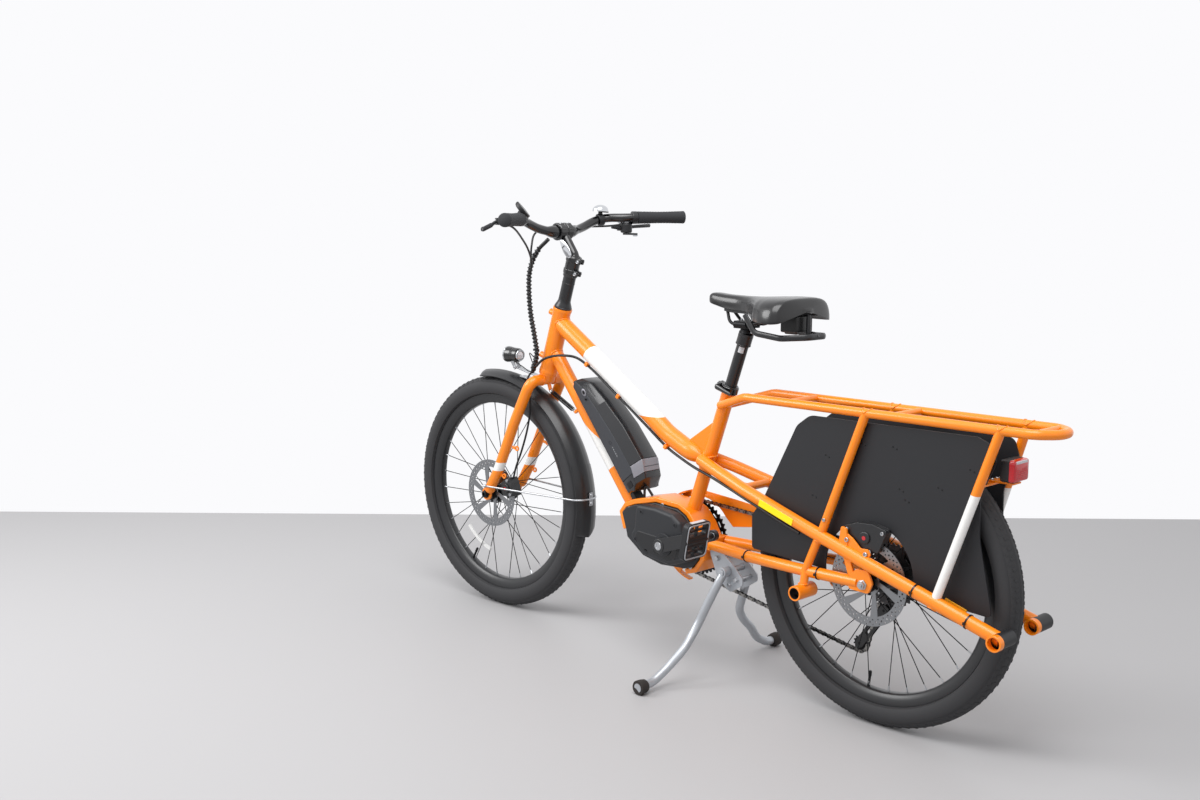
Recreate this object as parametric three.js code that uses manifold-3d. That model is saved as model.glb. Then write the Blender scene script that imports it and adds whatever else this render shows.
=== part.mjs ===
// Longtail electric cargo bike, in millimetres: +X forward, +Y to the bike's left, +Z up.
// Places are measured from the ground point under the rear axle, and the whole bike is
// centred lengthwise at the end.
import * as THREE from 'three';
import { mergeVertices } from 'three/addons/utils/BufferGeometryUtils.js';
import Module from 'manifold-3d';

const wasm = await Module();
wasm.setup();

// Fits
const clearance = 0.3;
const overrun = 30;
const degree = Math.PI / 180;

// Wheels
const wheelBase = 1205;
const tyreRadius = 312;
const tyreWidth = 58;
const tyreWall = 4;
const beadReach = 56;
const rimRadius = 264;
const rimHeight = 24;
const rimWidth = 35;
const rimFloorWidth = 18;
const rimWall = 3.5;
const rimBedDepth = 9;
const tyreBeadAngle = 122 * degree;
const spokeCount = 32;
const spokeRadius = 1.2;
const spokeOffset = 2;
const spokeLean = 60 * degree;
const hubFlangeRadius = 30;
const hubFlangeWidth = 7;
const hubShellRadius = 16;
const hubEndRadius = 10;
const axleRadius = 6;
const wheelSides = 28;
const discSides = 20;
const spokeSides = 3;

// Front hub, rear hub and discs
const frontDropoutInner = 51;
const frontFlangeLeft = 24;
const frontFlangeRight = 33;
const rearDropoutInner = 67.8;
const rearFlangeLeft = 26;
const rearFlangeRight = 20;
const rotorRadius = 90;
const rotorBand = 15;
const rotorThickness = 2;
const rotorWindows = 6;
const rotorHubRadius = 24;
const rotorSeatRadius = 20;
const rotorPilotRadius = 14;
const frontRotorY = 38;
const rearRotorY = 51;

// Steering line
const headAngle = 72.2 * degree;
const forkOffset = 70.3;
const headTubeFoot = 378;
const headTubeLength = 176;
const headTubeRadius = 23;
const headTubeBore = 19;
const restSteer = 2.3 * degree;

// Carrier bosses in front of the head tube
const bossRadius = 8;
const bossReach = 17;
const bossHeights = [34, 152];

// Fork
const steererRadius = 14.3;
const steererReach = 40;
const crownDrop = 20;
const crownRaceRadius = 21;
const legRadius = 14;
const legSpread = 58;
const legTopAhead = 6;
const legTopDrop = 24;
const legBend = 34;
const legShares = [[0.36, 0.324], [0.725, 0.755]];
const dropoutThickness = 6;
const dropoutRadius = 17;
const forkEndShare = 0.8;
const axleHeadRadius = 10;
const axleHeadLength = 9;
const springTabWidth = 8;
const springTabThickness = 9;

// Front fender and its stay
const fenderGap = 15;
const fenderRadius = tyreRadius + fenderGap;
const fenderStart = 80 * degree;
const fenderEnd = 193 * degree;
const fenderWidth = 66;
const fenderSag = 14;
const fenderThickness = 2.4;
const fenderSteps = 11;
const fenderTabWidth = 20;
const fenderTabThickness = 4;
const stayRadius = 2.5;
const stayBend = 40;
const stayRise = 26;

// Disc brake callipers
const calliperInnerRadius = 66;
const calliperOuterRadius = 106;
const calliperStart = 147 * degree;
const calliperEnd = 176 * degree;
const calliperInnerY = 27;
const calliperOuterY = 61;
const rearCalliperInnerRadius = 72;
const rearCalliperOuterRadius = 126;
const rearCalliperStart = 62 * degree;
const rearCalliperEnd = 112 * degree;
const rearCalliperInnerY = 40;
const rearCalliperOuterY = 66;
const calliperSteps = 4;
const rotorGap = 2.2;

// Headlight
const lampRadius = 21;
const lampLength = 50;
const lampRimLength = 9;
const lampTailRadius = 12;
const lampAhead = 146;
const lampRise = 54;
const lampStrapWidth = 18;
const lampStrapThickness = 4;
const lampStrapAhead = 108;
const lampStrapRise = 22;

// Steering spring
const springRadius = 5.2;
const springWireRadius = 1;
const springCurls = 10;
const springCurlSteps = 8;
const springSides = 5;
const springFrontAlong = 18;
const springFrontBelow = 22;
const springSeat = 6.4;
const springRearAlong = 172;
const springRearBelow = 32;

// Stem
const riserRadius = 16;
const riserFootRadius = 22;
const riserFootHeight = 16;
const riserLength = 108;
const riserBoreDepth = 46;
const stemCollarRadius = 20;
const stemCollarHeight = 13;
const stemCollarHeights = [92, 124];
const stemEarReach = 28;
const stemEarWidth = 14;
const stemArmRadius = 13;
const stemArmFoot = 139;
const barAhead = 42;
const barRise = 59;
const barClampRadius = 22;
const barClampWidth = 46;
const stemLeverLength = 58;
const stemLeverWidth = 22;
const stemLeverThickness = 4;

// Handlebar and grips
const barRadius = 11.1;
const barBulgeRadius = 15.9;
const barBulgeWidth = 60;
const barHalfWidth = 315;
const barSweep = 129;
const barClimb = 33;
const barShares = [[0.01, 0.11, 0], [0.05, 0.25, 0.27], [0.03, 0.39, 0.75], [-0.06, 0.48, 0.95],
  [-0.36, 0.56, 0.99]];
const gripRadius = 16;
const gripWaist = 14.4;
const gripLength = 128;
const gripCap = 4;

// Controls
const clampWidth = 15;
const clampRadius = 16.5;
const controlInset = 14;
const leverBodyLength = 62;
const leverBodyRadius = 10;
const leverBladeWidth = 9;
const leverBladeThickness = 6;
const leverLength = 92;
const leverKnuckleRadius = 7;
const leverSlack = 1.8;
const rightControlDrop = 26;
const displayLength = 46;
const displayWidth = 34;
const displayHeight = 12;
const shifterRadius = 15;
const shifterLength = 22;
const thumbLength = 42;
const thumbWidth = 12;
const thumbThickness = 5;
const bellRadius = 21;
const bellHeight = 17;
const bellSlack = 0.5;
const bellSeatShare = 0.5;

// Frame tubes
const bottomBracketAhead = 546;
const bottomBracketHeight = 295;
const seatAngle = 71 * degree;
const seatTubeRadius = 16;
const seatTubeBore = 13.9;
const seatTubeLength = 399;
const seatTubeFoot = 40;
const topTubeRadius = 22;
const topTubeJoint = 139;
const topTubeEndAhead = 20;
const topTubeEndHeight = 214;
const topTubeShares = [[0.239, 0.256], [0.667, 0.719], [0.776, 0.847], [0.898, 0.943]];
const topTubeBend = 160;
const downTubeRadius = 18;
const downTubeJoint = 64;
const downTubeFootAhead = 165;
const downTubeFootRise = 55;
const gussetThickness = 5;
const gussetFront = 62;
const gussetRise = 110;
const gussetFoot = 14;

// Rear frame
const railRadius = 14;
const railSpreadFront = 22;
const railSpreadRear = 73;
const railFrontAhead = 6;
const railRearBehind = 310;
const railRearHeight = 268;
const railShares = [[0.073, 0.26, 0.067], [0.198, 0.60, 0.189], [0.386, 0.80, 0.377],
  [0.612, 0.94, 0.608]];
const railBend = 120;
const bridgeRadius = 9;
const bridgeShare = 0.11;
const socketRadius = 16;
const socketBore = 12.5;
const socketInner = 42;
const socketOuter = 104;
const frontSocketAhead = 148;
const staySpreadFront = 26;
const staySpreadRear = 66;
const chainstayRadius = 12.5;
const chainstayFrontAhead = 440;
const chainstayFrontHeight = 306;
const chainstayRearRise = 1;
const chainstayShares = [[0.29, 0.475, -0.14], [0.66, 0.85, 0.43]];
const chainstayEnd = 14;
const rearDropoutThickness = 6.2;
const rearDropoutLength = 58;
const rearDropoutHeight = 50;
const strutRadius = 9;
const strutTopAhead = 115;
const hangerDrop = 34;
const hangerWidth = 22;

// Rack
const rackRadius = 9.5;
const rackSpread = 52;
const rackNeckHeight = 628;
const rackRise = 32;
const rackHeight = rackNeckHeight + rackRise;
const rackNeckSpread = 16;
const rackNeckAhead = 333;
const rackEndBehind = 378;
const rackCornerBehind = 345;
const rackBarRadius = 8;
const rackBarPlaces = [216, -43];
const uprightRadius = 9.5;
const frontUprightTop = 20;
const frontUprightFoot = 113;
const rearUprightTop = -277;
const rearUprightFoot = -165;

// Side panels
const panelInner = 42;
const panelOuter = 45.6;
const panelFront = 311;
const panelRear = -274;
const panelTop = 641;
const panelBottom = 296;
const panelOutlineShares = [[0.746, 0.994], [0.803, 0.922], [0.942, 0.446], [1, 0.301], [0.997, 0.087],
  [0.72, 0.067], [0.002, 0], [0.015, 0.11], [0.058, 0.432], [0.062, 0.678], [0.01, 0.87], [0.03, 0.965],
  [0.08, 1]];
const windowRadius = 106;
const windowAhead = 6;
const windowRise = 18;
const chainPassHeight = 392;

// Tail light
const tailAhead = -281;
const tailHeight = 580;
const tailWidth = 62;
const tailTall = 44;
const tailDeep = 30;
const tailPlateThickness = 4;
const tailPlateHeight = 30;

// Drive unit and its bracket
const shellHalfWidth = 36;
const shellWall = 13;
const shellPoints = [[170, 1], [184, 44], [166, 68], [134, 81], [63, 97], [-10, 93], [-41, 78], [-66, 50],
  [-86, 15], [-89, -30], [-66, -61], [-34, -71]];
const coreRight = 38;
const coreLeft = 40;
const coreLowPoints = [[-20, -58], [40, -62], [100, -50], [152, -14]];
const coverOuter = 76;
const coverBevel = 9;
const coverPoints = [[93, 81], [98, 25], [111, 3], [68, -37], [-14, -48], [-77, -27], [-46, 58], [-21, 75],
  [31, 82]];
const spindleRadius = 10;
const yokeLength = 92;
const yokeHeight = 26;
const yokeRise = 10;
const yokeHalfWidth = 34;
const guardRadius = 108;
const guardThickness = 4;
const guardWidth = 9;
const guardStart = -80 * degree;
const guardEnd = 72 * degree;
const guardSteps = 10;
const guardArmWidth = 16;
const guardArmFoot = 58;
const guardArmShares = [0.14, 0.8];
const guardWing = [[-112, 104], [-174, 98], [-155, 47], [-99, 38]];
const guardWingInner = 96;
const guardWingStart = 58 * degree;
const guardWingEnd = 142 * degree;
const guardWingTop = 97 * degree;
const guardWingGap = 4;
const guardWingThickness = 2;

// Battery and its rail, along the down tube
const railStart = 150;
const railEnd = 438;
const batteryRailTop = 33.7;
const batteryRailHalfWidth = 20;
const batteryProfile = [[135, 34], [443, 34], [452, 60], [440, 98], [402, 116], [300, 112], [220, 98],
  [160, 84], [130, 62], [128, 45]];
const batteryHalfWidth = 42;
const batteryFootHalfWidth = 37;
const batteryTopHalfWidth = 25;
const batteryShoulderLow = 45;
const batteryShoulderHigh = 82;
const batteryTop = 116;
const batteryFloor = 34;

// Cranks, chain and cassette
const crankLength = 170;
const crankRestAngle = 18.3 * degree;
const crankInner = 80;
const crankFlare = 5;
const crankThickness = 13;
const crankRootRadius = 17;
const crankTipRadius = 13;
const pedalInner = 112;
const pedalOuter = 190;
const pedalHalfLength = 43;
const pedalThickness = 16;
const pedalTilt = 100 * degree;
const pedalAxleRadius = 7;
const pedalWindow = 22;
const chainLine = 47.5;
const chainWidth = 7;
const chainHalfHeight = 4;
const ringRadius = 89;
const ringThickness = 3;
const ringHoles = 5;
const ringHoleRadius = 17;
const ringHoleCircle = 50;
const cassetteChainRadius = 45;
const cassetteBigRadius = 69;
const cassetteBigY = 33;
const cassetteSmallRadius = 24;
const cassetteSmallY = 59;
const upperPulleyAhead = 22;
const upperPulleyHeight = 228;
const lowerPulleyAhead = 80;
const lowerPulleyHeight = 143;
const pulleyRadius = 19;
const cagePlate = 2;
const cageMargin = 5;
const cageHalfGap = 5;
const derailleurKnuckle = 12;
const derailleurOuter = 74;
const pulleyBoltRadius = 3;

// Stand
const standPivotAhead = 392;
const standPivotHeight = 254;
const standPivotHalf = 40;
const standPinRadius = 7;
const standPlateWidth = 56;
const standPlatePoints = [[56, 42], [19, 42], [-12, 20], [-43, -9], [-44, -25], [-9, -48], [30, -20]];
const standLegRadius = 10;
const standPoints = [[6, 52.5, -24], [32, 66, -88], [44, 73, -120], [48, 92, -148], [48.5, 121, -175],
  [60, 158, -209], [63.5, 182.5, -224], [65.6, 205, -234], [67, 250, -237]];
const footRadius = 17;
const footLength = 24;
const footSinkShare = 0.94;

// Seat
const collarRadius = 20;
const collarHeight = 16;
const collarEarReach = 31;
const collarEarWidth = 15;
const collarSlot = 3;
const collarLeverLength = 38;
const collarLeverWidth = 7;
const collarLeverThickness = 5;
const postRadius = 13.6;
const postTop = 529;
const postInsert = 120;
const postHeadRadius = 17;
const postHeadHeight = 30;
const saddleNose = 479;
const saddleRear = 208;
const saddleTop = 882;
const saddleFoot = 846;
const saddleHalfWidth = 103;
const saddlePadShares = [[0, 0.12, 0.84], [0.015, 0.165, 0.91], [0.08, 0.2, 0.95], [0.22, 0.21, 0.93],
  [0.38, 0.24, 0.9], [0.5, 0.36, 0.9], [0.6, 0.58, 0.93], [0.7, 0.83, 0.97], [0.8, 0.97, 1],
  [0.9, 1, 1], [0.96, 0.93, 0.97], [0.99, 0.78, 0.9], [1, 0.66, 0.82]];
const saddleSectionSides = 18;
const saddleWingDrop = 20;
const saddleBaseThickness = 7;
const saddleRailRadius = 3.6;
const saddleRailSpread = 22;
const saddleRailDrop = 24;
const grabRadius = 7;
const grabDrop = 50;
const grabSpread = 62;
const grabFront = 330;
const grabRear = 183;
const elastomerRadius = 13;

// Cables
const hoseRadius = 2.6;
const harnessRadius = 6.5;
const rearCableRadius = 3.2;
const harnessRoute = [[1004, 14, 990], [1038, 22, 958], [1058, 27, 915], [1060, 30, 868], [1052, 33, 805],
  [1034, 37, 745], [1026, 38, 700], [1044, 32, 664], [1060, 20, 650]];
const leftHoseRoute = [[940, 216, 1031], [955, 178, 1020], [989, 120, 994], [1017, 72, 964], [1041, 38, 930],
  [1056, 28, 902]];
const rightHoseRoute = [[944, -210, 1026], [970, -182, 1021], [1012, -148, 1019], [1045, -100, 1020], [1062, -40, 1016],
  [1056, 12, 1002], [1049, 30, 972], [1054, 29, 918]];
const calliperHoseRoute = [[1056, 26, 652], [1064, 34, 634], [1060, 38.6, 612], [1052, 38.6, 585],
  [1052, 39, 550], [1062, 40, 500], [1082, 43, 440], [1102, 44, 396], [1112, 44, 366]];
const rearCableRoute = [[1024, 41, 668], [1003, 38, 686], [972, 34, 697], [935, 31, 702], [900, 20, 699],
  [868, 10, 681], [758, 10, 613], [668, 10, 555], [598, 10, 510], [540, 18, 489], [497, 27, 478], [440, 36, 466],
  [380, 44, 450], [330, 51, 436], [270, 56.5, 418], [215, 60, 400.5], [170, 61.5, 387]];

// Mesh detail
const mainSides = 14;
const tubeSides = 12;
const smallSides = 10;
const hoseSides = 8;
const thinSides = 6;
const bendSteps = 3;
const treadSteps = 5;
const bendRoomShare = 0.48;
const mergeReach = 1e-4;
const toolSides = 36;

const at = (x, y, z) => new THREE.Vector3(x, y, z);
const mirrored = (p, side) => at(p.x, p.y * side, p.z);
const routeOf = (list) => list.map(([x, y, z]) => at(x, y, z));
const alongY = at(0, 1, 0);

// Main places
const rearAxle = at(0, 0, tyreRadius);
const frontAxle = at(wheelBase, 0, tyreRadius);
const headUp = at(-Math.cos(headAngle), 0, Math.sin(headAngle));
const headBack = at(-Math.sin(headAngle), 0, -Math.cos(headAngle));
const headFoot = frontAxle.clone().addScaledVector(headBack, forkOffset);
const onHead = (height) => headFoot.clone().addScaledVector(headUp, height);
const headTubeTop = headTubeFoot + headTubeLength;
const crownPlace = onHead(headTubeFoot - crownDrop);
const bottomBracket = at(bottomBracketAhead, 0, bottomBracketHeight);
const seatUp = at(-Math.cos(seatAngle), 0, Math.sin(seatAngle));
const onSeat = (height) => bottomBracket.clone().addScaledVector(seatUp, height);
const downTubeTop = onHead(headTubeFoot + downTubeJoint);
const downTubeFoot = bottomBracket.clone().add(at(downTubeFootAhead, 0, downTubeFootRise));
const downAlong = downTubeFoot.clone().sub(downTubeTop).normalize();
const downUp = at(downAlong.z, 0, -downAlong.x);
const onDownTube = (along, up) => downTubeTop.clone().addScaledVector(downAlong, along)
  .addScaledVector(downUp, up);
const barCentre = onHead(headTubeTop + stemArmFoot).add(at(barAhead, 0, barRise));

// Points between two places, by shares of the way along each axis
function between(start, end, shares) {
  return shares.map((share) => at(
    THREE.MathUtils.lerp(start.x, end.x, share[0]),
    THREE.MathUtils.lerp(start.y, end.y, share[1]),
    THREE.MathUtils.lerp(start.z, end.z, share[share.length - 1]),
  ));
}

// Closed solids, joined and cut by manifold

function signedVolume(points, faces) {
  let sum = 0;
  const a = new THREE.Vector3();
  const b = new THREE.Vector3();
  const c = new THREE.Vector3();
  for (let i = 0; i < faces.length; i += 3) {
    a.fromArray(points, faces[i] * 3);
    b.fromArray(points, faces[i + 1] * 3);
    c.fromArray(points, faces[i + 2] * 3);
    sum += a.dot(b.cross(c));
  }
  return sum / 6;
}

function solid(geometry) {
  let bare = geometry.clone();
  bare.deleteAttribute('normal');
  bare.deleteAttribute('uv');
  bare = mergeVertices(bare, mergeReach);
  const points = bare.getAttribute('position').array;
  const source = bare.getIndex().array;
  const faces = [];
  for (let i = 0; i < source.length; i += 3) {
    const [a, b, c] = [source[i], source[i + 1], source[i + 2]];
    if (a !== b && b !== c && a !== c) {
      faces.push(a, b, c);
    }
  }
  if (signedVolume(points, faces) < 0) {
    faces.reverse();
  }
  return new wasm.Manifold(new wasm.Mesh({
    numProp: 3,
    vertProperties: new Float32Array(points),
    triVerts: new Uint32Array(faces),
  }));
}

function joined(...bodies) {
  return bodies.reduce((sum, body) => sum.add(body));
}

function cut(body, ...tools) {
  return tools.reduce((rest, tool) => rest.subtract(tool), body);
}

// The connected piece with the largest volume: what a trimmed tube keeps
function largestPiece(body) {
  const mesh = body.getMesh();
  const owner = Array.from({ length: mesh.vertProperties.length / mesh.numProp }, (_, i) => i);
  const root = (i) => {
    let top = i;
    while (owner[top] !== top) {
      owner[top] = owner[owner[top]];
      top = owner[top];
    }
    return top;
  };
  const faces = mesh.triVerts;
  for (let i = 0; i < faces.length; i += 3) {
    owner[root(faces[i])] = root(faces[i + 1]);
    owner[root(faces[i + 1])] = root(faces[i + 2]);
  }
  const groups = new Map();
  for (let i = 0; i < faces.length; i += 3) {
    const key = root(faces[i]);
    if (!groups.has(key)) {
      groups.set(key, []);
    }
    groups.get(key).push(faces[i], faces[i + 1], faces[i + 2]);
  }
  let best = null;
  let bestVolume = 0;
  for (const list of groups.values()) {
    const volume = signedVolume(mesh.vertProperties, list);
    if (volume > bestVolume) {
      best = list;
      bestVolume = volume;
    }
  }
  const geometry = new THREE.BufferGeometry();
  geometry.setAttribute('position', new THREE.BufferAttribute(new Float32Array(mesh.vertProperties), 3));
  geometry.setIndex(best);
  return solid(geometry.toNonIndexed());
}

function geometryOf(body) {
  const mesh = body.getMesh();
  const geometry = new THREE.BufferGeometry();
  geometry.setAttribute('position', new THREE.BufferAttribute(new Float32Array(mesh.vertProperties), 3));
  geometry.setIndex(new THREE.BufferAttribute(new Uint32Array(mesh.triVerts), 1));
  geometry.computeVertexNormals();
  return geometry;
}

// Shapes

// A route whose stations are used one by one, so that a straight run takes one step
class Route extends THREE.Curve {
  constructor(stations) {
    super();
    this.stations = stations;
  }

  station(share) {
    return this.stations[Math.round(share * (this.stations.length - 1))];
  }

  getPointAt(share) {
    return this.station(share).point.clone();
  }

  getTangentAt(share) {
    return this.station(share).tangent.clone();
  }
}

function roundedRoute(points, bendRadius, steps = bendSteps) {
  const direction = (i) => points[i + 1].clone().sub(points[i]).normalize();
  const last = points.length - 1;
  const stations = [{ point: points[0], tangent: direction(0) }];
  for (let i = 1; i < last; i += 1) {
    const before = direction(i - 1);
    const after = direction(i);
    if (steps === 0) {
      stations.push({ point: points[i], tangent: before.add(after).normalize() });
      continue;
    }
    const room = bendRoomShare * Math.min(points[i].distanceTo(points[i - 1]), points[i].distanceTo(points[i + 1]));
    const reach = Math.min(bendRadius * Math.tan(before.angleTo(after) / 2), room);
    const bend = new THREE.QuadraticBezierCurve3(
      points[i].clone().addScaledVector(before, -reach),
      points[i],
      points[i].clone().addScaledVector(after, reach),
    );
    for (let k = 0; k <= steps; k += 1) {
      stations.push({ point: bend.getPoint(k / steps), tangent: bend.getTangent(k / steps) });
    }
  }
  stations.push({ point: points[last], tangent: direction(last - 1) });
  return new Route(stations);
}

function circle(radius, sides) {
  const points = [];
  for (let i = 0; i < sides; i += 1) {
    const angle = (i + 0.5) * 2 * Math.PI / sides;
    points.push(new THREE.Vector2(radius * Math.cos(angle), radius * Math.sin(angle)));
  }
  return points;
}

function swept(section, curve, steps) {
  return solid(new THREE.ExtrudeGeometry(new THREE.Shape(section), {
    steps, extrudePath: curve, bevelEnabled: false, curveSegments: 1,
  }));
}

function pipe(points, radius, bendRadius, sides = mainSides, steps = bendSteps) {
  const route = roundedRoute(points, bendRadius, steps);
  return swept(circle(radius, sides), route, route.stations.length - 1);
}

function rod(start, end, radius, sides = smallSides) {
  return pipe([start, end], radius, 0, sides);
}

function hose(list, radius, steps) {
  const curve = new THREE.CatmullRomCurve3(routeOf(list), false, 'centripetal');
  return swept(circle(radius, thinSides), curve, steps);
}

// A body turned about a line from a place: the profile lists radius and height
function turned(profile, sides, place = at(0, 0, 0), direction = alongY) {
  const geometry = new THREE.LatheGeometry(profile.map(([r, h]) => new THREE.Vector2(r, h)), sides);
  geometry.applyQuaternion(new THREE.Quaternion().setFromUnitVectors(alongY, direction));
  geometry.translate(place.x, place.y, place.z);
  return solid(geometry);
}

function disc(radius, low, high, sides, place, direction) {
  return turned([[0, low], [radius, low], [radius, high], [0, high]], sides, place, direction);
}

// The radius that keeps a many-sided hole clear of a round piece
function holeRadius(radius, sides) {
  return radius / Math.cos(Math.PI / sides);
}

function ring(outer, inner, low, high, sides, place, direction) {
  const bore = holeRadius(inner, sides);
  return turned([[bore, low], [outer, low], [outer, high], [bore, high], [bore, low]], sides, place, direction);
}

// A plate whose outline lies in the bike's side view, between two distances from the middle
function plate(outline, low, high, bevel = 0) {
  const [near, far] = [Math.min(low, high), Math.max(low, high)];
  const geometry = new THREE.ExtrudeGeometry(new THREE.Shape(outline.map((p) => new THREE.Vector2(p.x, p.z))), {
    depth: far - near - bevel,
    bevelEnabled: bevel > 0,
    bevelThickness: bevel,
    bevelSize: bevel,
    bevelOffset: -bevel,
    bevelSegments: 1,
    steps: 1,
    curveSegments: 1,
  });
  geometry.rotateX(Math.PI / 2);
  geometry.translate(0, far - bevel, 0);
  return solid(geometry);
}

function box(centre, length, width, height) {
  const geometry = new THREE.BoxGeometry(length, width, height);
  geometry.translate(centre.x, centre.y, centre.z);
  return solid(geometry);
}

// A box that follows a line, with one side square to the side view
function bar(start, end, width, height) {
  const length = start.distanceTo(end);
  const geometry = new THREE.BoxGeometry(length, width, height);
  const along = end.clone().sub(start).normalize();
  const across = alongY.clone().addScaledVector(along, -along.y).normalize();
  const up = along.clone().cross(across);
  geometry.applyMatrix4(new THREE.Matrix4().makeBasis(along, across, up));
  const middle = start.clone().lerp(end, 0.5);
  geometry.translate(middle.x, middle.y, middle.z);
  return solid(geometry);
}

function arcPoints(centre, radius, start, end, steps) {
  const points = [];
  for (let i = 0; i <= steps; i += 1) {
    const angle = THREE.MathUtils.lerp(start, end, i / steps);
    points.push(centre.clone().add(at(radius * Math.cos(angle), 0, radius * Math.sin(angle))));
  }
  return points;
}

function sector(centre, inner, outer, start, end, steps) {
  return [...arcPoints(centre, outer, start, end, steps), ...arcPoints(centre, inner, end, start, steps)];
}

// The points of an open line, moved sideways by a distance
function shifted(points, distance) {
  return points.map((p, i) => {
    const before = points[Math.max(i - 1, 0)];
    const after = points[Math.min(i + 1, points.length - 1)];
    const along = after.clone().sub(before).normalize();
    return p.clone().add(at(-along.z * distance, 0, along.x * distance));
  });
}

// Wheels, turned about their own centres

function tyre() {
  const crown = tyreRadius - tyreWidth / 2;
  const outer = [];
  for (let i = 0; i <= treadSteps; i += 1) {
    const angle = THREE.MathUtils.lerp(-tyreBeadAngle, tyreBeadAngle, i / treadSteps);
    outer.push([crown + tyreWidth / 2 * Math.cos(angle), tyreWidth / 2 * Math.sin(angle)]);
  }
  const bead = rimWidth / 2 - rimWall - clearance;
  const top = rimRadius + clearance;
  const foot = tyreRadius - beadReach;
  const inner = bead - tyreWall / 2;
  const profile = [
    [foot, -inner], [foot, -bead], [top, -bead],
    ...outer,
    [top, bead], [foot, bead], [foot, inner],
    [tyreRadius - tyreWall, 0],
    [foot, -inner],
  ];
  return turned(profile, wheelSides);
}

function spokes(flangeLeft, flangeRight) {
  const list = [];
  const floor = rimRadius - rimHeight;
  for (let i = 0; i < spokeCount; i += 1) {
    const left = i % 2 === 0;
    const lean = (i % 4 < 2 ? 1 : -1) * spokeLean;
    const rimAngle = (i + 0.5) * 2 * Math.PI / spokeCount;
    const hubAngle = rimAngle + lean;
    const seat = hubFlangeRadius - hubFlangeWidth / 2;
    const y = (left ? flangeLeft : -flangeRight) + (i % 4 < 2 ? spokeOffset : -spokeOffset);
    const start = at(seat * Math.cos(hubAngle), y, seat * Math.sin(hubAngle));
    const end = at((floor + clearance) * Math.cos(rimAngle), 0, (floor + clearance) * Math.sin(rimAngle));
    list.push(rod(start, end, spokeRadius, spokeSides));
  }
  return list;
}

// The hub carries its disc on the left, and its right shell reaches out under any gears
function hub(half, flangeLeft, flangeRight, rightShell, rotorLow) {
  const bore = holeRadius(axleRadius + clearance, hoseSides);
  const flange = hubFlangeWidth / 2;
  const seat = rotorLow - clearance;
  const profile = [
    [bore, -half], [hubEndRadius, -half], [hubEndRadius, -rightShell], [hubShellRadius, -rightShell],
    [hubShellRadius, -flangeRight - flange], [hubFlangeRadius, -flangeRight - flange],
    [hubFlangeRadius, -flangeRight + flange], [hubShellRadius, 0], [hubFlangeRadius, flangeLeft - flange],
    [hubFlangeRadius, flangeLeft + flange], [rotorSeatRadius, flangeLeft + flange], [rotorSeatRadius, seat],
    [rotorPilotRadius, seat], [rotorPilotRadius, rotorLow + rotorThickness],
    [hubEndRadius, rotorLow + rotorThickness], [hubEndRadius, half], [bore, half], [bore, -half],
  ];
  return turned(profile, hoseSides);
}

function wheel(half, flangeLeft, flangeRight, rightShell, rotorLow) {
  const lip = rimWidth / 2;
  const well = lip - rimWall;
  const bed = rimRadius - rimBedDepth;
  const floor = rimRadius - rimHeight;
  const profile = [
    [rimRadius, well], [rimRadius, lip], [floor, rimFloorWidth / 2], [floor, -rimFloorWidth / 2],
    [rimRadius, -lip], [rimRadius, -well], [bed, -well], [bed, well], [rimRadius, well],
  ];
  return joined(turned(profile, wheelSides), hub(half, flangeLeft, flangeRight, rightShell, rotorLow),
    ...spokes(flangeLeft, flangeRight));
}

function rotor(low) {
  let body = ring(rotorRadius, rotorPilotRadius + clearance, low, low + rotorThickness, discSides);
  const gap = Math.PI / rotorWindows;
  for (let i = 0; i < rotorWindows; i += 1) {
    const start = 2 * gap * i;
    const outline = sector(at(0, 0, 0), rotorHubRadius, rotorRadius - rotorBand, start, start + gap * 1.5, 2);
    body = cut(body, plate(outline, low - rotorThickness, low + rotorThickness * 2));
  }
  return body;
}

// Steering parts

function headTube() {
  const foot = onHead(headTubeFoot);
  const body = ring(headTubeRadius, headTubeBore, 0, headTubeLength, mainSides, foot, headUp);
  const bosses = bossHeights.map((height) => {
    const root = onHead(headTubeFoot + height);
    const tip = root.clone().addScaledVector(headBack, -headTubeRadius - bossReach);
    const start = root.clone().addScaledVector(headBack, -headTubeRadius + clearance * 4);
    return rod(start, tip, bossRadius, hoseSides);
  });
  return joined(body, ...bosses);
}

function legRoute(side) {
  const top = crownPlace.clone().add(at(legTopAhead, legSpread * side, -legTopDrop));
  const tip = frontAxle.clone().add(at(-axleRadius, legSpread * side, 0));
  return { top, tip, points: [top, ...between(top, tip, legShares), tip] };
}

function leg(side, grow) {
  const { tip, points } = legRoute(side);
  const end = points[2].clone().lerp(tip, forkEndShare);
  const places = [crownPlace, shoulderPlace(side), points[1], points[2], end];
  return pipe(places, legRadius + grow, legBend, smallSides, 1);
}

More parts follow.
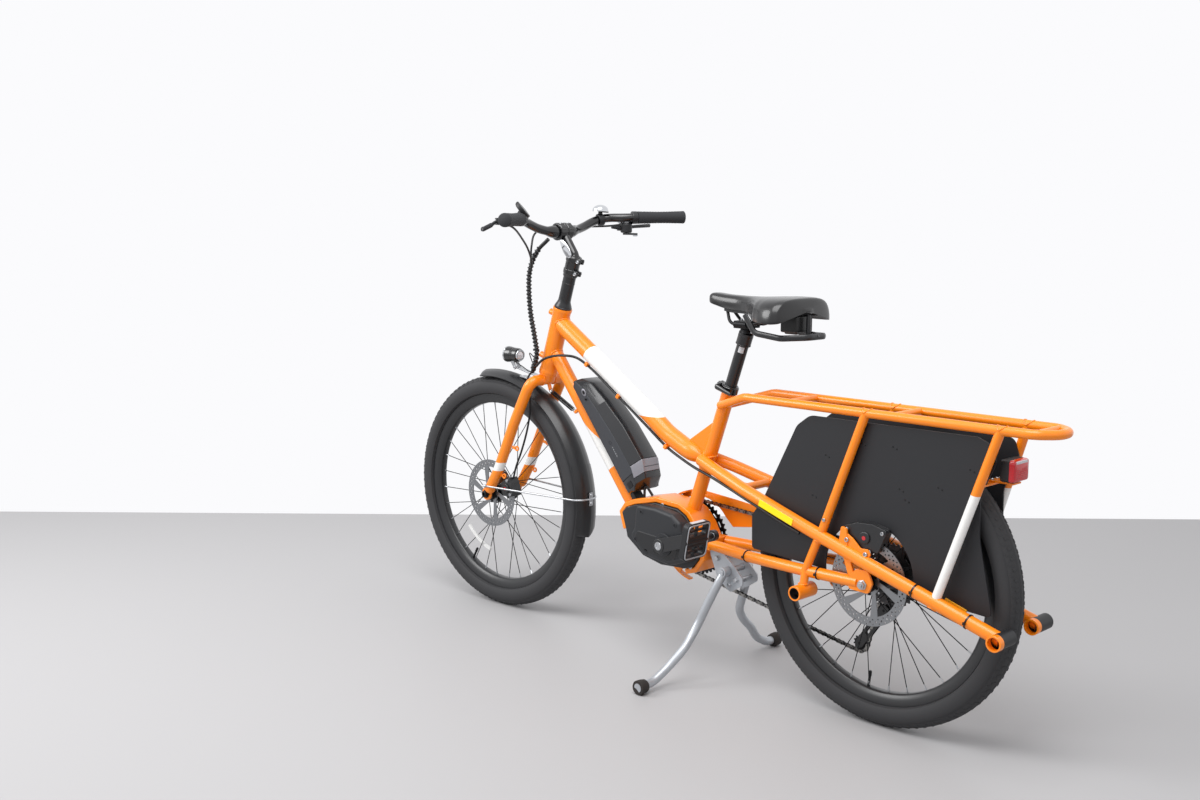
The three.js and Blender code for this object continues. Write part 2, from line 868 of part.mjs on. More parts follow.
function fork() {
  const bodies = [];
  for (const side of [1, -1]) {
    const { tip, points } = legRoute(side);
    const end = points[2].clone().lerp(tip, forkEndShare);
    bodies.push(leg(side, 0));
    const low = frontDropoutInner * side;
    const high = (frontDropoutInner + dropoutThickness) * side;
    const across = end.clone().sub(frontAxle);
    across.y = 0;
    const along = across.normalize();
    const normal = at(along.z, 0, -along.x).multiplyScalar(dropoutRadius * 0.8);
    const root = frontAxle.clone().addScaledVector(along, end.distanceTo(tip) + legRadius);
    const outline = [root.clone().add(normal), root.clone().sub(normal),
      frontAxle.clone().sub(normal), frontAxle.clone().add(normal)];
    bodies.push(plate(outline, low, high));
    bodies.push(disc(dropoutRadius, Math.min(low, high), Math.max(low, high), smallSides, frontAxle));
  }
  const steererLength = headTubeLength + crownDrop + steererReach;
  const steerer = disc(steererRadius, 0, steererLength, tubeSides, crownPlace, headUp);
  const race = disc(crownRaceRadius, 0, crownDrop - clearance, tubeSides, crownPlace, headUp);
  const tabRoot = crownPlace.clone().addScaledVector(headBack, legRadius / 2);
  const tab = bar(tabRoot, springFront(), springTabWidth, springTabThickness);
  const body = joined(...bodies, steerer, race, tab);
  const bore = disc(holeRadius(axleRadius + clearance, smallSides), -legSpread * 2, legSpread * 2, smallSides,
    frontAxle);
  return cut(body, bore);
}

function frontAxleBody() {
  const face = frontDropoutInner + dropoutThickness + clearance;
  const shaft = disc(axleRadius, -face - clearance, face + clearance, smallSides, frontAxle);
  const heads = [1, -1].map((side) => disc(axleHeadRadius, Math.min(face * side, (face + axleHeadLength) * side),
    Math.max(face * side, (face + axleHeadLength) * side), smallSides, frontAxle));
  return joined(shaft, ...heads);
}

function fenderSection() {
  const points = [];
  for (const [step, inset] of [[1, 0], [-1, fenderThickness]]) {
    for (let i = -2; i <= 2; i += 1) {
      const share = step * i / 2;
      points.push(new THREE.Vector2(share * fenderWidth / 2, -fenderSag * share * share - inset));
    }
  }
  return points;
}

function fender() {
  const stations = [];
  for (let i = 0; i <= fenderSteps; i += 1) {
    const angle = THREE.MathUtils.lerp(fenderStart, fenderEnd, i / fenderSteps);
    stations.push({
      point: frontAxle.clone().add(at(fenderRadius * Math.cos(angle), 0, fenderRadius * Math.sin(angle))),
      tangent: at(-Math.sin(angle), 0, Math.cos(angle)),
    });
  }
  const shell = swept(fenderSection(), new Route(stations), fenderSteps);
  const toCrown = crownPlace.clone().sub(frontAxle);
  const reach = toCrown.length() - legRadius - clearance;
  const up = toCrown.normalize();
  const low = frontAxle.clone().addScaledVector(up, fenderRadius - fenderThickness);
  const high = frontAxle.clone().addScaledVector(up, reach);
  const tab = bar(low, high, fenderTabWidth, fenderTabThickness);
  const spread = legSpread + legRadius + clearance + stayRadius;
  const rise = tyreRadius + stayRise;
  const front = legFrontAt(rise);
  const back = wheelBase - Math.sqrt(fenderRadius ** 2 - stayRise ** 2);
  const side = fenderWidth / 2 + stayRadius;
  const points = [
    at(front, spread, rise), at(back + fenderSag, side, rise), at(back, 0, rise),
    at(back + fenderSag, -side, rise), at(front, -spread, rise),
  ];
  const stay = pipe(points, stayRadius, stayBend, 6, 1);
  return joined(shell, tab, stay);
}

// Where the fork leg stands at a height
function legFrontAt(height) {
  const { points } = legRoute(1);
  const [high, low] = [points[2], points[3]];
  return THREE.MathUtils.lerp(low.x, high.x, (height - low.z) / (high.z - low.z));
}

function rotorSlot(place, low) {
  return disc(rotorRadius + rotorGap, low - rotorGap, low + rotorThickness + rotorGap, toolSides, place);
}

function frontCalliper() {
  const outline = sector(frontAxle, calliperInnerRadius, calliperOuterRadius, calliperStart, calliperEnd, calliperSteps);
  const body = plate(outline, calliperInnerY, calliperOuterY);
  const lug = bar(frontAxle.clone().add(at(0, (calliperInnerY + calliperOuterY) / 2 + legRadius / 2, legRadius * 2.6)),
    frontAxle.clone().add(at(-rotorRadius, (calliperInnerY + calliperOuterY) / 2 + legRadius / 2, legRadius * 2.6)),
    legRadius, legRadius * 1.2);
  return largestPiece(cut(joined(body, lug), leg(1, clearance), rotorSlot(frontAxle, frontRotorY),
    disc(dropoutRadius * 2, -overrun * 3, overrun * 3, mainSides, frontAxle)));
}

function rearCalliper() {
  const outline = sector(rearAxle, rearCalliperInnerRadius, rearCalliperOuterRadius, rearCalliperStart,
    rearCalliperEnd, calliperSteps);
  const body = plate(outline, rearCalliperInnerY, rearCalliperOuterY);
  return largestPiece(cut(body, rotorSlot(rearAxle, rearRotorY), rail(1, clearance), panelTool(clearance, 1)));
}

function headlight() {
  const forward = at(1, 0, 0);
  const centre = crownPlace.clone().add(at(lampAhead - lampLength, 0, lampRise));
  const profile = [[0, 0], [lampTailRadius, 0], [lampRadius - lampRimLength / 3, lampLength / 2],
    [lampRadius, lampLength - lampRimLength], [lampRadius, lampLength], [0, lampLength]];
  const lamp = turned(profile, mainSides, centre, forward);
  const root = crownPlace.clone().add(at(legRadius / 2, 0, 0));
  const bend = crownPlace.clone().add(at(lampStrapAhead, 0, lampStrapRise));
  const top = centre.clone().add(at(lampLength / 2, 0, -lampTailRadius));
  const strap = joined(
    bar(root, bend, lampStrapWidth, lampStrapThickness),
    bar(bend.clone().add(at(-lampStrapThickness, 0, -lampStrapThickness / 2)), top, lampStrapWidth, lampStrapThickness),
  );
  const race = disc(holeRadius(crownRaceRadius + clearance, tubeSides), -clearance, crownDrop, tubeSides, crownPlace,
    headUp);
  return largestPiece(cut(joined(lamp, strap), leg(1, clearance), leg(-1, clearance), race));
}

function shoulderPlace(side) {
  return at(crownPlace.x, legSpread * side, crownPlace.z);
}

function springFront() {
  return onHead(headTubeFoot - crownDrop - springFrontBelow).addScaledVector(headBack, springFrontAlong);
}

function springRear() {
  return onDownTube(springRearAlong, -springRearBelow);
}

// The least gap of a coil to itself, measured on points at least half a curl apart
function leastGap(points, radius) {
  let least = Infinity;
  for (let i = 0; i < points.length; i += 1) {
    for (let j = i + springCurlSteps / 2; j < points.length; j += 1) {
      least = Math.min(least, points[i].distanceTo(points[j]) - 2 * radius);
    }
  }
  return least;
}

function steeringSpring() {
  const start = springFront();
  const end = springRear();
  const along = end.clone().sub(start).normalize();
  const across = alongY.clone();
  const third = along.clone().cross(across);
  const lead = springWireRadius * 2 + clearance;
  const from = start.clone().addScaledVector(along, springTabThickness + lead);
  const to = end.clone().addScaledVector(along, -springTabThickness - lead);
  const stations = [start.clone().addScaledVector(along, springSeat)];
  const steps = springCurls * springCurlSteps;
  const coil = [];
  for (let i = 0; i <= steps; i += 1) {
    const share = i / steps;
    const angle = 2 * Math.PI * springCurls * share;
    const swell = Math.min(1, share * springCurls * 2, (1 - share) * springCurls * 2);
    coil.push(from.clone().lerp(to, share)
      .addScaledVector(across, springRadius * swell * Math.cos(angle))
      .addScaledVector(third, springRadius * swell * Math.sin(angle)));
  }
  console.log('steering spring least gap to itself, mm:', leastGap(coil, springWireRadius).toFixed(2));
  stations.push(...coil);
  stations.push(end.clone().addScaledVector(along, -springSeat));
  const route = new Route(stations.map((point, i) => {
    const before = stations[Math.max(i - 1, 0)];
    const after = stations[Math.min(i + 1, stations.length - 1)];
    return { point, tangent: after.clone().sub(before).normalize() };
  }));
  return swept(circle(springWireRadius, springSides), route, stations.length - 1);
}

// Handlebar

function barPoints(side) {
  const end = barCentre.clone().add(at(-barSweep, barHalfWidth * side, barClimb));
  const inner = barShares.map(([x, y, z]) => barCentre.clone()
    .add(at(barSweep * x, barHalfWidth * y * side, barClimb * z)));
  return [...inner, end];
}

function onBar(side, fromEnd) {
  const points = barPoints(side);
  const end = points[points.length - 1];
  const inner = points[points.length - 2];
  return end.clone().addScaledVector(inner.clone().sub(end).normalize(), fromEnd);
}

function barOutward(side) {
  const points = barPoints(side);
  return points[points.length - 1].clone().sub(points[points.length - 2]).normalize();
}

function handlebar(grow = 0) {
  const right = barPoints(-1).reverse();
  const body = pipe([...right, ...barPoints(1)], barRadius + grow, 0, tubeSides, 0);
  const half = barBulgeWidth / 2 + grow;
  const bulge = turned([[0, -half - barRadius], [barRadius, -half - barRadius], [barBulgeRadius + grow, -half],
    [barBulgeRadius + grow, half], [barRadius, half + barRadius], [0, half + barRadius]], tubeSides, barCentre);
  return joined(body, bulge);
}

function stem() {
  const foot = onHead(headTubeTop + clearance);
  const bore = holeRadius(steererRadius + clearance, smallSides);
  const profile = [
    [bore, 0], [riserFootRadius, 0], [riserRadius, riserFootHeight], [riserRadius, riserLength], [0, riserLength],
    [0, riserBoreDepth], [bore, riserBoreDepth], [bore, 0],
  ];
  const bodies = [turned(profile, smallSides, foot, headUp)];
  for (const height of stemCollarHeights) {
    const centre = onHead(headTubeTop + height);
    bodies.push(disc(stemCollarRadius, 0, stemCollarHeight, hoseSides, centre, headUp));
    const ear = centre.clone().addScaledVector(headUp, stemCollarHeight / 2);
    bodies.push(bar(ear, ear.clone().addScaledVector(headBack, stemEarReach), stemEarWidth, stemCollarHeight));
  }
  const arm = onHead(headTubeTop + stemArmFoot);
  bodies.push(pipe([onHead(headTubeTop + riserLength), arm, barCentre], stemArmRadius, stemArmRadius, smallSides, 1));
  bodies.push(disc(barClampRadius, -barClampWidth / 2, barClampWidth / 2, tubeSides, barCentre));
  const toBar = barCentre.clone().sub(arm).normalize();
  const leverFoot = arm.clone().add(at(0, stemArmRadius, 0));
  bodies.push(bar(leverFoot, leverFoot.clone().addScaledVector(toBar, stemLeverLength - stemLeverWidth),
    stemLeverThickness, stemLeverWidth));
  return cut(joined(...bodies), disc(holeRadius(barBulgeRadius + clearance, tubeSides), -barClampWidth, barClampWidth,
    tubeSides, barCentre));
}

function grip(side) {
  const start = onBar(side, gripLength - gripCap);
  const bore = holeRadius(barRadius + clearance, tubeSides);
  const profile = [[0, gripLength], [gripRadius * 0.9, gripLength], [gripRadius, gripLength - gripCap],
    [gripWaist, gripLength / 2], [gripRadius, gripCap], [gripRadius, 0], [bore, 0],
    [bore, gripLength - gripCap + clearance], [0, gripLength - gripCap + clearance]];
  return turned(profile, tubeSides, start, barOutward(side));
}

// Where a control's clamp sits on the bar, inboard of the grip
function controlPlace(side) {
  return onBar(side, gripLength - gripCap + clearance + clampWidth / 2 + clearance);
}

function leverPivot(side) {
  const drop = side > 0 ? leverBodyRadius / 2 : rightControlDrop;
  return controlPlace(side).clone().add(at(leverBodyLength, controlInset * side, -drop));
}

function controlClamp(side) {
  const out = barOutward(side);
  return ring(clampRadius, barRadius + clearance, -clampWidth / 2, clampWidth / 2, smallSides, controlPlace(side), out);
}

function leverBody(side) {
  const place = controlPlace(side);
  const pivot = leverPivot(side);
  const toPivot = pivot.clone().sub(place).normalize();
  const root = place.clone().addScaledVector(toPivot, barRadius + clearance * 3);
  const nose = pivot.clone().addScaledVector(toPivot, leverKnuckleRadius);
  const slot = box(pivot, leverBodyLength, leverBodyRadius * 4, leverBladeWidth + leverSlack);
  const hole = disc(holeRadius(leverPinRadius() + clearance, smallSides), -overrun, overrun, smallSides, pivot,
    at(0, 0, 1));
  return cut(rod(root, nose, leverBodyRadius), slot, hole);
}

function leverPinRadius() {
  return leverKnuckleRadius / 3;
}

function brakeLever(side) {
  const pivot = leverPivot(side);
  const out = barOutward(side);
  const bow = at(leverKnuckleRadius, 0, 0);
  const middle = pivot.clone().addScaledVector(out, leverLength / 2).add(bow);
  const tip = pivot.clone().addScaledVector(out, leverLength).add(bow.clone().multiplyScalar(2));
  tip.z = barCentre.z + barClimb / 3;
  middle.z = (tip.z + pivot.z) / 2;
  const section = [[-leverBladeThickness, -leverBladeWidth], [leverBladeThickness, -leverBladeWidth],
    [leverBladeThickness, leverBladeWidth], [-leverBladeThickness, leverBladeWidth]]
    .map(([x, y]) => new THREE.Vector2(y / 2, x / 2));
  const root = pivot.clone().addScaledVector(out, leverBodyRadius * 1.7);
  const route = roundedRoute([pivot, root, middle, tip], leverLength, 1);
  const blade = swept(section, route, route.stations.length - 1);
  const knuckle = disc(leverKnuckleRadius, -leverBladeWidth / 2, leverBladeWidth / 2, smallSides, pivot, at(0, 0, 1));
  const pin = disc(leverPinRadius(), -leverBladeWidth / 2 - leverBladeThickness / 2, leverBladeWidth / 2
    + leverBladeThickness / 2, smallSides, pivot, at(0, 0, 1));
  return joined(blade, knuckle, pin);
}

function controlsLeft() {
  const place = controlPlace(1);
  const screen = box(place.clone().add(at(0, -clampWidth / 2, clampRadius + displayHeight / 2)), displayLength,
    displayWidth, displayHeight);
  return largestPiece(cut(joined(controlClamp(1), leverBody(1), screen), barTool(1)));
}

// The straight end of the bar, with its fit
function barTool(side) {
  return disc(holeRadius(barRadius + clearance, smallSides), -overrun, overrun, smallSides, controlPlace(side),
    barOutward(side));
}

function shifterPlace() {
  return controlPlace(-1).clone().add(at(shifterRadius, controlInset, -clampRadius - shifterLength / 2));
}

function controlsRight() {
  const place = shifterPlace();
  const drum = disc(shifterRadius, -shifterLength / 2, clampRadius, smallSides, place, at(0, 0, 1));
  return largestPiece(cut(joined(controlClamp(-1), leverBody(-1), drum), barTool(-1), leverSweep(-1)));
}

// The room that a brake lever's knuckle needs in its body
function leverSweep(side) {
  return box(leverPivot(side).clone().add(at(leverKnuckleRadius, 0, 0)), leverKnuckleRadius * 4,
    leverBodyRadius * 6, leverBladeWidth + leverSlack);
}

function shiftLever() {
  const place = shifterPlace();
  const low = -shifterLength / 2 - clearance - thumbThickness;
  const boss = disc(shifterRadius * 0.6, low, low + thumbThickness, smallSides, place, at(0, 0, 1));
  const root = place.clone().add(at(0, 0, low + thumbThickness / 2));
  const paddle = bar(root, root.clone().add(at(-thumbLength, thumbWidth / 2, 0)), thumbWidth, thumbThickness);
  return joined(boss, paddle);
}

function bell() {
  const points = barPoints(-1);
  const seat = points[2].clone().lerp(points[3], bellSeatShare);
  const along = points[3].clone().sub(points[2]).normalize();
  const clamp = ring(clampRadius, barRadius + bellSlack, -clampWidth / 2, clampWidth / 2, smallSides, seat, along);
  const foot = seat.clone().add(at(0, 0, clampRadius - clearance));
  const post = disc(clampWidth / 3, -clearance, clampWidth / 3, smallSides, foot, at(0, 0, 1));
  const dome = turned([[0, 0], [bellRadius, 0], [bellRadius * 0.92, bellHeight / 2], [bellRadius * 0.55,
    bellHeight * 0.9], [0, bellHeight]], smallSides, foot.clone().add(at(0, 0, clampWidth / 3 - clearance)), at(0, 0, 1));
  return joined(clamp, post, dome);
}

function harness() {
  const bodies = [
    hose(harnessRoute, harnessRadius, 14), hose(leftHoseRoute, hoseRadius, 5),
    hose(rightHoseRoute, hoseRadius, 6), hose(calliperHoseRoute, hoseRadius, 12),
  ];
  return largestPiece(cut(joined(...bodies), leverBodyTool(1), leverBodyTool(-1), frontCalliperTool()));
}

function leverBodyTool(side) {
  const place = controlPlace(side);
  return rod(place, leverPivot(side), leverBodyRadius + clearance, mainSides);
}

function frontCalliperTool() {
  const outline = sector(frontAxle, calliperInnerRadius, calliperOuterRadius + clearance, calliperStart - clearance
    * degree, calliperEnd, calliperSteps);
  return plate(outline, calliperInnerY - clearance, calliperOuterY + clearance);
}

// Frame tubes; grow widens a tube so that its neighbour can be cut round it

function headTubeTool() {
  return disc(headTubeRadius + clearance, -overrun, headTubeLength + overrun, mainSides, onHead(headTubeFoot), headUp);
}

function topTube(grow = 0) {
  const start = onHead(headTubeFoot + topTubeJoint);
  const end = at(onSeat(topTubeEndHeight).x + topTubeEndAhead, 0, onSeat(topTubeEndHeight).z);
  return pipe([start, ...between(start, end, topTubeShares), end], topTubeRadius + grow, topTubeBend, mainSides, 0);
}

function downTube(grow = 0) {
  return rod(downTubeTop, onDownTube(downTubeTop.distanceTo(downTubeFoot), 0), downTubeRadius + grow, mainSides);
}

function seatTubeTool(grow) {
  return disc(seatTubeRadius + grow, seatTubeFoot, seatTubeLength + overrun, mainSides, bottomBracket, seatUp);
}

function trimmedTopTube() {
  return largestPiece(cut(topTube(), headTubeTool(), seatTubeTool(clearance)));
}

function trimmedDownTube() {
  const tab = bar(onDownTube(springRearAlong, 0), onDownTube(springRearAlong, -springRearBelow - springTabWidth / 2),
    springTabWidth, springTabThickness);
  return largestPiece(cut(joined(downTube(), tab), headTubeTool(), topTube(clearance), shell(clearance)));
}

function gusset() {
  const top = onSeat(topTubeEndHeight + gussetRise);
  const front = onSeat(topTubeEndHeight).add(at(gussetFront, 0, topTubeRadius + gussetFoot));
  const foot = onSeat(topTubeEndHeight);
  return plate([top, front, foot], -gussetThickness / 2, gussetThickness / 2);
}

function seatTube() {
  const tube = disc(seatTubeRadius, seatTubeFoot, seatTubeLength, mainSides, bottomBracket, seatUp);
  const bore = disc(holeRadius(seatTubeBore, mainSides), topTubeEndHeight + topTubeRadius, seatTubeLength + overrun, mainSides,
    bottomBracket, seatUp);
  return largestPiece(cut(joined(tube, gusset()), bore, topTube(clearance), shell(clearance)));
}

// Rear frame

function railPoints(side) {
  const joint = onSeat(topTubeEndHeight);
  const start = at(joint.x + railFrontAhead, railSpreadFront * side, joint.z);
  const end = at(-railRearBehind, railSpreadRear * side, railRearHeight);
  return [start, ...between(start, end, railShares), end];
}

// The middle of the rail at a distance ahead of the rear axle
function onRail(ahead, side) {
  const points = railPoints(side);
  for (let i = 1; i < points.length; i += 1) {
    if (ahead >= points[i].x) {
      return points[i].clone().lerp(points[i - 1], (ahead - points[i].x) / (points[i - 1].x - points[i].x));
    }
  }
  return points[points.length - 1];
}

function rail(side, grow = 0) {
  return pipe(railPoints(side), railRadius + grow, railBend, smallSides, 0);
}

function socket(place, side) {
  const [low, high] = [socketInner * side, socketOuter * side].sort((a, b) => a - b);
  return ring(socketRadius, socketBore, low, high, smallSides, place);
}

function socketTool(place, side, radius) {
  const [low, high] = [(socketInner - overrun) * side, (socketOuter + overrun) * side].sort((a, b) => a - b);
  return disc(radius, low, high, smallSides, place);
}

function sideRail(side) {
  const place = at(-railRearBehind, 0, railRearHeight);
  const bodies = [cut(rail(side), socketTool(place, side, socketRadius - clearance)), socket(place, side)];
  const body = joined(...bodies);
  const joint = between(railPoints(1)[0], railPoints(1)[railPoints(1).length - 1], railShares);
  if (side > 0) {
    const bridge = joint[1].clone().lerp(joint[0], bridgeShare);
    const span = rod(bridge, mirrored(bridge, -1), bridgeRadius);
    return largestPiece(cut(joined(body, span), topTube(clearance), seatTubeTool(clearance), rail(-1, clearance)));
  }
  return largestPiece(cut(body, topTube(clearance), seatTubeTool(clearance)));
}

function chainstay(side) {
  const start = at(chainstayFrontAhead, staySpreadFront * side, chainstayFrontHeight);
  const end = at(chainstayEnd, staySpreadRear * side, tyreRadius + chainstayRearRise);
  const tube = pipe([start, ...between(start, end, chainstayShares), end], chainstayRadius, railBend, smallSides, 0);
  const low = rearDropoutInner * side;
  const high = (rearDropoutInner + rearDropoutThickness) * side;
  const tail = -rearDropoutLength * 0.4;
  const nose = rearDropoutLength * 0.6;
  const outline = [at(nose, 0, -rearDropoutHeight * 0.3), at(nose, 0, rearDropoutHeight * 0.2),
    at(nose * 0.5, 0, rearDropoutHeight * 0.6), at(tail * 0.5, 0, rearDropoutHeight * 0.6),
    at(tail, 0, rearDropoutHeight * 0.1), at(tail * 0.6, 0, -rearDropoutHeight * 0.35)]
    .map((p) => p.add(rearAxle));
  const bodies = [tube, plate(outline, low, high)];
  const frontSocket = at(frontSocketAhead, 0, railRearHeight);
  bodies.push(socket(frontSocket, side));
  const strutTop = onRail(strutTopAhead, side);
  const strutFoot = at(frontSocketAhead, (socketInner + socketOuter) / 2 * side, railRearHeight);
  const strutBend = at(frontSocketAhead, staySpreadRear * side, tyreRadius);
  bodies.push(pipe([strutTop, strutBend, strutFoot], strutRadius, 0, hoseSides, 0));
  if (side < 0) {
    bodies.push(disc(axleRadius, low - axleHeadLength - rearDropoutThickness, -low + rearDropoutThickness
      + axleHeadLength, smallSides, rearAxle));
    const hanger = [at(hangerWidth, 0, 0), at(-hangerWidth * 0.2, 0, 0), at(-hangerWidth * 0.1, 0, -hangerDrop),
      at(hangerWidth * 0.8, 0, -hangerDrop)].map((p) => p.add(rearAxle));
    bodies.push(plate(hanger, low, high));
  }
  let body = cut(joined(...bodies), socketTool(frontSocket, side, socketBore), rail(side, clearance),
    shell(clearance), yokeTool());
  if (side > 0) {
    body = cut(body, disc(holeRadius(axleRadius + clearance, smallSides), -overrun * 4, overrun * 4, smallSides,
      rearAxle));
  }
  return largestPiece(cut(body, rearHubTool(side)));
}

// Room for the disc on the left and the cassette on the right
function rearHubTool(side) {
  if (side > 0) {
    return ring(rotorRadius + rotorGap, axleRadius + clearance, rearRotorY - rotorGap, rearRotorY + rotorThickness
      + rotorGap, toolSides, rearAxle);
  }
  return ring(cassetteBigRadius + clearance, axleRadius + clearance, -cassetteSmallY - clearance, -rearFlangeRight,
    toolSides, rearAxle);
}

function uprightFront(side) {
  const top = at(frontUprightTop, rackSpread * side, rackHeight);
  return largestPiece(cut(rod(top, onRail(frontUprightFoot, side), uprightRadius),
    rackRail(side, clearance), rail(side, clearance)));
}

function uprightRear(side) {
  const top = at(rearUprightTop, rackSpread * side, rackHeight);
  let body = rod(top, onRail(rearUprightFoot, side), uprightRadius);
  if (side > 0) {
    body = joined(body, cut(tailBar(0), uprightToolAt(rearUprightTop, rearUprightFoot, -1)));
  }
  return largestPiece(cut(body, rackRail(side, clearance), rail(side, clearance)));
}

// The cross bar between the rear uprights that carries the tail light
function tailBar(grow) {
  return box(at(tailBarAhead(), 0, tailHeight - tailPlateHeight), tailPlateHeight / 2 + grow * 2, rackSpread * 2,
    tailPlateThickness + grow * 2);
}

function tailBarAhead() {
  const share = (rackHeight - tailHeight + tailPlateHeight) / (rackHeight - onRail(rearUprightFoot, 1).z);
  return THREE.MathUtils.lerp(rearUprightTop, rearUprightFoot, share);
}

function rackPoints(side) {
  const neck = onSeat(seatTubeLength);
  return [
    at(neck.x + seatTubeRadius, rackNeckSpread * side, rackNeckHeight), at(rackNeckAhead, rackSpread * side, rackHeight),
    at(-rackCornerBehind, rackSpread * side, rackHeight),
    at(-rackEndBehind, (rackSpread - rackEndBehind + rackCornerBehind) * side, rackHeight),
  ];
}

function rackRail(side, grow = 0) {
  return pipe(rackPoints(side), rackRadius + grow, rackEndBehind - rackCornerBehind, hoseSides, 1);
}

function rack() {
  const bars = [...rackBarPlaces, -rackCornerBehind].map((ahead) => rod(at(ahead, rackSpread, rackHeight),
    at(ahead, -rackSpread, rackHeight), rackBarRadius, thinSides));
  const loop = pipe([...rackPoints(1), ...rackPoints(-1).reverse()], rackRadius, rackEndBehind - rackCornerBehind,
    hoseSides, 1);
  return largestPiece(cut(joined(loop, ...bars), seatTubeTool(clearance)));
}

function panelPoints() {
  return panelOutlineShares.map(([x, z]) => at(THREE.MathUtils.lerp(panelRear, panelFront, x), 0,
    THREE.MathUtils.lerp(panelBottom, panelTop, z)));
}

function panelTool(grow, side) {
  const [low, high] = [(panelInner - grow) * side, (panelOuter + grow) * side].sort((a, b) => a - b);
  return plate(panelPoints(), low, high);
}

function sidePanel(side) {
  const body = panelTool(0, side);
  const centre = rearAxle.clone().add(at(windowAhead, 0, windowRise));
  const tools = [disc(windowRadius, -overrun * 2, overrun * 2, discSides, centre), rail(side, clearance),
    rackRail(side, clearance), uprightToolAt(frontUprightTop, frontUprightFoot, side),
    uprightToolAt(rearUprightTop, rearUprightFoot, side), chainstayTool(side), tailBar(clearance)];
  if (side < 0) {
    const length = panelFront - windowAhead;
    tools.push(box(at(windowAhead + length / 2, -panelInner, chainPassHeight / 2), length + overrun, overrun,
      chainPassHeight));
  }
  return largestPiece(cut(body, ...tools));
}

function uprightToolAt(topAhead, footAhead, side) {
  return rod(at(topAhead, rackSpread * side, rackHeight), onRail(footAhead, side), uprightRadius + clearance);
}

function chainstayTool(side) {
  const start = at(chainstayFrontAhead, staySpreadFront * side, chainstayFrontHeight);
  const end = at(chainstayEnd, staySpreadRear * side, tyreRadius + chainstayRearRise);
  const stay = pipe([start, ...between(start, end, chainstayShares), end], chainstayRadius + clearance, railBend,
    smallSides, 0);
  const frontSocket = at(frontSocketAhead, 0, railRearHeight);
  return joined(stay, socketTool(frontSocket, side, socketRadius + clearance));
}

function tailLight() {
  const centre = at(tailAhead, 0, tailHeight);
  const lamp = box(centre, tailDeep, tailWidth, tailTall);
  const seat = tailHeight - tailPlateHeight + tailPlateThickness / 2 + clearance;
  const foot = bar(at(tailAhead - tailDeep / 4, 0, seat + tailPlateThickness / 2), at(tailBarAhead(), 0, seat
    + tailPlateThickness / 2), tailWidth / 2, tailPlateThickness);
  const neck = box(at(tailAhead, 0, (seat + tailHeight - tailTall / 2) / 2 + tailPlateThickness / 2), tailDeep / 2,
    tailWidth / 2, tailHeight - tailTall / 2 - seat + tailPlateThickness);
  return joined(lamp, foot, neck);
}

// Drive unit and bracket

const fromBracket = (list) => list.map(([x, z]) => bottomBracket.clone().add(at(x, 0, z)));

function shellOutline(grow) {
  const outer = fromBracket(shellPoints);
  return [...shifted(outer, -grow), ...shifted(outer, shellWall + grow).reverse()];
}

function shell(grow = 0) {
  return plate(shellOutline(grow), -shellHalfWidth - grow, shellHalfWidth + grow);
}

function yokeBox(grow) {
  const place = bottomBracket.clone().add(at(-yokeLength, 0, yokeRise));
  return box(place, yokeHeight + grow * 2, (yokeHalfWidth + grow) * 2, yokeHeight + grow * 2);
}

function yokeTool() {
  return yokeBox(clearance);
}

function motorBracket() {
  return largestPiece(cut(joined(shell(), yokeBox(0)), driveCore(clearance)));
}

function chainGuard() {
  const outline = sector(bottomBracket, guardRadius, guardRadius + guardThickness, guardStart, guardEnd, guardSteps);
  const middle = chainLine;
  const band = plate(outline, -middle - guardWidth / 2, -coreRight - clearance);
  const near = coreRight + clearance;
  const far = middle - chainWidth / 2 - clearance * 2;
  const angles = guardArmShares.map((share) => THREE.MathUtils.lerp(guardStart, guardEnd, share));
  const arms = angles.map((angle) => {
    const spread = guardArmWidth / guardRadius / 2;
    const outer = guardRadius + guardThickness;
    return plate(sector(bottomBracket, guardArmFoot, outer, angle - spread, angle + spread, 2), -far, -near);
  });
  // The outer plate beyond the chain, and the step that joins it to the band
  const inside = middle + chainWidth / 2 + guardWingGap;
  const outside = inside + guardWingThickness;
  const rim = guardRadius + guardThickness;
  const wing = plate([...arcPoints(bottomBracket, rim, guardWingStart, guardWingTop, guardSteps / 2),
    ...guardWing.map(([x, z]) => bottomBracket.clone().add(at(x, 0, z))),
    ...arcPoints(bottomBracket, guardWingInner, guardWingEnd, guardWingStart, guardSteps)], -outside, -inside);
  const step = plate(sector(bottomBracket, guardRadius, rim, guardWingStart, guardEnd, 2), -outside,
    -middle - guardWidth / 2 + guardThickness);
  return largestPiece(joined(band, ...arms, step, wing));
}

function driveCore(grow = 0) {
  const inner = shifted(fromBracket(shellPoints), shellWall + clearance - grow);
  const low = fromBracket(coreLowPoints);
  return plate([...inner, ...low], -coreRight - grow, coreLeft + grow);
}

function driveUnit() {
  const cover = plate(fromBracket(coverPoints), coreLeft - clearance * 2, coverOuter, coverBevel);
  const trimmed = cut(cover, plate(fromBracket(coverPoints), 0, shellHalfWidth + clearance * 2));
  const bore = disc(holeRadius(spindleRadius + clearance, mainSides), -overrun * 3, overrun * 3, mainSides,
    bottomBracket);
  return largestPiece(cut(joined(driveCore(), trimmed), bore));
}

// Battery, in places along the down tube and up from it

function batteryMount() {
  const outline = [onDownTube(railStart, downTubeRadius + clearance), onDownTube(railEnd, downTubeRadius + clearance),
    onDownTube(railEnd, batteryRailTop), onDownTube(railStart, batteryRailTop)];
  return plate(outline, -batteryRailHalfWidth, batteryRailHalfWidth);
}

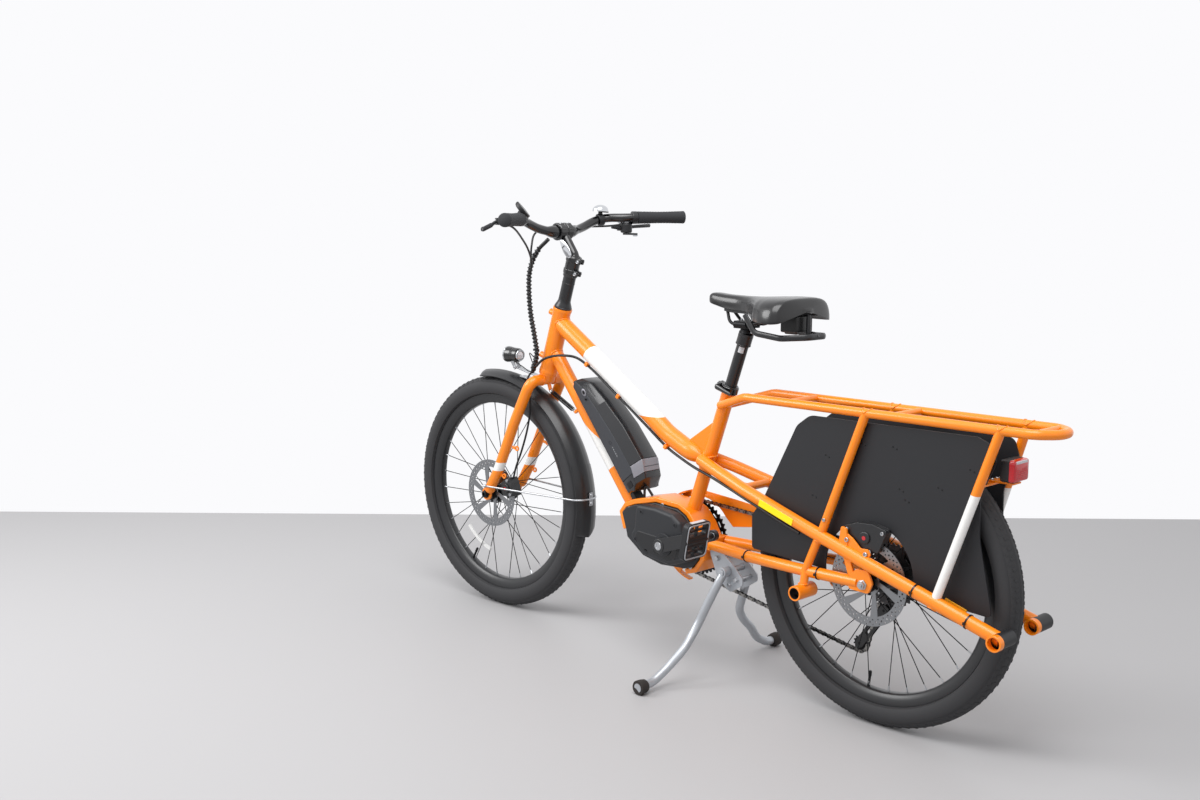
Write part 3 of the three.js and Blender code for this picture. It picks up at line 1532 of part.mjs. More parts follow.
function batteryPack() {
  const side = plate(batteryProfile.map(([s, h]) => onDownTube(s, h)), -batteryHalfWidth, batteryHalfWidth);
  const section = [[-batteryFootHalfWidth, batteryFloor - clearance], [batteryFootHalfWidth, batteryFloor - clearance],
    [batteryHalfWidth, batteryShoulderLow], [batteryHalfWidth, batteryShoulderHigh], [batteryTopHalfWidth, batteryTop],
    [-batteryTopHalfWidth, batteryTop], [-batteryHalfWidth, batteryShoulderHigh],
    [-batteryHalfWidth, batteryShoulderLow]].map(([y, h]) => new THREE.Vector2(y, h));
  const geometry = new THREE.ExtrudeGeometry(new THREE.Shape(section), { depth: railEnd + railStart,
    bevelEnabled: false });
  geometry.applyMatrix4(new THREE.Matrix4().makeBasis(alongY, downUp, downAlong));
  geometry.translate(downTubeTop.x, downTubeTop.y, downTubeTop.z);
  return side.intersect(solid(geometry));
}

// Cranks, pedals, chain and gears

function crankTip(side) {
  const angle = side > 0 ? Math.PI - crankRestAngle : -crankRestAngle;
  return bottomBracket.clone().add(at(crankLength * Math.cos(angle), 0, crankLength * Math.sin(angle)));
}

function crankArm(side) {
  const tip = crankTip(side);
  const along = tip.clone().sub(bottomBracket).normalize();
  const normal = at(along.z, 0, -along.x);
  const corner = (place, width) => place.clone().addScaledVector(normal, width);
  const root = bottomBracket;
  const outline = [corner(root, crankRootRadius), corner(tip, crankTipRadius), corner(tip, -crankTipRadius),
    corner(root, -crankRootRadius)];
  const middle = crankInner + crankFlare;
  const spans = (low, high) => [low * side, high * side].sort((a, b) => a - b);
  const beam = plate(outline, ...spans(middle - crankFlare / 2, middle + crankThickness - crankFlare));
  const boss = disc(crankRootRadius, ...spans(crankInner, middle + crankThickness - crankFlare), tubeSides, root);
  const eye = disc(crankTipRadius, ...spans(middle - crankFlare / 2, middle + crankThickness), tubeSides, tip);
  return joined(beam, boss, eye);
}

function crankLeft() {
  const hole = disc(holeRadius(spindleRadius + clearance, tubeSides), 0, overrun * 4, tubeSides, bottomBracket);
  const axle = disc(holeRadius(pedalAxleRadius + clearance, smallSides), 0, overrun * 4, smallSides, crankTip(1));
  return cut(crankArm(1), hole, axle);
}

function crankRight() {
  const reach = crankInner + crankFlare + crankThickness - crankFlare;
  const spindle = disc(spindleRadius, -crankInner - crankFlare, reach, tubeSides, bottomBracket);
  const low = -chainLine - ringThickness / 2;
  const high = -chainLine + ringThickness / 2;
  let ringBody = disc(ringRadius - chainHalfHeight - clearance, low, high, discSides, bottomBracket);
  for (let i = 0; i < ringHoles; i += 1) {
    const angle = (i + 0.5) * 2 * Math.PI / ringHoles;
    const centre = bottomBracket.clone().add(at(ringHoleCircle * Math.cos(angle), 0, ringHoleCircle
      * Math.sin(angle)));
    ringBody = cut(ringBody, disc(ringHoleRadius, low - overrun, high + overrun, hoseSides, centre));
  }
  const boss = disc(crankRootRadius, -crankInner - crankFlare, high, tubeSides, bottomBracket);
  const axle = disc(holeRadius(pedalAxleRadius + clearance, smallSides), -overrun * 4, 0, smallSides, crankTip(-1));
  return cut(joined(crankArm(-1), spindle, ringBody, boss), axle);
}

function pedal(side) {
  const tip = crankTip(side);
  const spans = (low, high) => [low * side, high * side].sort((a, b) => a - b);
  const [low, high] = spans(pedalInner, pedalOuter);
  const middle = (pedalInner + pedalOuter) / 2 * side;
  const geometry = new THREE.BoxGeometry(pedalHalfLength * 2, pedalOuter - pedalInner, pedalThickness);
  let body = solid(geometry);
  for (const end of [1, -1]) {
    const windowLength = pedalHalfLength - pedalAxleRadius * 2 - pedalThickness / 2;
    const place = at(end * (pedalAxleRadius * 1.4 + windowLength / 2), 0, 0);
    body = cut(body, box(place, windowLength, pedalOuter - pedalInner - pedalWindow, pedalThickness * 2));
  }
  const turn = geometryOf(body);
  turn.rotateY(-pedalTilt);
  turn.translate(tip.x, middle, tip.z);
  const axleStart = crankInner + crankFlare;
  return joined(solid(turn.toNonIndexed()), disc(pedalAxleRadius, ...spans(axleStart, pedalInner + pedalThickness),
    smallSides, tip), disc(pedalAxleRadius * 1.6, low, high, smallSides, tip));
}

// The chain runs over the chainring, the cassette's middle gear and the two pulleys
function chainWraps() {
  return [
    { centre: bottomBracket, radius: ringRadius, turn: 1 },
    { centre: rearAxle, radius: cassetteChainRadius, turn: 1 },
    { centre: at(upperPulleyAhead, 0, upperPulleyHeight), radius: pulleyRadius, turn: -1 },
    { centre: at(lowerPulleyAhead, 0, lowerPulleyHeight), radius: pulleyRadius, turn: 1 },
  ];
}

// Where a straight run leaves one wheel and meets the next, by their turns
function tangentAngles(from, to) {
  const dx = to.centre.x - from.centre.x;
  const dz = to.centre.z - from.centre.z;
  const distance = Math.hypot(dx, dz);
  const heading = Math.atan2(dz, dx);
  const lift = Math.acos((from.radius * from.turn - to.radius * to.turn) / distance);
  const normal = heading - lift;
  return [from.turn > 0 ? normal : normal + Math.PI, to.turn > 0 ? normal : normal + Math.PI];
}

function chain() {
  const wraps = chainWraps();
  const count = wraps.length;
  const joints = wraps.map((from, i) => tangentAngles(from, wraps[(i + 1) % count]));
  const inner = [];
  const outer = [];
  wraps.forEach((wrap, i) => {
    const start = joints[(i + count - 1) % count][1];
    let end = joints[i][0];
    while (wrap.turn > 0 && end < start) {
      end += 2 * Math.PI;
    }
    while (wrap.turn < 0 && end > start) {
      end -= 2 * Math.PI;
    }
    const steps = Math.max(2, Math.round(Math.abs(end - start) / (22 * degree)));
    const near = (wrap.radius - chainHalfHeight) / Math.cos((end - start) / steps / 2);
    const far = wrap.radius + chainHalfHeight;
    inner.push(...arcPoints(wrap.centre, wrap.turn > 0 ? near : far, start, end, steps));
    outer.push(...arcPoints(wrap.centre, wrap.turn > 0 ? far : near, start, end, steps));
  });
  const spans = [-chainLine - chainWidth / 2, -chainLine + chainWidth / 2];
  const tool = [spans[0] - overrun, spans[1] + overrun];
  return cut(plate(outer, ...spans), plate(inner, ...tool));
}

function cassette() {
  const bore = holeRadius(hubShellRadius + clearance, discSides);
  const chainRoom = cassetteChainRadius - chainHalfHeight - clearance;
  const edge = chainLine - chainWidth / 2 - clearance;
  const profile = [[bore, -cassetteSmallY], [cassetteSmallRadius, -cassetteSmallY],
    [cassetteSmallRadius, -chainLine - chainWidth / 2], [chainRoom, -chainLine - chainWidth / 3],
    [chainRoom, -edge], [cassetteBigRadius, -cassetteBigY - ringThickness], [cassetteBigRadius, -cassetteBigY],
    [bore, -cassetteBigY], [bore, -cassetteSmallY]];
  return turned(profile, discSides, rearAxle);
}

function derailleur() {
  const upper = at(upperPulleyAhead, 0, upperPulleyHeight);
  const lower = at(lowerPulleyAhead, 0, lowerPulleyHeight);
  const reach = pulleyRadius - cageMargin;
  const along = lower.clone().sub(upper).normalize();
  const normal = at(along.z, 0, -along.x).multiplyScalar(reach);
  const outline = [upper.clone().add(normal), lower.clone().add(normal),
    lower.clone().add(normal.clone().multiplyScalar(0.4)).addScaledVector(along, reach),
    lower.clone().sub(normal.clone().multiplyScalar(0.4)).addScaledVector(along, reach),
    lower.clone().sub(normal), upper.clone().sub(normal)];
  const gap = chainWidth / 2 + clearance * 2;
  const bodies = [1, -1].map((side) => {
    const near = -chainLine + side * gap;
    return plate(outline, near, near + side * cagePlate);
  });
  for (const centre of [upper, lower]) {
    bodies.push(disc(pulleyBoltRadius, -chainLine - gap - cagePlate, -chainLine + gap + cagePlate, hoseSides,
      centre));
    bodies.push(disc(pulleyRadius - chainHalfHeight - clearance * 2, -chainLine - chainWidth / 4, -chainLine
      + chainWidth / 4, hoseSides, centre));
  }
  const hangerPlace = rearAxle.clone().add(at(hangerWidth * 0.4, 0, -hangerDrop));
  const inner = -rearDropoutInner + clearance;
  const face = -chainLine - gap - cagePlate;
  bodies.push(disc(derailleurKnuckle, inner - clearance - rearDropoutThickness * 1.6, inner, hoseSides,
    hangerPlace.clone().add(at(0, 0, -derailleurKnuckle - clearance * 2))));
  bodies.push(disc(derailleurKnuckle, inner - rearDropoutThickness, face + clearance, hoseSides, upper));
  const low = hangerPlace.clone().add(at(0, inner - rearDropoutThickness / 2, -derailleurKnuckle));
  bodies.push(bar(low, at(upper.x, inner - rearDropoutThickness / 2, upper.z), derailleurKnuckle,
    derailleurKnuckle * 1.6));
  return largestPiece(joined(...bodies));
}

// Stand

const standPivot = at(standPivotAhead, 0, standPivotHeight);

function standPlate() {
  const outline = standPlatePoints.map(([x, z]) => standPivot.clone().add(at(x, 0, z)));
  const body = plate(outline, -standPlateWidth / 2, standPlateWidth / 2);
  const hole = disc(holeRadius(standPinRadius + clearance, mainSides), -standPivotHalf * 2, standPivotHalf * 2,
    mainSides, standPivot);
  return largestPiece(cut(body, hole, shell(clearance), yokeTool(), chainstayTool(1), chainstayTool(-1)));
}

function standLegs() {
  const bodies = [disc(standPinRadius, -standPivotHalf - standLegRadius, standPivotHalf + standLegRadius, smallSides,
    standPivot)];
  for (const side of [1, -1]) {
    const points = standPoints.map(([x, y, z]) => standPivot.clone().add(at(x, y * side, z)));
    const knee = at(standPivot.x, standPivotHalf * side, standPivot.z);
    bodies.push(pipe([knee, ...points], standLegRadius, 0, hoseSides, 0));
    const tip = points[points.length - 1];
    const out = tip.clone().sub(points[points.length - 2]).normalize();
    const foot = tip.clone();
    foot.z = footRadius * footSinkShare;
    out.z = 0;
    bodies.push(rod(foot.clone().addScaledVector(out, -footLength / 2), foot.clone().addScaledVector(out,
      footLength / 2), footRadius, smallSides));
  }
  const floor = box(at(standPivot.x, 0, -overrun / 2), standPivot.x, standPivot.x * 2, overrun);
  return cut(joined(...bodies), floor);
}

// Seat

function seatClamp() {
  const place = onSeat(seatTubeLength - collarHeight);
  const collar = ring(collarRadius, seatTubeRadius + clearance, 0, collarHeight + clearance, tubeSides, place, seatUp);
  const front = at(seatUp.z, 0, -seatUp.x);
  const middle = place.clone().addScaledVector(seatUp, collarHeight / 2);
  const ear = bar(middle.clone().addScaledVector(front, seatTubeRadius + clearance * 4),
    middle.clone().addScaledVector(front, collarEarReach), collarEarWidth, collarHeight);
  const slot = bar(middle.clone().addScaledVector(front, seatTubeRadius), middle.clone().addScaledVector(front,
    collarEarReach + overrun), collarSlot, collarHeight * 3);
  return cut(joined(collar, ear), slot);
}

function clampPivot() {
  const front = at(seatUp.z, 0, -seatUp.x);
  return onSeat(seatTubeLength - collarHeight / 2).addScaledVector(front, (collarEarReach + seatTubeRadius) / 2);
}

function clampLever() {
  const pivot = clampPivot().add(at(0, collarEarWidth / 2 + clearance + collarLeverThickness, 0));
  const boss = disc(collarLeverThickness, -collarHeight / 2, collarHeight / 2, smallSides, pivot, seatUp);
  const back = at(-seatUp.z, 0, seatUp.x);
  const root = pivot.clone();
  root.y = collarRadius + clearance + collarLeverThickness;
  const corner = root.clone().addScaledVector(back, collarHeight / 2);
  const blade = joined(bar(pivot, corner, collarLeverThickness, collarLeverWidth),
    bar(corner, corner.clone().addScaledVector(back, collarLeverLength), collarLeverThickness, collarLeverWidth));
  return largestPiece(cut(joined(boss, blade), disc(collarRadius + clearance, -overrun, overrun, tubeSides,
    onSeat(seatTubeLength), seatUp), rackRail(1, clearance)));
}

function seatpost() {
  const low = seatTubeLength - postInsert;
  const shaft = disc(postRadius, low, postTop, mainSides, bottomBracket, seatUp);
  const head = disc(postHeadRadius, postTop - postHeadHeight, postTop, mainSides, bottomBracket, seatUp);
  return joined(shaft, head);
}

function saddleSections() {
  return saddlePadShares.map(([along, wide, high]) => ({
    x: THREE.MathUtils.lerp(saddleNose, saddleRear, along),
    half: saddleHalfWidth * wide,
    top: THREE.MathUtils.lerp(saddleFoot, saddleTop, high),
  }));
}

// The pad is lofted through sections: a crowned top, round shoulders and a flat foot
function saddlePad() {
  const sections = saddleSections();
  const points = [];
  const faces = [];
  for (const { x, half, top } of sections) {
    for (let i = 0; i < saddleSectionSides; i += 1) {
      const angle = (i + 0.5) * 2 * Math.PI / saddleSectionSides;
      const across = Math.sign(Math.cos(angle)) * Math.abs(Math.cos(angle)) ** 0.7;
      const lift = Math.sin(angle);
      const wing = half > saddleHalfWidth / 2 ? Math.abs(across) ** 6 * saddleWingDrop * half / saddleHalfWidth : 0;
      const z = lift > 0 ? saddleFoot + (top - saddleFoot) * lift ** 0.6 : saddleFoot - wing;
      points.push(x, half * across, Math.max(z - (lift > 0 ? wing * (1 - lift) : 0), saddleFoot - saddleWingDrop));
    }
  }
  const n = saddleSectionSides;
  for (let s = 0; s < sections.length - 1; s += 1) {
    for (let i = 0; i < n; i += 1) {
      const a = s * n + i;
      const b = s * n + (i + 1) % n;
      faces.push(a, b, a + n, b, b + n, a + n);
    }
  }
  for (const end of [0, sections.length - 1]) {
    const { x, top } = sections[end];
    const centre = points.length / 3;
    const inward = end === 0 ? sections[1].x : sections[sections.length - 2].x;
    points.push(x + (x - inward) * 0.2, 0, (top + saddleFoot) / 2);
    for (let i = 0; i < n; i += 1) {
      const a = end * n + i;
      const b = end * n + (i + 1) % n;
      faces.push(...(end === 0 ? [b, a, centre] : [a, b, centre]));
    }
  }
  const geometry = new THREE.BufferGeometry();
  geometry.setAttribute('position', new THREE.BufferAttribute(new Float32Array(points), 3));
  geometry.setIndex(faces);
  return cut(solid(geometry.toNonIndexed()), saddleBaseTool());
}

function saddleOutline(inset) {
  const sections = saddleSections().slice(1, -1);
  const left = sections.map(({ x, half }) => new THREE.Vector2(x, Math.max(half - inset, inset / 2)));
  const right = sections.map(({ x, half }) => new THREE.Vector2(x, -Math.max(half - inset, inset / 2))).reverse();
  return [...left, ...right];
}

function saddleSlab(inset, low, high) {
  const geometry = new THREE.ExtrudeGeometry(new THREE.Shape(saddleOutline(inset)), { depth: high - low,
    bevelEnabled: false, steps: 1, curveSegments: 1 });
  geometry.translate(0, 0, low);
  return solid(geometry);
}

function saddleBaseTool() {
  const inset = grabRadius * 2;
  return saddleSlab(inset - clearance, saddleFoot - saddleWingDrop * 2, saddleFoot + clearance);
}

function saddleBase() {
  const slab = saddleSlab(grabRadius * 2, saddleFoot - saddleBaseThickness, saddleFoot);
  const head = onSeat(postTop);
  const railZ = saddleFoot - saddleBaseThickness - saddleRailDrop;
  const bodies = [slab];
  for (const side of [1, -1]) {
    const spread = saddleRailSpread * side;
    const front = THREE.MathUtils.lerp(saddleNose, saddleRear, saddlePadShares[3][0]);
    const back = THREE.MathUtils.lerp(saddleNose, saddleRear, saddlePadShares[8][0]);
    bodies.push(pipe([at(front, spread / 2, saddleFoot - saddleBaseThickness * 0.7), at(head.x + saddleRailDrop * 2, spread, railZ),
      at(head.x - saddleRailDrop * 2, spread, railZ), at(back, spread, saddleFoot - saddleBaseThickness * 0.7)],
    saddleRailRadius, saddleRailDrop, 6, 1));
  }
  const clampTop = railZ + saddleRailRadius * 2;
  const clampLow = head.z + clearance;
  bodies.push(box(at(head.x, 0, (clampTop + railZ) / 2), postHeadRadius * 2.4, (saddleRailSpread
    + saddleRailRadius * 2) * 2, clampTop - railZ + saddleRailRadius * 2));
  bodies.push(disc(postHeadRadius, clearance, railZ - clampLow + saddleRailRadius, tubeSides, head, at(0, 0, 1)));
  const grabLow = saddleFoot - grabDrop;
  const grabPoints = (side) => [at(grabFront, grabSpread * side, saddleFoot - saddleBaseThickness * 0.7),
    at(grabFront - grabRadius * 4, grabSpread * side, grabLow + grabRadius),
    at(grabRear + grabDrop, grabSpread * side, grabLow),
    at(grabRear, grabSpread / 2 * side, grabLow + grabRadius / 2), at(grabRear, 0, grabLow + grabRadius / 2)];
  bodies.push(pipe([...grabPoints(1), ...grabPoints(-1).reverse().slice(1)], grabRadius, grabDrop / 2, 8, 1));
  bodies.push(disc(elastomerRadius, railZ - elastomerRadius, saddleFoot - clearance * 2, smallSides,
    at(grabRear + grabDrop, 0, 0), at(0, 0, 1)));
  return largestPiece(cut(joined(...bodies), postTool()));
}

function postTool() {
  return disc(postHeadRadius + clearance, postTop - postHeadHeight - overrun, postTop + clearance, mainSides,
    bottomBracket, seatUp);
}

function rearCables() {
  return hose(rearCableRoute, rearCableRadius, 25);
}

// Materials

function finish(colour, roughness, metalness) {
  return () => new THREE.MeshStandardMaterial({ color: colour, roughness, metalness });
}

const orangePaint = finish(0xf07c1a, 0.3, 0);
const blackPaint = finish(0x1a1a1c, 0.4, 0.1);
const blackPlastic = finish(0x161617, 0.6, 0);
const blackRubber = finish(0x1c1c1d, 0.85, 0);
const greyPlastic = finish(0x2a2b2e, 0.5, 0);
const brightSteel = finish(0xb9bcc0, 0.35, 1);
const darkSteel = finish(0x4a4a4d, 0.45, 1);
const silver = finish(0xc9ccd0, 0.4, 1);
const redLens = finish(0xb01018, 0.2, 0);
const vinyl = finish(0x101011, 0.35, 0);

// Scene graph

const bike = new THREE.Group();
const steeringTurn = new THREE.Group();
const steering = new THREE.Group();
steeringTurn.position.copy(headFoot);
steeringTurn.quaternion.setFromAxisAngle(headUp, restSteer);
steering.position.copy(headFoot).negate();
steeringTurn.add(steering);
bike.add(steeringTurn);
const frontWheelGroup = new THREE.Group();
frontWheelGroup.position.copy(frontAxle);
steering.add(frontWheelGroup);
const rearWheelGroup = new THREE.Group();
rearWheelGroup.position.copy(rearAxle);
bike.add(rearWheelGroup);

function addNode(group, name, body, material) {
  const mesh = new THREE.Mesh(geometryOf(body), material());
  mesh.name = name;
  group.add(mesh);
}

const frontHubHalf = frontDropoutInner - clearance;
const rearHubHalf = rearDropoutInner - clearance;

addNode(bike, 'head_tube', headTube(), orangePaint);
addNode(bike, 'top_tube', trimmedTopTube(), orangePaint);
addNode(bike, 'down_tube', trimmedDownTube(), orangePaint);
addNode(bike, 'seat_tube', seatTube(), orangePaint);
addNode(bike, 'motor_bracket', motorBracket(), orangePaint);
addNode(bike, 'chain_guard', chainGuard(), orangePaint);
for (const [side, word] of [[1, 'left'], [-1, 'right']]) {
  addNode(bike, `side_rail_${word}`, sideRail(side), orangePaint);
  addNode(bike, `chainstay_${word}`, chainstay(side), orangePaint);
  addNode(bike, `upright_front_${word}`, uprightFront(side), orangePaint);
  addNode(bike, `upright_rear_${word}`, uprightRear(side), orangePaint);
  addNode(bike, `side_panel_${word}`, sidePanel(side), blackPlastic);
  addNode(bike, `pedal_${word}`, pedal(side), blackPlastic);
}
addNode(bike, 'rack', rack(), orangePaint);
addNode(bike, 'tail_light', tailLight(), redLens);
addNode(bike, 'battery_mount', batteryMount(), blackPlastic);
addNode(bike, 'battery_pack', batteryPack(), greyPlastic);
addNode(bike, 'drive_unit', driveUnit(), greyPlastic);
addNode(bike, 'rear_caliper', rearCalliper(), blackPaint);
addNode(bike, 'stand_plate', standPlate(), silver);
addNode(bike, 'stand_legs', standLegs(), silver);
addNode(bike, 'derailleur', derailleur(), blackPaint);
addNode(bike, 'chain', chain(), darkSteel);
addNode(bike, 'cassette', cassette(), brightSteel);
addNode(bike, 'crank_left', crankLeft(), blackPaint);
addNode(bike, 'crank_right', crankRight(), blackPaint);
addNode(bike, 'seat_clamp', seatClamp(), blackPaint);
addNode(bike, 'clamp_lever', clampLever(), blackPaint);
addNode(bike, 'seatpost', seatpost(), blackPaint);
addNode(bike, 'saddle_base', saddleBase(), blackPlastic);
addNode(bike, 'saddle_pad', saddlePad(), vinyl);
addNode(bike, 'rear_cables', rearCables(), blackRubber);
addNode(bike, 'steering_spring', steeringSpring(), darkSteel);
addNode(rearWheelGroup, 'rear_tyre', tyre(), blackRubber);
addNode(rearWheelGroup, 'rear_wheel', wheel(rearHubHalf, rearFlangeLeft, rearFlangeRight, cassetteSmallY, rearRotorY),
  blackPaint);
addNode(rearWheelGroup, 'rear_rotor', rotor(rearRotorY), brightSteel);
addNode(frontWheelGroup, 'front_tyre', tyre(), blackRubber);
addNode(frontWheelGroup, 'front_wheel', wheel(frontHubHalf, frontFlangeLeft, frontFlangeRight, frontFlangeRight
  + hubFlangeWidth, frontRotorY), blackPaint);
addNode(frontWheelGroup, 'front_rotor', rotor(frontRotorY), brightSteel);
addNode(steering, 'fork', fork(), orangePaint);
addNode(steering, 'front_axle', frontAxleBody(), brightSteel);
addNode(steering, 'front_fender', fender(), blackPlastic);
addNode(steering, 'front_caliper', frontCalliper(), blackPaint);
addNode(steering, 'headlight', headlight(), blackPlastic);
addNode(steering, 'stem', stem(), blackPaint);
addNode(steering, 'handlebar', handlebar(), blackPaint);
for (const [side, word] of [[1, 'left'], [-1, 'right']]) {
  addNode(steering, `grip_${word}`, grip(side), blackRubber);
  addNode(steering, `brake_lever_${word}`, brakeLever(side), blackPaint);
}
addNode(steering, 'controls_left', controlsLeft(), blackPlastic);
addNode(steering, 'controls_right', controlsRight(), blackPlastic);
addNode(steering, 'shift_lever', shiftLever(), blackPlastic);
addNode(steering, 'bell', bell(), silver);
addNode(steering, 'harness', harness(), blackRubber);

// The bike's middle lies over the origin
const rearReach = rackEndBehind + rackRadius;
bike.position.x = -(wheelBase + tyreRadius - rearReach) / 2;

const model = new THREE.Group();
model.add(bike);

export default model;
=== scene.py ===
"""The looks of a longtail electric cargo bike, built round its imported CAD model.

Places are in millimetres from the ground point under the rear axle, with +X forward and +Y to
the bike's left, as in the CAD source. put_down() turns them to the row frame's metres.
"""

import math

import bmesh
import bpy
from mathutils import Matrix, Vector


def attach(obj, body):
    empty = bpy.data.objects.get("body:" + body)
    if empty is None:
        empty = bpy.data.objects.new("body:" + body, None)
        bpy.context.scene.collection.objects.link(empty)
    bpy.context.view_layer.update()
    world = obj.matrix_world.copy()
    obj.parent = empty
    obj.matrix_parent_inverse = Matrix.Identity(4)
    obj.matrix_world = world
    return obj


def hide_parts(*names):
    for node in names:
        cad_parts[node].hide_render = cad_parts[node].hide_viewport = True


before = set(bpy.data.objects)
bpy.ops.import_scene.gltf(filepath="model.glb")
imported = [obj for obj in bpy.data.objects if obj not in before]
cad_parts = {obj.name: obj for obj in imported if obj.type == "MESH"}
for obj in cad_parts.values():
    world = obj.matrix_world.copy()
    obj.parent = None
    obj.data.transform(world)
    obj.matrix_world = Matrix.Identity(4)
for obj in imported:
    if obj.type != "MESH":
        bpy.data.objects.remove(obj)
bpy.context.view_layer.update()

# Places shared with the CAD source

MM = 0.001
ROW_SHIFT = -564.75
WHEEL_BASE = 1205
TYRE_RADIUS = 312
TYRE_WIDTH = 58
HEAD_ANGLE = math.radians(72.2)
SEAT_ANGLE = math.radians(71)
REST_STEER = math.radians(2.3)
LEFT, RIGHT = 1, -1
SIDES = ((LEFT, "left"), (RIGHT, "right"))

ACROSS = Vector((0, 1, 0))
UP = Vector((0, 0, 1))
REAR_AXLE = Vector((0, 0, TYRE_RADIUS))
FRONT_AXLE = Vector((WHEEL_BASE, 0, TYRE_RADIUS))
HEAD_UP = Vector((-math.cos(HEAD_ANGLE), 0, math.sin(HEAD_ANGLE)))
HEAD_BACK = Vector((-math.sin(HEAD_ANGLE), 0, -math.cos(HEAD_ANGLE)))
HEAD_FOOT = FRONT_AXLE + HEAD_BACK * 70.3
HEAD_TUBE_FOOT = 378
HEAD_TUBE_LENGTH = 176
SEAT_UP = Vector((-math.cos(SEAT_ANGLE), 0, math.sin(SEAT_ANGLE)))
SEAT_AHEAD = Vector((math.sin(SEAT_ANGLE), 0, math.cos(SEAT_ANGLE)))
BRACKET = Vector((546, 0, 295))
STAND_PIVOT = Vector((392, 0, 254))
RACK_HEIGHT = 660
RACK_SPREAD = 52
RAIL_SPREAD = 73
RAIL_TAIL = -310
SOCKET_AHEAD = 148
SOCKET_HEIGHT = 268
FORK_SPREAD = 58
CHAIN_LINE = -47.5
UPPER_PULLEY = Vector((22, 0, 228))
LOWER_PULLEY = Vector((80, 0, 143))

TO_ROW = Matrix.Scale(MM, 4) @ Matrix.Translation((ROW_SHIFT, 0, 0))
STEERED = (
    Matrix.Translation(HEAD_FOOT)
    @ Matrix.Rotation(REST_STEER, 4, HEAD_UP)
    @ Matrix.Translation(-HEAD_FOOT)
)
STEERED_BODIES = (
    "steering", "front_wheel_set", "left_brake_lever", "right_brake_lever", "shifter",
)


def place_of(body):
    """From the bike's millimetres to the row frame, for the pieces of a body."""
    return TO_ROW @ STEERED if body in STEERED_BODIES else TO_ROW


def at(x, y, z):
    return Vector((x, y, z))


def on_head(height):
    return HEAD_FOOT + HEAD_UP * height


def on_seat(height):
    return BRACKET + SEAT_UP * height


SEAT_JOINT = on_seat(214)
SEAT_LEVER_PIVOT = on_seat(391) + SEAT_AHEAD * 23.5
CROWN = on_head(HEAD_TUBE_FOOT - 20)
HEAD_TOP = HEAD_TUBE_FOOT + HEAD_TUBE_LENGTH
DOWN_TOP = on_head(HEAD_TUBE_FOOT + 64)
DOWN_FOOT = BRACKET + at(165, 0, 55)
DOWN_ALONG = (DOWN_FOOT - DOWN_TOP).normalized()
DOWN_UP = Vector((DOWN_ALONG.z, 0, -DOWN_ALONG.x))
STEM_KNEE = on_head(HEAD_TOP + 139)
BAR_CENTRE = STEM_KNEE + at(42, 0, 59)
STEM_AHEAD = (BAR_CENTRE - STEM_KNEE).normalized()


def on_down(along, lift, across=0):
    return DOWN_TOP + DOWN_ALONG * along + DOWN_UP * lift + ACROSS * across


def mix(a, b, share):
    return a + (b - a) * share


def between(start, end, shares):
    """Points from start to end by shares along x, y and z, where two shares stand for x and z."""
    return [
        at(mix(start.x, end.x, s[0]), mix(start.y, end.y, s[1]), mix(start.z, end.z, s[-1]))
        for s in shares
    ]


# Finishes


def linear(hex_colour):
    """An sRGB hex colour as Blender's linear RGBA."""
    parts = [int(hex_colour[i : i + 2], 16) / 255 for i in (1, 3, 5)]
    return [
        *(p / 12.92 if p <= 0.04045 else ((p + 0.055) / 1.055) ** 2.4 for p in parts),
        1,
    ]


def add_node(tree, kind, inputs=None, **settings):
    """A node with its settings; an input is a value, or another node's output to link."""
    made = tree.nodes.new(kind)
    for name, value in settings.items():
        setattr(made, name, value)
    for name, value in (inputs or {}).items():
        if isinstance(value, bpy.types.NodeSocket):
            tree.links.new(value, made.inputs[name])
        else:
            made.inputs[name].default_value = value
    return made


ORANGE = "#FF8B0C"
WHITE = "#F3F2EF"


def finish(name, slot, tint, roughness, **more):
    """A material with one Principled shader. Its slot argument, the record's slot that it stands for, is not
    used.
    """
    made = bpy.data.materials.new(name)
    made.use_nodes = True
    shader = made.node_tree.nodes["Principled BSDF"]
    shader.inputs["Base Color"].default_value = linear(tint)
    shader.inputs["Roughness"].default_value = roughness
    for socket, value in more.items():
        shader.inputs[socket.replace("_", " ").title()].default_value = value
    return made


def shader_of(material):
    return material.node_tree.nodes["Principled BSDF"]


def grain(material, size_mm, depth_mm, strength=0.5, kind="noise"):
    """Bumps of a size in millimetres, all over a surface."""
    tree = material.node_tree
    scale = 1 / (size_mm * MM)
    places = add_node(tree, "ShaderNodeTexCoord").outputs["Object"]
    if kind == "noise":
        height = add_node(
            tree, "ShaderNodeTexNoise", {"Vector": places, "Scale": scale, "Detail": 2.0}
        ).outputs["Fac"]
    else:
        height = add_node(
            tree, "ShaderNodeTexVoronoi", {"Vector": places, "Scale": scale}
        ).outputs["Distance"]
    bump = add_node(
        tree,
        "ShaderNodeBump",
        {"Height": height, "Distance": depth_mm * MM, "Strength": strength},
    )
    tree.links.new(bump.outputs["Normal"], shader_of(material).inputs["Normal"])
    return material


def orange_coat(name):
    return finish(name, "frame_paint", ORANGE, 0.3, coat_weight=0.2, coat_roughness=0.12)


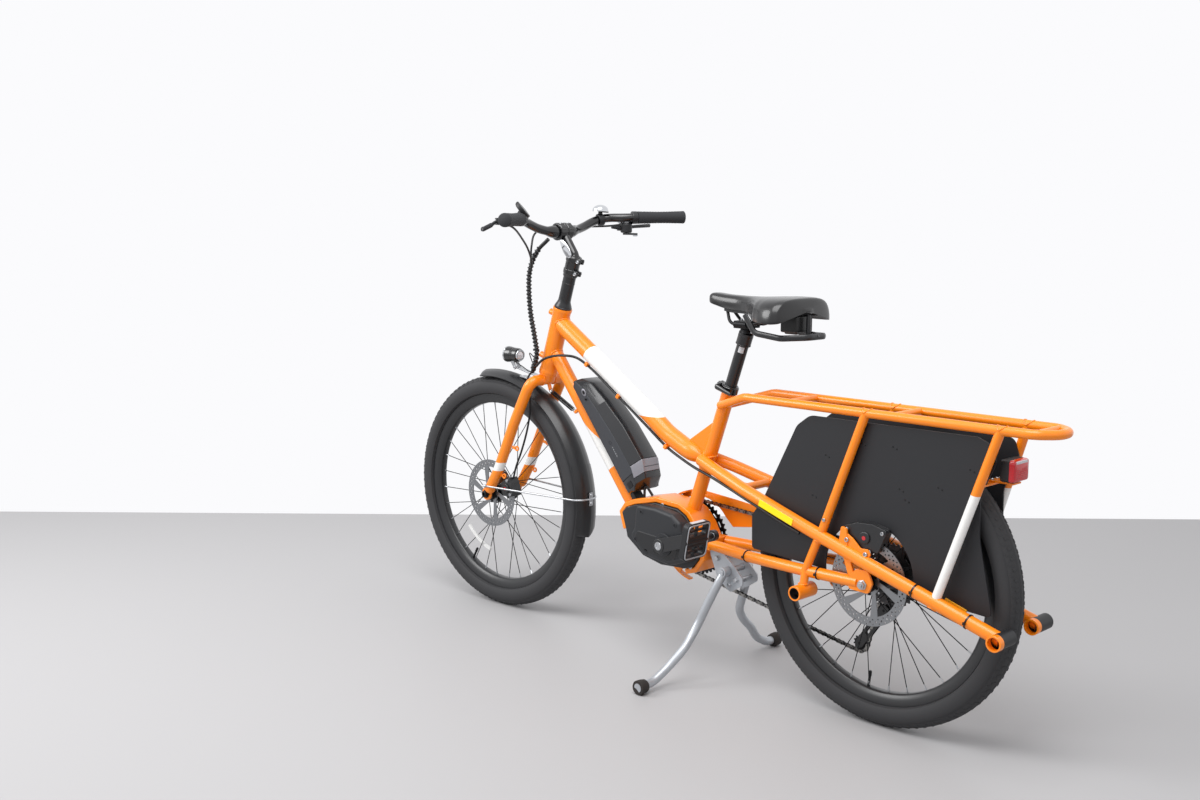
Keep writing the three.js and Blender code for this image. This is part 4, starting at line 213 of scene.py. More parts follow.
def two_tone(name, cuts, body="frame"):
    """Orange paint that is white where every cut's side is positive.
    A cut is (point in millimetres, normal)."""
    place = place_of(body)
    material = orange_coat(name)
    tree = material.node_tree
    places = add_node(tree, "ShaderNodeTexCoord").outputs["Object"]
    mask = None
    for point, normal in cuts:
        beside = add_node(
            tree, "ShaderNodeVectorMath", {0: places, 1: place @ Vector(point)}, operation="SUBTRACT"
        )
        side = add_node(
            tree, "ShaderNodeVectorMath", {0: beside.outputs[0], 1: Vector(normal)}, operation="DOT_PRODUCT"
        )
        inside = add_node(
            tree, "ShaderNodeMath", {0: side.outputs["Value"], 1: 0.0}, operation="GREATER_THAN"
        ).outputs[0]
        mask = inside if mask is None else add_node(
            tree, "ShaderNodeMath", {0: mask, 1: inside}, operation="MULTIPLY"
        ).outputs[0]
    blend = add_node(
        tree,
        "ShaderNodeMix",
        {0: mask, 6: linear(ORANGE), 7: linear(WHITE)},
        data_type="RGBA",
    )
    tree.links.new(blend.outputs[2], shader_of(material).inputs["Base Color"])
    return material


# Shapes


def bend(before, corner, after, radius, room, steps):
    """The points of a corner's bend, which takes at most a share of the line on either side."""
    a, b = before - corner, after - corner
    turn = math.pi - a.angle(b, math.pi)
    reach = min(radius * math.tan(turn / 2), room * min(a.length, b.length))
    start, end = corner + a.normalized() * reach, corner + b.normalized() * reach
    shares = [k / steps for k in range(steps + 1)]
    return [start * (1 - t) ** 2 + corner * 2 * t * (1 - t) + end * t**2 for t in shares]


def rounded(points, radius, steps=6):
    """The points of a line whose corners are bends of a radius."""
    points = [Vector(p) for p in points]
    line = [points[0]]
    for before, corner, after in zip(points, points[1:], points[2:]):
        line += bend(before, corner, after, radius, 0.48, steps)
    return [*line, points[-1]]


def smooth_line(points, steps=8):
    """A centripetal curve through points, as the CAD source's hoses follow."""
    points = [Vector(p) for p in points]
    ends = [points[0] * 2 - points[1], *points, points[-1] * 2 - points[-2]]
    line = []
    for p0, p1, p2, p3 in zip(ends, ends[1:], ends[2:], ends[3:]):
        t0 = 0
        t1 = t0 + math.sqrt((p1 - p0).length)
        t2 = t1 + math.sqrt((p2 - p1).length)
        t3 = t2 + math.sqrt((p3 - p2).length)
        for k in range(steps):
            t = mix(t1, t2, k / steps)
            a1 = mix(p0, p1, (t - t0) / (t1 - t0))
            a2 = mix(p1, p2, (t - t1) / (t2 - t1))
            a3 = mix(p2, p3, (t - t2) / (t3 - t2))
            b1 = mix(a1, a2, (t - t0) / (t2 - t0))
            b2 = mix(a2, a3, (t - t1) / (t3 - t1))
            line.append(mix(b1, b2, (t - t1) / (t2 - t1)))
    line.append(points[-1])
    return line


def ellipse(centre, a, b, steps, closed=False, phase=0):
    """Points round a centre, a to one side and b to the other."""
    turns = [math.tau * (k + phase) / steps for k in range(steps + closed)]
    return [centre + a * math.cos(t) + b * math.sin(t) for t in turns]


def line_length(points):
    return sum((b - a).length for a, b in zip(points, points[1:]))


def settle(obj, body, material, stands_for=()):
    """Puts a made object in the scene, on its body and in its finish."""
    bpy.context.scene.collection.objects.link(obj)
    obj.data.materials.append(material)
    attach(obj, body)
    if stands_for:
        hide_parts(*stands_for)
    return obj


def tubes(name, body, material, runs, stands_for=(), sides=7):
    """Round tubes or wires: each run is (points, radius), with one radius or one for each point."""
    curve = bpy.data.curves.new(name, "CURVE")
    curve.dimensions = "3D"
    curve.bevel_depth = MM
    curve.bevel_resolution = sides
    curve.use_fill_caps = True
    place = place_of(body)
    for points, radius in runs:
        spline = curve.splines.new("POLY")
        spline.points.add(len(points) - 1)
        radii = radius if isinstance(radius, (list, tuple)) else [radius] * len(points)
        for made, point, wide in zip(spline.points, points, radii):
            made.co = (*(place @ Vector(point)), 1)
            made.radius = wide
    obj = bpy.data.objects.new(name, curve)
    return settle(obj, body, material, stands_for)


def put_down(name, body, material, bm, stands_for=(), bevel=0, segments=2, sharp=38, level=0):
    """Ends a bmesh in the bike's millimetres as a piece in the row frame."""
    bmesh.ops.remove_doubles(bm, verts=bm.verts, dist=0.005)
    bmesh.ops.recalc_face_normals(bm, faces=bm.faces)
    bmesh.ops.transform(bm, matrix=place_of(body), verts=bm.verts)
    mesh = bpy.data.meshes.new(name)
    bm.to_mesh(mesh)
    bm.free()
    mesh.shade_smooth()
    mesh.set_sharp_from_angle(angle=math.radians(sharp))
    obj = bpy.data.objects.new(name, mesh)
    settle(obj, body, material, stands_for)
    if bevel:
        edge = obj.modifiers.new("Bevel", "BEVEL")
        edge.width = bevel * MM
        edge.segments = segments
        edge.limit_method = "ANGLE"
        edge.angle_limit = math.radians(30)
        edge.harden_normals = True
    if level:
        smooth = obj.modifiers.new("Subdivision", "SUBSURF")
        smooth.levels = smooth.render_levels = level
    return obj


def facing(direction):
    """A turn that takes +Z to a direction."""
    return Vector(direction).to_track_quat("Z", "Y").to_matrix().to_4x4()


def turned(bm, profile, centre=(0, 0, 0), axis=ACROSS, sides=48):
    """A lathe form: the profile lists (radius, height along the axis)."""
    centre, axis = Vector(centre), Vector(axis).normalized()
    out = axis.orthogonal().normalized()
    points = [bm.verts.new(centre + out * r + axis * h) for r, h in profile]
    edges = [bm.edges.new(pair) for pair in zip(points, points[1:])]
    made = bmesh.ops.spin(
        bm, geom=points + edges, cent=centre, axis=axis, dvec=(0, 0, 0), angle=math.tau,
        steps=sides, use_merge=True, use_duplicate=False,
    )
    bmesh.ops.remove_doubles(bm, verts=bm.verts, dist=0.005)
    return made


def disc(bm, radius, low, high, centre, axis=ACROSS, sides=32, chamfer=0):
    """A cylinder along an axis, with its rims chamfered."""
    c = chamfer
    rim = [(radius, low), (radius, high)]
    if c:
        rim = [(radius - c, low), (radius, low + c), (radius, high - c), (radius - c, high)]
    turned(bm, [(0, low), *rim, (0, high)], centre, axis, sides)


def tube_ring(bm, outer, inner, low, high, centre, axis=ACROSS, sides=48, chamfer=0.8):
    c = chamfer
    turned(bm, [(inner, low), (outer - c, low), (outer, low + c), (outer, high - c), (outer - c, high),
                (inner, high), (inner, low)], centre, axis, sides)


def box(bm, centre, size, turn=None):
    """A block with its sizes along its own x, y and z, turned by a matrix."""
    turn = turn or Matrix.Identity(4)
    matrix = Matrix.Translation(Vector(centre)) @ turn @ Matrix.Diagonal((*size, 1))
    return bmesh.ops.create_cube(bm, size=1, matrix=matrix)["verts"]


def bar(bm, start, end, wide, thick, across=ACROSS):
    """A block from start to end, wide along the across line."""
    start, end = Vector(start), Vector(end)
    along = (end - start).normalized()
    side = (Vector(across) - along * along.dot(Vector(across))).normalized()
    up = along.cross(side)
    turn = Matrix((along, side, up)).transposed().to_4x4()
    return box(bm, (start + end) / 2, ((end - start).length, wide, thick), turn)


def rod(bm, start, end, radius, sides=20, end_radius=None):
    start, end = Vector(start), Vector(end)
    matrix = Matrix.Translation((start + end) / 2) @ facing(end - start)
    return bmesh.ops.create_cone(
        bm, cap_ends=True, segments=sides, radius1=radius,
        radius2=radius if end_radius is None else end_radius, depth=(end - start).length, matrix=matrix,
    )["verts"]


def plate(bm, outline, low, high, holes=()):
    """A plate whose outline of (x, z) lies in the side view, from low to high along y."""
    if holes:
        edges = []
        for loop in (outline, *holes):
            points = [bm.verts.new((p[0], low, p[-1])) for p in loop]
            edges += [bm.edges.new((a, b)) for a, b in zip(points, points[1:] + points[:1])]
        filled = bmesh.ops.triangle_fill(bm, use_beauty=True, edges=edges)["geom"]
        faces = [g for g in filled if isinstance(g, bmesh.types.BMFace)]
    else:
        faces = [bm.faces.new([bm.verts.new((p[0], low, p[-1])) for p in outline])]
    grown = bmesh.ops.extrude_face_region(bm, geom=faces, use_keep_orig=True)["geom"]
    moved = [g for g in grown if isinstance(g, bmesh.types.BMVert)]
    bmesh.ops.translate(bm, verts=moved, vec=(0, high - low, 0))
    return moved


def arc(centre, radius, start, end, steps):
    """Points (x, z) of an arc in the side view, angles in degrees."""
    made = []
    for k in range(steps + 1):
        angle = math.radians(mix(start, end, k / steps))
        made.append((centre[0] + radius * math.cos(angle), centre[-1] + radius * math.sin(angle)))
    return made


def circle(centre, radius, steps=32):
    return arc(centre, radius, 0, 360 - 360 / steps, steps - 1)


def soft_outline(points, radius, steps=5):
    """A closed outline of (x, z) with its corners rounded, by one radius or one for each corner."""
    flat = [Vector((p[0], p[-1])) for p in points]
    radii = radius if isinstance(radius, list) else [radius] * len(flat)
    made = []
    for before, corner, after, size in zip(flat[-1:] + flat[:-1], flat, flat[1:] + flat[:1], radii):
        made += bend(before, corner, after, size, 0.45, steps)
    return [(p.x, p.y) for p in made]


def bolt_head(bm, place, direction, radius, height=None):
    """A socket-head bolt seen from outside, its recess included."""
    h = height or radius * 0.9
    turned(bm, [(0, h * 0.4), (radius * 0.5, h * 0.4), (radius * 0.55, h * 0.95), (radius * 0.85, h),
                (radius, h * 0.8), (radius, -0.6), (0, -0.6)], place, direction, 16)


def weld(start, direction, radius, other, other_axis, other_radius, steps=28):
    """The line where a tube meets the wall of another tube: the path of its weld bead."""
    direction, other_axis = Vector(direction).normalized(), Vector(other_axis).normalized()
    u = direction.orthogonal().normalized()
    v = direction.cross(u)
    line = []
    for p in ellipse(Vector(start), u * radius, v * radius, steps, True):
        gap = p - Vector(other)
        flat = gap - other_axis * gap.dot(other_axis)
        run = direction - other_axis * direction.dot(other_axis)
        a, b, c = run.dot(run), 2 * flat.dot(run), flat.dot(flat) - other_radius**2
        root = math.sqrt(max(b * b - 4 * a * c, 0))
        line.append(p + direction * ((-b + root) / (2 * a)))
    return line


def band(name, body, material, line, radius, width=3.6, thick=1.3):
    """Zip ties round a tube or bundle: for each (place, direction) of line, a strap and its lock."""
    bm = bmesh.new()
    for place, direction in line:
        direction = Vector(direction).normalized()
        tube_ring(bm, radius + thick, radius - 0.2, -width / 2, width / 2, place, direction, 24, 0.3)
        out = direction.cross(UP)
        out = (out if out.length > 0.2 else direction.cross(ACROSS)).normalized()
        box(bm, Vector(place) + out * (radius + thick + 1.2), (5, 5.5, 4.2), facing(out))
    return put_down(name, body, material, bm)


# Camera, floor and light


CAMERA_PLACE = at(-1469.87, 2284.76, 1055.04)
CAMERA_HEADING = -0.7892
FLOOR_BEHIND, FLOOR_BEFORE, FLOOR_HALF = 4560, -9000, 9000


def set_camera():
    """The photograph's view: its place, heading and lens were fitted to the wheels, axles and tubes."""
    heading, dip, roll = CAMERA_HEADING, 0.1413, 0.0066
    ahead = at(math.cos(dip) * math.cos(heading), math.cos(dip) * math.sin(heading), -math.sin(dip))
    right = ahead.cross(UP).normalized()
    top = right.cross(ahead)
    right, top = (
        right * math.cos(roll) + top * math.sin(roll),
        top * math.cos(roll) - right * math.sin(roll),
    )
    camera = bpy.data.objects.new("Camera", bpy.data.cameras.new("Camera"))
    turn = Matrix((right, top, -ahead)).transposed().to_4x4()
    camera.matrix_world = Matrix.Translation(TO_ROW @ CAMERA_PLACE) @ turn
    camera.data.lens = 39.66
    camera.data.sensor_width = 36
    camera.data.shift_x = -0.0086
    camera.data.shift_y = 0.0012
    camera.data.clip_end = 60
    bpy.context.scene.collection.objects.link(camera)
    bpy.context.scene.camera = camera


def set_floor():
    """A plain pale floor that ends behind the bike, where the studio's wall begins."""
    material = bpy.data.materials.new("polished pale concrete")
    material.use_nodes = True
    shader = shader_of(material)
    shader.inputs["Base Color"].default_value = linear("#AFAEAF")
    shader.inputs["Roughness"].default_value = 0.55
    bm = bmesh.new()
    ahead = at(math.cos(CAMERA_HEADING), math.sin(CAMERA_HEADING), 0)
    beside = at(-ahead.y, ahead.x, 0)
    eye = at(CAMERA_PLACE.x, CAMERA_PLACE.y, 0)
    corners = []
    for a, b in ((FLOOR_BEFORE, -1), (FLOOR_BEHIND, -1), (FLOOR_BEHIND, 1), (FLOOR_BEFORE, 1)):
        corners.append(eye + ahead * a + beside * b * FLOOR_HALF)
    bm.faces.new([bm.verts.new(TO_ROW @ c) for c in corners])
    bmesh.ops.recalc_face_normals(bm, faces=bm.faces)
    mesh = bpy.data.meshes.new("Floor")
    bm.to_mesh(mesh)
    bm.free()
    floor = bpy.data.objects.new("Floor", mesh)
    mesh.materials.append(material)
    bpy.context.scene.collection.objects.link(floor)


def add_lamp(name, place, aim, size, power):
    lamp = bpy.data.lights.new(name, "AREA")
    lamp.shape = "DISK"
    lamp.size = size
    lamp.energy = power
    obj = bpy.data.objects.new(name, lamp)
    direction = Vector(aim) - Vector(place)
    turn = direction.to_track_quat("-Z", "Y").to_matrix().to_4x4()
    obj.matrix_world = Matrix.Translation(place) @ turn
    bpy.context.scene.collection.objects.link(obj)


def set_light():
    """A large soft lamp over the bike, a weaker one beside the camera, and a white room."""
    scene = bpy.context.scene
    scene.view_settings.view_transform = "Standard"
    add_lamp("KeyLamp", (-0.6, 1.2, 3.4), (0, 0, 0.4), 2.6, 80)
    add_lamp("SideLamp", (1.9, 2.2, 2.2), (0.2, 0, 0.5), 1.8, 56)
    world = bpy.data.worlds.new("WhiteRoom")
    scene.world = world
    world.use_nodes = True
    tree = world.node_tree
    tree.nodes.clear()
    rays = add_node(tree, "ShaderNodeLightPath").outputs
    seen = add_node(
        tree, "ShaderNodeMath", {0: rays["Is Camera Ray"], 1: rays["Is Glossy Ray"]}, operation="MAXIMUM"
    ).outputs[0]
    seen = add_node(
        tree, "ShaderNodeMath", {0: seen, 1: rays["Is Transmission Ray"]}, operation="MAXIMUM"
    ).outputs[0]
    strength = add_node(tree, "ShaderNodeMix", {0: seen, 2: 0.72, 3: 1.0}).outputs[0]
    room = add_node(tree, "ShaderNodeBackground", {"Color": linear("#FBFBFD"), "Strength": strength})
    add_node(tree, "ShaderNodeOutputWorld", {"Surface": room.outputs[0]})


set_camera()
set_floor()
set_light()

# Materials

# Polyester powder coat on steel, stoved: smooth and glossy, with soft highlights.
ORANGE_COAT = orange_coat("gloss orange powder coat")
WHITE_TOP_TUBE = two_tone("powder coat, white panel on top tube", [
    ((852, 0, 733), (-0.8, 0, -0.6)), ((640, 0, 578), (0, 0, 1))])
WHITE_DOWN_TUBE = two_tone("powder coat, white panel on down tube", [
    ((851, 0, 522), (0.52, 0, -0.85)), ((785, 0, 429), (0.628, 0, 0.778))])
WHITE_LEG = two_tone("powder coat, white band on fork leg", [
    ((1205, 0, 406), (0, 0, -1)), ((1205, 0, 383), (0, 0, 1))], "steering")
WHITE_UPRIGHT = two_tone("powder coat, white foot on upright", [((-246, 0, 530), (0.15, 0, -1))])
# Painted aluminium: satin, even black.
SATIN_BLACK = finish("satin black paint on aluminium", "black_paint", "#141518", 0.36, coat_weight=0.25,
                     coat_roughness=0.3)
# Polished enamel: a deeper, shinier black.
GLOSS_BLACK = finish("gloss black enamel", "black_paint", "#0E0E10", 0.2, coat_weight=0.6,
                     coat_roughness=0.06)
# Moulded ABS with a fine spark-eroded grain, which softens its highlights; drawn at about a
# millimetre, coarser than the real one, so that it shows.
BLACK_ABS = grain(finish("moulded ABS, fine grain", "black_plastic", "#16171A", 0.5), 0.9, 0.05, 0.35)
PANEL_ABS = grain(finish("vacuum-formed ABS sheet, matt", "black_plastic", "#17181C", 0.55), 1.6, 0.05, 0.3)
GLOSSY_ABS = finish("polished ABS", "black_plastic", "#0A0A0C", 0.24)
# The battery's painted case and its gloss lids, and the drive unit's grained cover.
BATTERY_GREY = grain(finish("painted aluminium case, dark grey", "grey_plastic", "#34363B", 0.42),
                     0.7, 0.03, 0.25)
BATTERY_BLACK = finish("moulded polycarbonate, gloss black", "grey_plastic", "#1B1C1F", 0.24,
                       coat_weight=0.3)
BATTERY_SILVER = finish("silver-grey painted end cap", "grey_plastic", "#8B8A90", 0.3, metallic=0.4)
MOTOR_GREY = grain(finish("moulded nylon cover, dark", "grey_plastic", "#1F2125", 0.5), 1.1, 0.05, 0.35)
# Vulcanised tyre rubber: dark, dusty and matt.
TYRE_RUBBER = grain(finish("tyre rubber", "tyre", "#2F2F31", 0.72), 1.5, 0.08, 0.4)
GRIP_RUBBER = grain(finish("soft grip rubber", "rubber", "#2B2C2F", 0.78), 1.2, 0.12, 0.5, "dots")
# Extruded PVC: smooth, with a narrow highlight along the cable.
CABLE_SHEATH = finish("extruded PVC sheath", "rubber", "#0C0C0E", 0.38)
FOOT_RUBBER = grain(finish("moulded rubber foot", "rubber", "#2A2523", 0.85), 2.0, 0.2, 0.4)
# Rotors: stainless sheet with a ground, darker face.
ROTOR_STEEL = finish("ground stainless sheet", "steel", "#8E9093", 0.38, metallic=1)
# Bolts are plated and satin, the small bright parts are polished, and the chain is oiled.
ZINC = finish("zinc-plated steel", "steel", "#B9BBBE", 0.34, metallic=1)
CHROME = finish("polished chrome plate", "silver", "#D5D7DA", 0.1, metallic=1)
DARK_STEEL = finish("oiled dark steel", "dark_steel", "#4B4A4B", 0.38, metallic=1)
LINK_STEEL = finish("nickel-plated link plates", "dark_steel", "#8C8A87", 0.34, metallic=1)
BLACK_STEEL = finish("blackened steel", "dark_steel", "#171719", 0.42, metallic=0.6)
# Aluminium paint on the stand's tubes: light grey with a satin sheen.
SILVER_PAINT = finish("silver paint on steel tube", "silver", "#B4B8BD", 0.38, metallic=0.55)
# Moulded lenses and films: hard, even colours with a gloss of their own.
RED_LENS = finish("moulded red acrylic", "red_lens", "#C21420", 0.12, coat_weight=0.5, coat_roughness=0.05)
CLEAR_LENS = finish("moulded clear acrylic", "silver", "#DADDE2", 0.06, metallic=0.35, coat_weight=0.8)
AMBER_LENS = finish("moulded amber reflector", "frame_paint", "#F0A818", 0.3)
YELLOW_TAPE = finish("prismatic yellow tape", "frame_paint", "#F7E600", 0.35)
LIGHT_LABEL = finish("plain pale film", "silver", "#C9CACD", 0.4)
WHITE_PLASTIC = finish("white nylon", "silver", "#E4E4E2", 0.4)
# Embossed seat cover: black, with a thin gloss over fine round bumps.
VINYL = grain(finish("embossed PVC seat cover", "vinyl", "#0B0B0D", 0.3, coat_weight=0.3,
                     coat_roughness=0.12), 1.4, 0.04, 0.2, "dots")
ELASTOMER = finish("cast black elastomer", "black_plastic", "#0A0A0B", 0.35)

# Cords

HARNESS_ROUTE = [(1004, 14, 990), (1038, 22, 958), (1058, 27, 915), (1060, 30, 868), (1052, 33, 805),
                 (1034, 37, 745), (1026, 38, 700), (1044, 32, 664), (1060, 20, 650)]
LEFT_HOSE_ROUTE = [(940, 216, 1031), (955, 178, 1020), (989, 120, 994), (1017, 72, 964), (1041, 38, 930),
                   (1056, 28, 902)]
RIGHT_HOSE_ROUTE = [(944, -210, 1026), (970, -182, 1021), (1012, -148, 1019), (1045, -100, 1020),
                    (1062, -40, 1016), (1056, 12, 1002), (1049, 30, 972), (1054, 29, 918)]
CALLIPER_HOSE_ROUTE = [(1056, 26, 652), (1064, 34, 634), (1060, 38.6, 612), (1052, 38.6, 585),
                       (1052, 39, 550), (1062, 40, 500), (1082, 43, 440), (1102, 44, 396), (1112, 44, 366)]
REAR_CABLE_ROUTE = [(1024, 41, 668), (1003, 38, 686), (972, 34, 697), (935, 31, 702), (900, 20, 699),
                    (868, 10, 681), (758, 10, 613), (668, 10, 555), (598, 10, 510), (540, 18, 489),
                    (497, 27, 478), (440, 36, 466), (380, 44, 450), (330, 51, 436), (270, 56.5, 418),
                    (215, 60, 400.5), (170, 61.5, 387)]


def lay_cord(name, body, route, radius, stands_for=(),
             material=CABLE_SHEATH, sides=5):
    """A hose or cable from one place on the bike to another."""
    line = smooth_line(route)
    obj = tubes(name, body, material, [(line, radius)], stands_for, sides)


def spiral(line, radius, pitch, steps=14):
    """A helix round a line, for a spiral wrap."""
    made = []
    total = line_length(line)
    turns = total / pitch
    spots, gone = [], 0
    for a, b in zip(line, line[1:]):
        spots.append((gone, a, b))
        gone += (b - a).length
    side = ACROSS
    for k in range(int(turns * steps) + 1):
        far = total * k / (turns * steps)
        begin, a, b = [s for s in spots if s[0] <= far + 1e-6][-1]
        along = (b - a).normalized()
        side = (side - along * side.dot(along)).normalized()
        angle = math.tau * k / steps
        made.append(a + along * (far - begin) + side * radius * math.cos(angle)
                    + along.cross(side) * radius * math.sin(angle))
    return made


def lay_long_cords():
    wound = spiral(smooth_line(HARNESS_ROUTE)[6:-4], 5.6, 9.5)
    wrap = tubes("harness_spiral_wrap", "steering", BATTERY_BLACK, [(wound, 2.1)], sides=2)
    lay_cord("harness_bundle", "steering", HARNESS_ROUTE, 5.0, ("harness",))
    lay_cord("hose_left_brake", "steering", LEFT_HOSE_ROUTE, 2.6)
    lay_cord("hose_right_brake", "steering", RIGHT_HOSE_ROUTE, 2.6)
    lay_cord("hose_front_caliper", "steering", CALLIPER_HOSE_ROUTE, 2.6)
    lay_cord("rear_brake_and_shift_cable", "frame", REAR_CABLE_ROUTE, 3.2, ("rear_cables",))


lay_long_cords()


# Frame


def shifted(points, distance):
    """An open outline of (x, z) moved sideways."""
    made = []
    for i, p in enumerate(points):
        a, b = points[max(i - 1, 0)], points[min(i + 1, len(points) - 1)]
        along = (Vector((b[0], b[-1])) - Vector((a[0], a[-1]))).normalized()
        made.append((p[0] - along.y * distance, p[-1] + along.x * distance))
    return made


def from_bracket(points):
    return [(BRACKET.x + x, BRACKET.z + z) for x, z in points]


def spans(low, high, side):
    """Two distances from the middle plane, low before high, on a side of the bike."""
    return sorted((low * side, high * side))


def rail_points(side):
    start = at(SEAT_JOINT.x + 6, 22 * side, SEAT_JOINT.z)
    end = at(RAIL_TAIL, RAIL_SPREAD * side, SOCKET_HEIGHT)
    shares = ((0.073, 0.26, 0.067), (0.198, 0.60, 0.189), (0.386, 0.80, 0.377), (0.612, 0.94, 0.608))
    return [start, *between(start, end, shares), end]


def on_line(points, ahead):
    """The place on a line that runs rearwards, at a distance ahead of the rear axle."""
    for front, rear in zip(points, points[1:]):
        if ahead >= rear.x:
            return mix(rear, front, (ahead - rear.x) / (front.x - rear.x))
    return points[-1]


def on_rail(ahead, side):
    return on_line(rail_points(side), ahead)


def stay_points(side):
    start = at(440, 26 * side, 306)
    end = at(14, 66 * side, TYRE_RADIUS + 1)
    return [start, *between(start, end, ((0.29, 0.475, -0.14), (0.66, 0.85, 0.43))), end]


def top_tube_points():
    start = on_head(HEAD_TUBE_FOOT + 139)
    end = SEAT_JOINT + at(20, 0, 0)
    shares = ((0.239, 0.256), (0.667, 0.719), (0.776, 0.847), (0.898, 0.943))
    return [start, *between(start, end, shares), end]


def rack_points(side):
    neck = on_seat(399)
    return [at(neck.x + 16, 16 * side, 628), at(333, RACK_SPREAD * side, RACK_HEIGHT),
            at(-345, RACK_SPREAD * side, RACK_HEIGHT), at(-378, (RACK_SPREAD - 33) * side, RACK_HEIGHT)]


def build_head_tube():
    bm = bmesh.new()
    turned(bm, [(19, 0), (24, 0), (24.8, 3), (24, 9), (23, 12), (23, 164), (24, 167), (24.8, 173), (24, 176),
                (19, 176), (19, 0)], on_head(HEAD_TUBE_FOOT), HEAD_UP)
    bolts = bmesh.new()
    for height in (34, 152):
        root = on_head(HEAD_TUBE_FOOT + height)
        turned(bm, [(0, 18), (8, 18), (8, 39), (7, 40), (3.4, 40), (3.4, 36), (0, 36)], root, -HEAD_BACK, 28)
        bolt_head(bolts, root - HEAD_BACK * 39.6, -HEAD_BACK, 4.6, 3)
    put_down("head_tube_body", "frame", ORANGE_COAT, bm, ("head_tube",))
    put_down("carrier_boss_bolts", "frame", ZINC, bolts)


def build_main_tubes():
    line = rounded(top_tube_points(), 160, 5)
    along = (line[1] - line[0]).normalized()
    line[0] = line[0] + along * 4
    last = (line[-1] - line[-2]).normalized()
    line[-1:] = [line[-1] - last * run for run in (34, 26, 17, 8, 0)]
    radii = [22] * (len(line) - 4) + [21.2, 19, 15.6, 11.5]
    tubes("top_tube_body", "frame", WHITE_TOP_TUBE, [(line, radii)], ("top_tube",), 9)
    tubes("down_tube_body", "frame", WHITE_DOWN_TUBE, [([DOWN_TOP + DOWN_ALONG * 5, DOWN_FOOT], 18)],
          ("down_tube",), 9)
    runs = [
        (weld(line[0], along, 22, on_head(HEAD_TUBE_FOOT), HEAD_UP, 23), 2.3),
        (weld(DOWN_TOP + DOWN_ALONG * 5, DOWN_ALONG, 18, on_head(HEAD_TUBE_FOOT), HEAD_UP, 23), 2.3),
        (weld(on_seat(300), -SEAT_UP, 16, line[-2], last, 21), 2.3),
        (weld(on_seat(120), SEAT_UP, 16, line[-2], last, 21), 2.3),
    ]
    tubes("frame_welds", "frame", ORANGE_COAT, runs, sides=2)


def build_spring_tab():
    bm = bmesh.new()
    bar(bm, on_down(172, -14), on_down(172, -35), 8, 7)
    put_down("spring_tab", "frame", ORANGE_COAT, bm, bevel=1)


def build_seat_tube():
    bm = bmesh.new()
    turned(bm, [(13.9, 236), (13.9, 399), (16.6, 399), (16.6, 386), (16, 384), (16, 60), (0, 60)], BRACKET,
           SEAT_UP)
    outline = soft_outline([on_seat(324), SEAT_JOINT + at(62, 0, 36), on_seat(190)], 8)
    plate(bm, outline, -2.5, 2.5)
    put_down("seat_tube_body", "frame", ORANGE_COAT, bm, ("seat_tube",), bevel=1.2)


BRACKET_OUTLINE = from_bracket([
    (170, 1), (184, 44), (166, 68), (134, 81), (63, 97), (-10, 93), (-41, 78), (-66, 50), (-86, 15),
    (-89, -30), (-66, -61), (-34, -71)])


def build_bracket():
    bm = bmesh.new()
    plate(bm, BRACKET_OUTLINE + shifted(BRACKET_OUTLINE, 13)[::-1], -36, 36)
    box(bm, BRACKET + at(-92, 0, 10), (26, 68, 26))
    put_down("motor_bracket_body", "frame", ORANGE_COAT, bm, ("motor_bracket",), bevel=3.2, segments=3)
    bm = bmesh.new()
    for x, z in ((150, 62), (-78, 0), (-52, -48), (40, 88)):
        for side in (LEFT, RIGHT):
            bolt_head(bm, BRACKET + at(x * 0.98, 36.2 * side, z * 0.98 - 4), ACROSS * side, 4.6, 3)
    put_down("motor_mount_bolts", "frame", ZINC, bm)


def build_chain_guard():
    bm = bmesh.new()
    ring_line = arc(BRACKET, 112, -80, 72, 40) + arc(BRACKET, 107.5, 72, -80, 40)
    plate(bm, ring_line, -52, -38.4)
    for share in (0.14, 0.8):
        angle = mix(-80, 72, share)
        spoke = arc(BRACKET, 58, angle + 9, angle - 9, 3) + arc(BRACKET, 110, angle - 4.5, angle + 4.5, 3)
        plate(bm, spoke, -42.5, -38.4)
    plate(bm, arc(BRACKET, 112, 57, 97, 12) + from_bracket([(-112, 104), (-174, 98), (-155, 47), (-99, 38)])
          + arc(BRACKET, 96, 142, 57, 24), -57, -55)
    plate(bm, arc(BRACKET, 112, 57, 72, 4) + arc(BRACKET, 108, 72, 57, 4), -56, -48)
    put_down("chain_guard_body", "frame", ORANGE_COAT, bm, ("chain_guard",), bevel=0.8)


def bridge_end(side):
    return mix(rail_points(side)[2], rail_points(side)[1], 0.11)


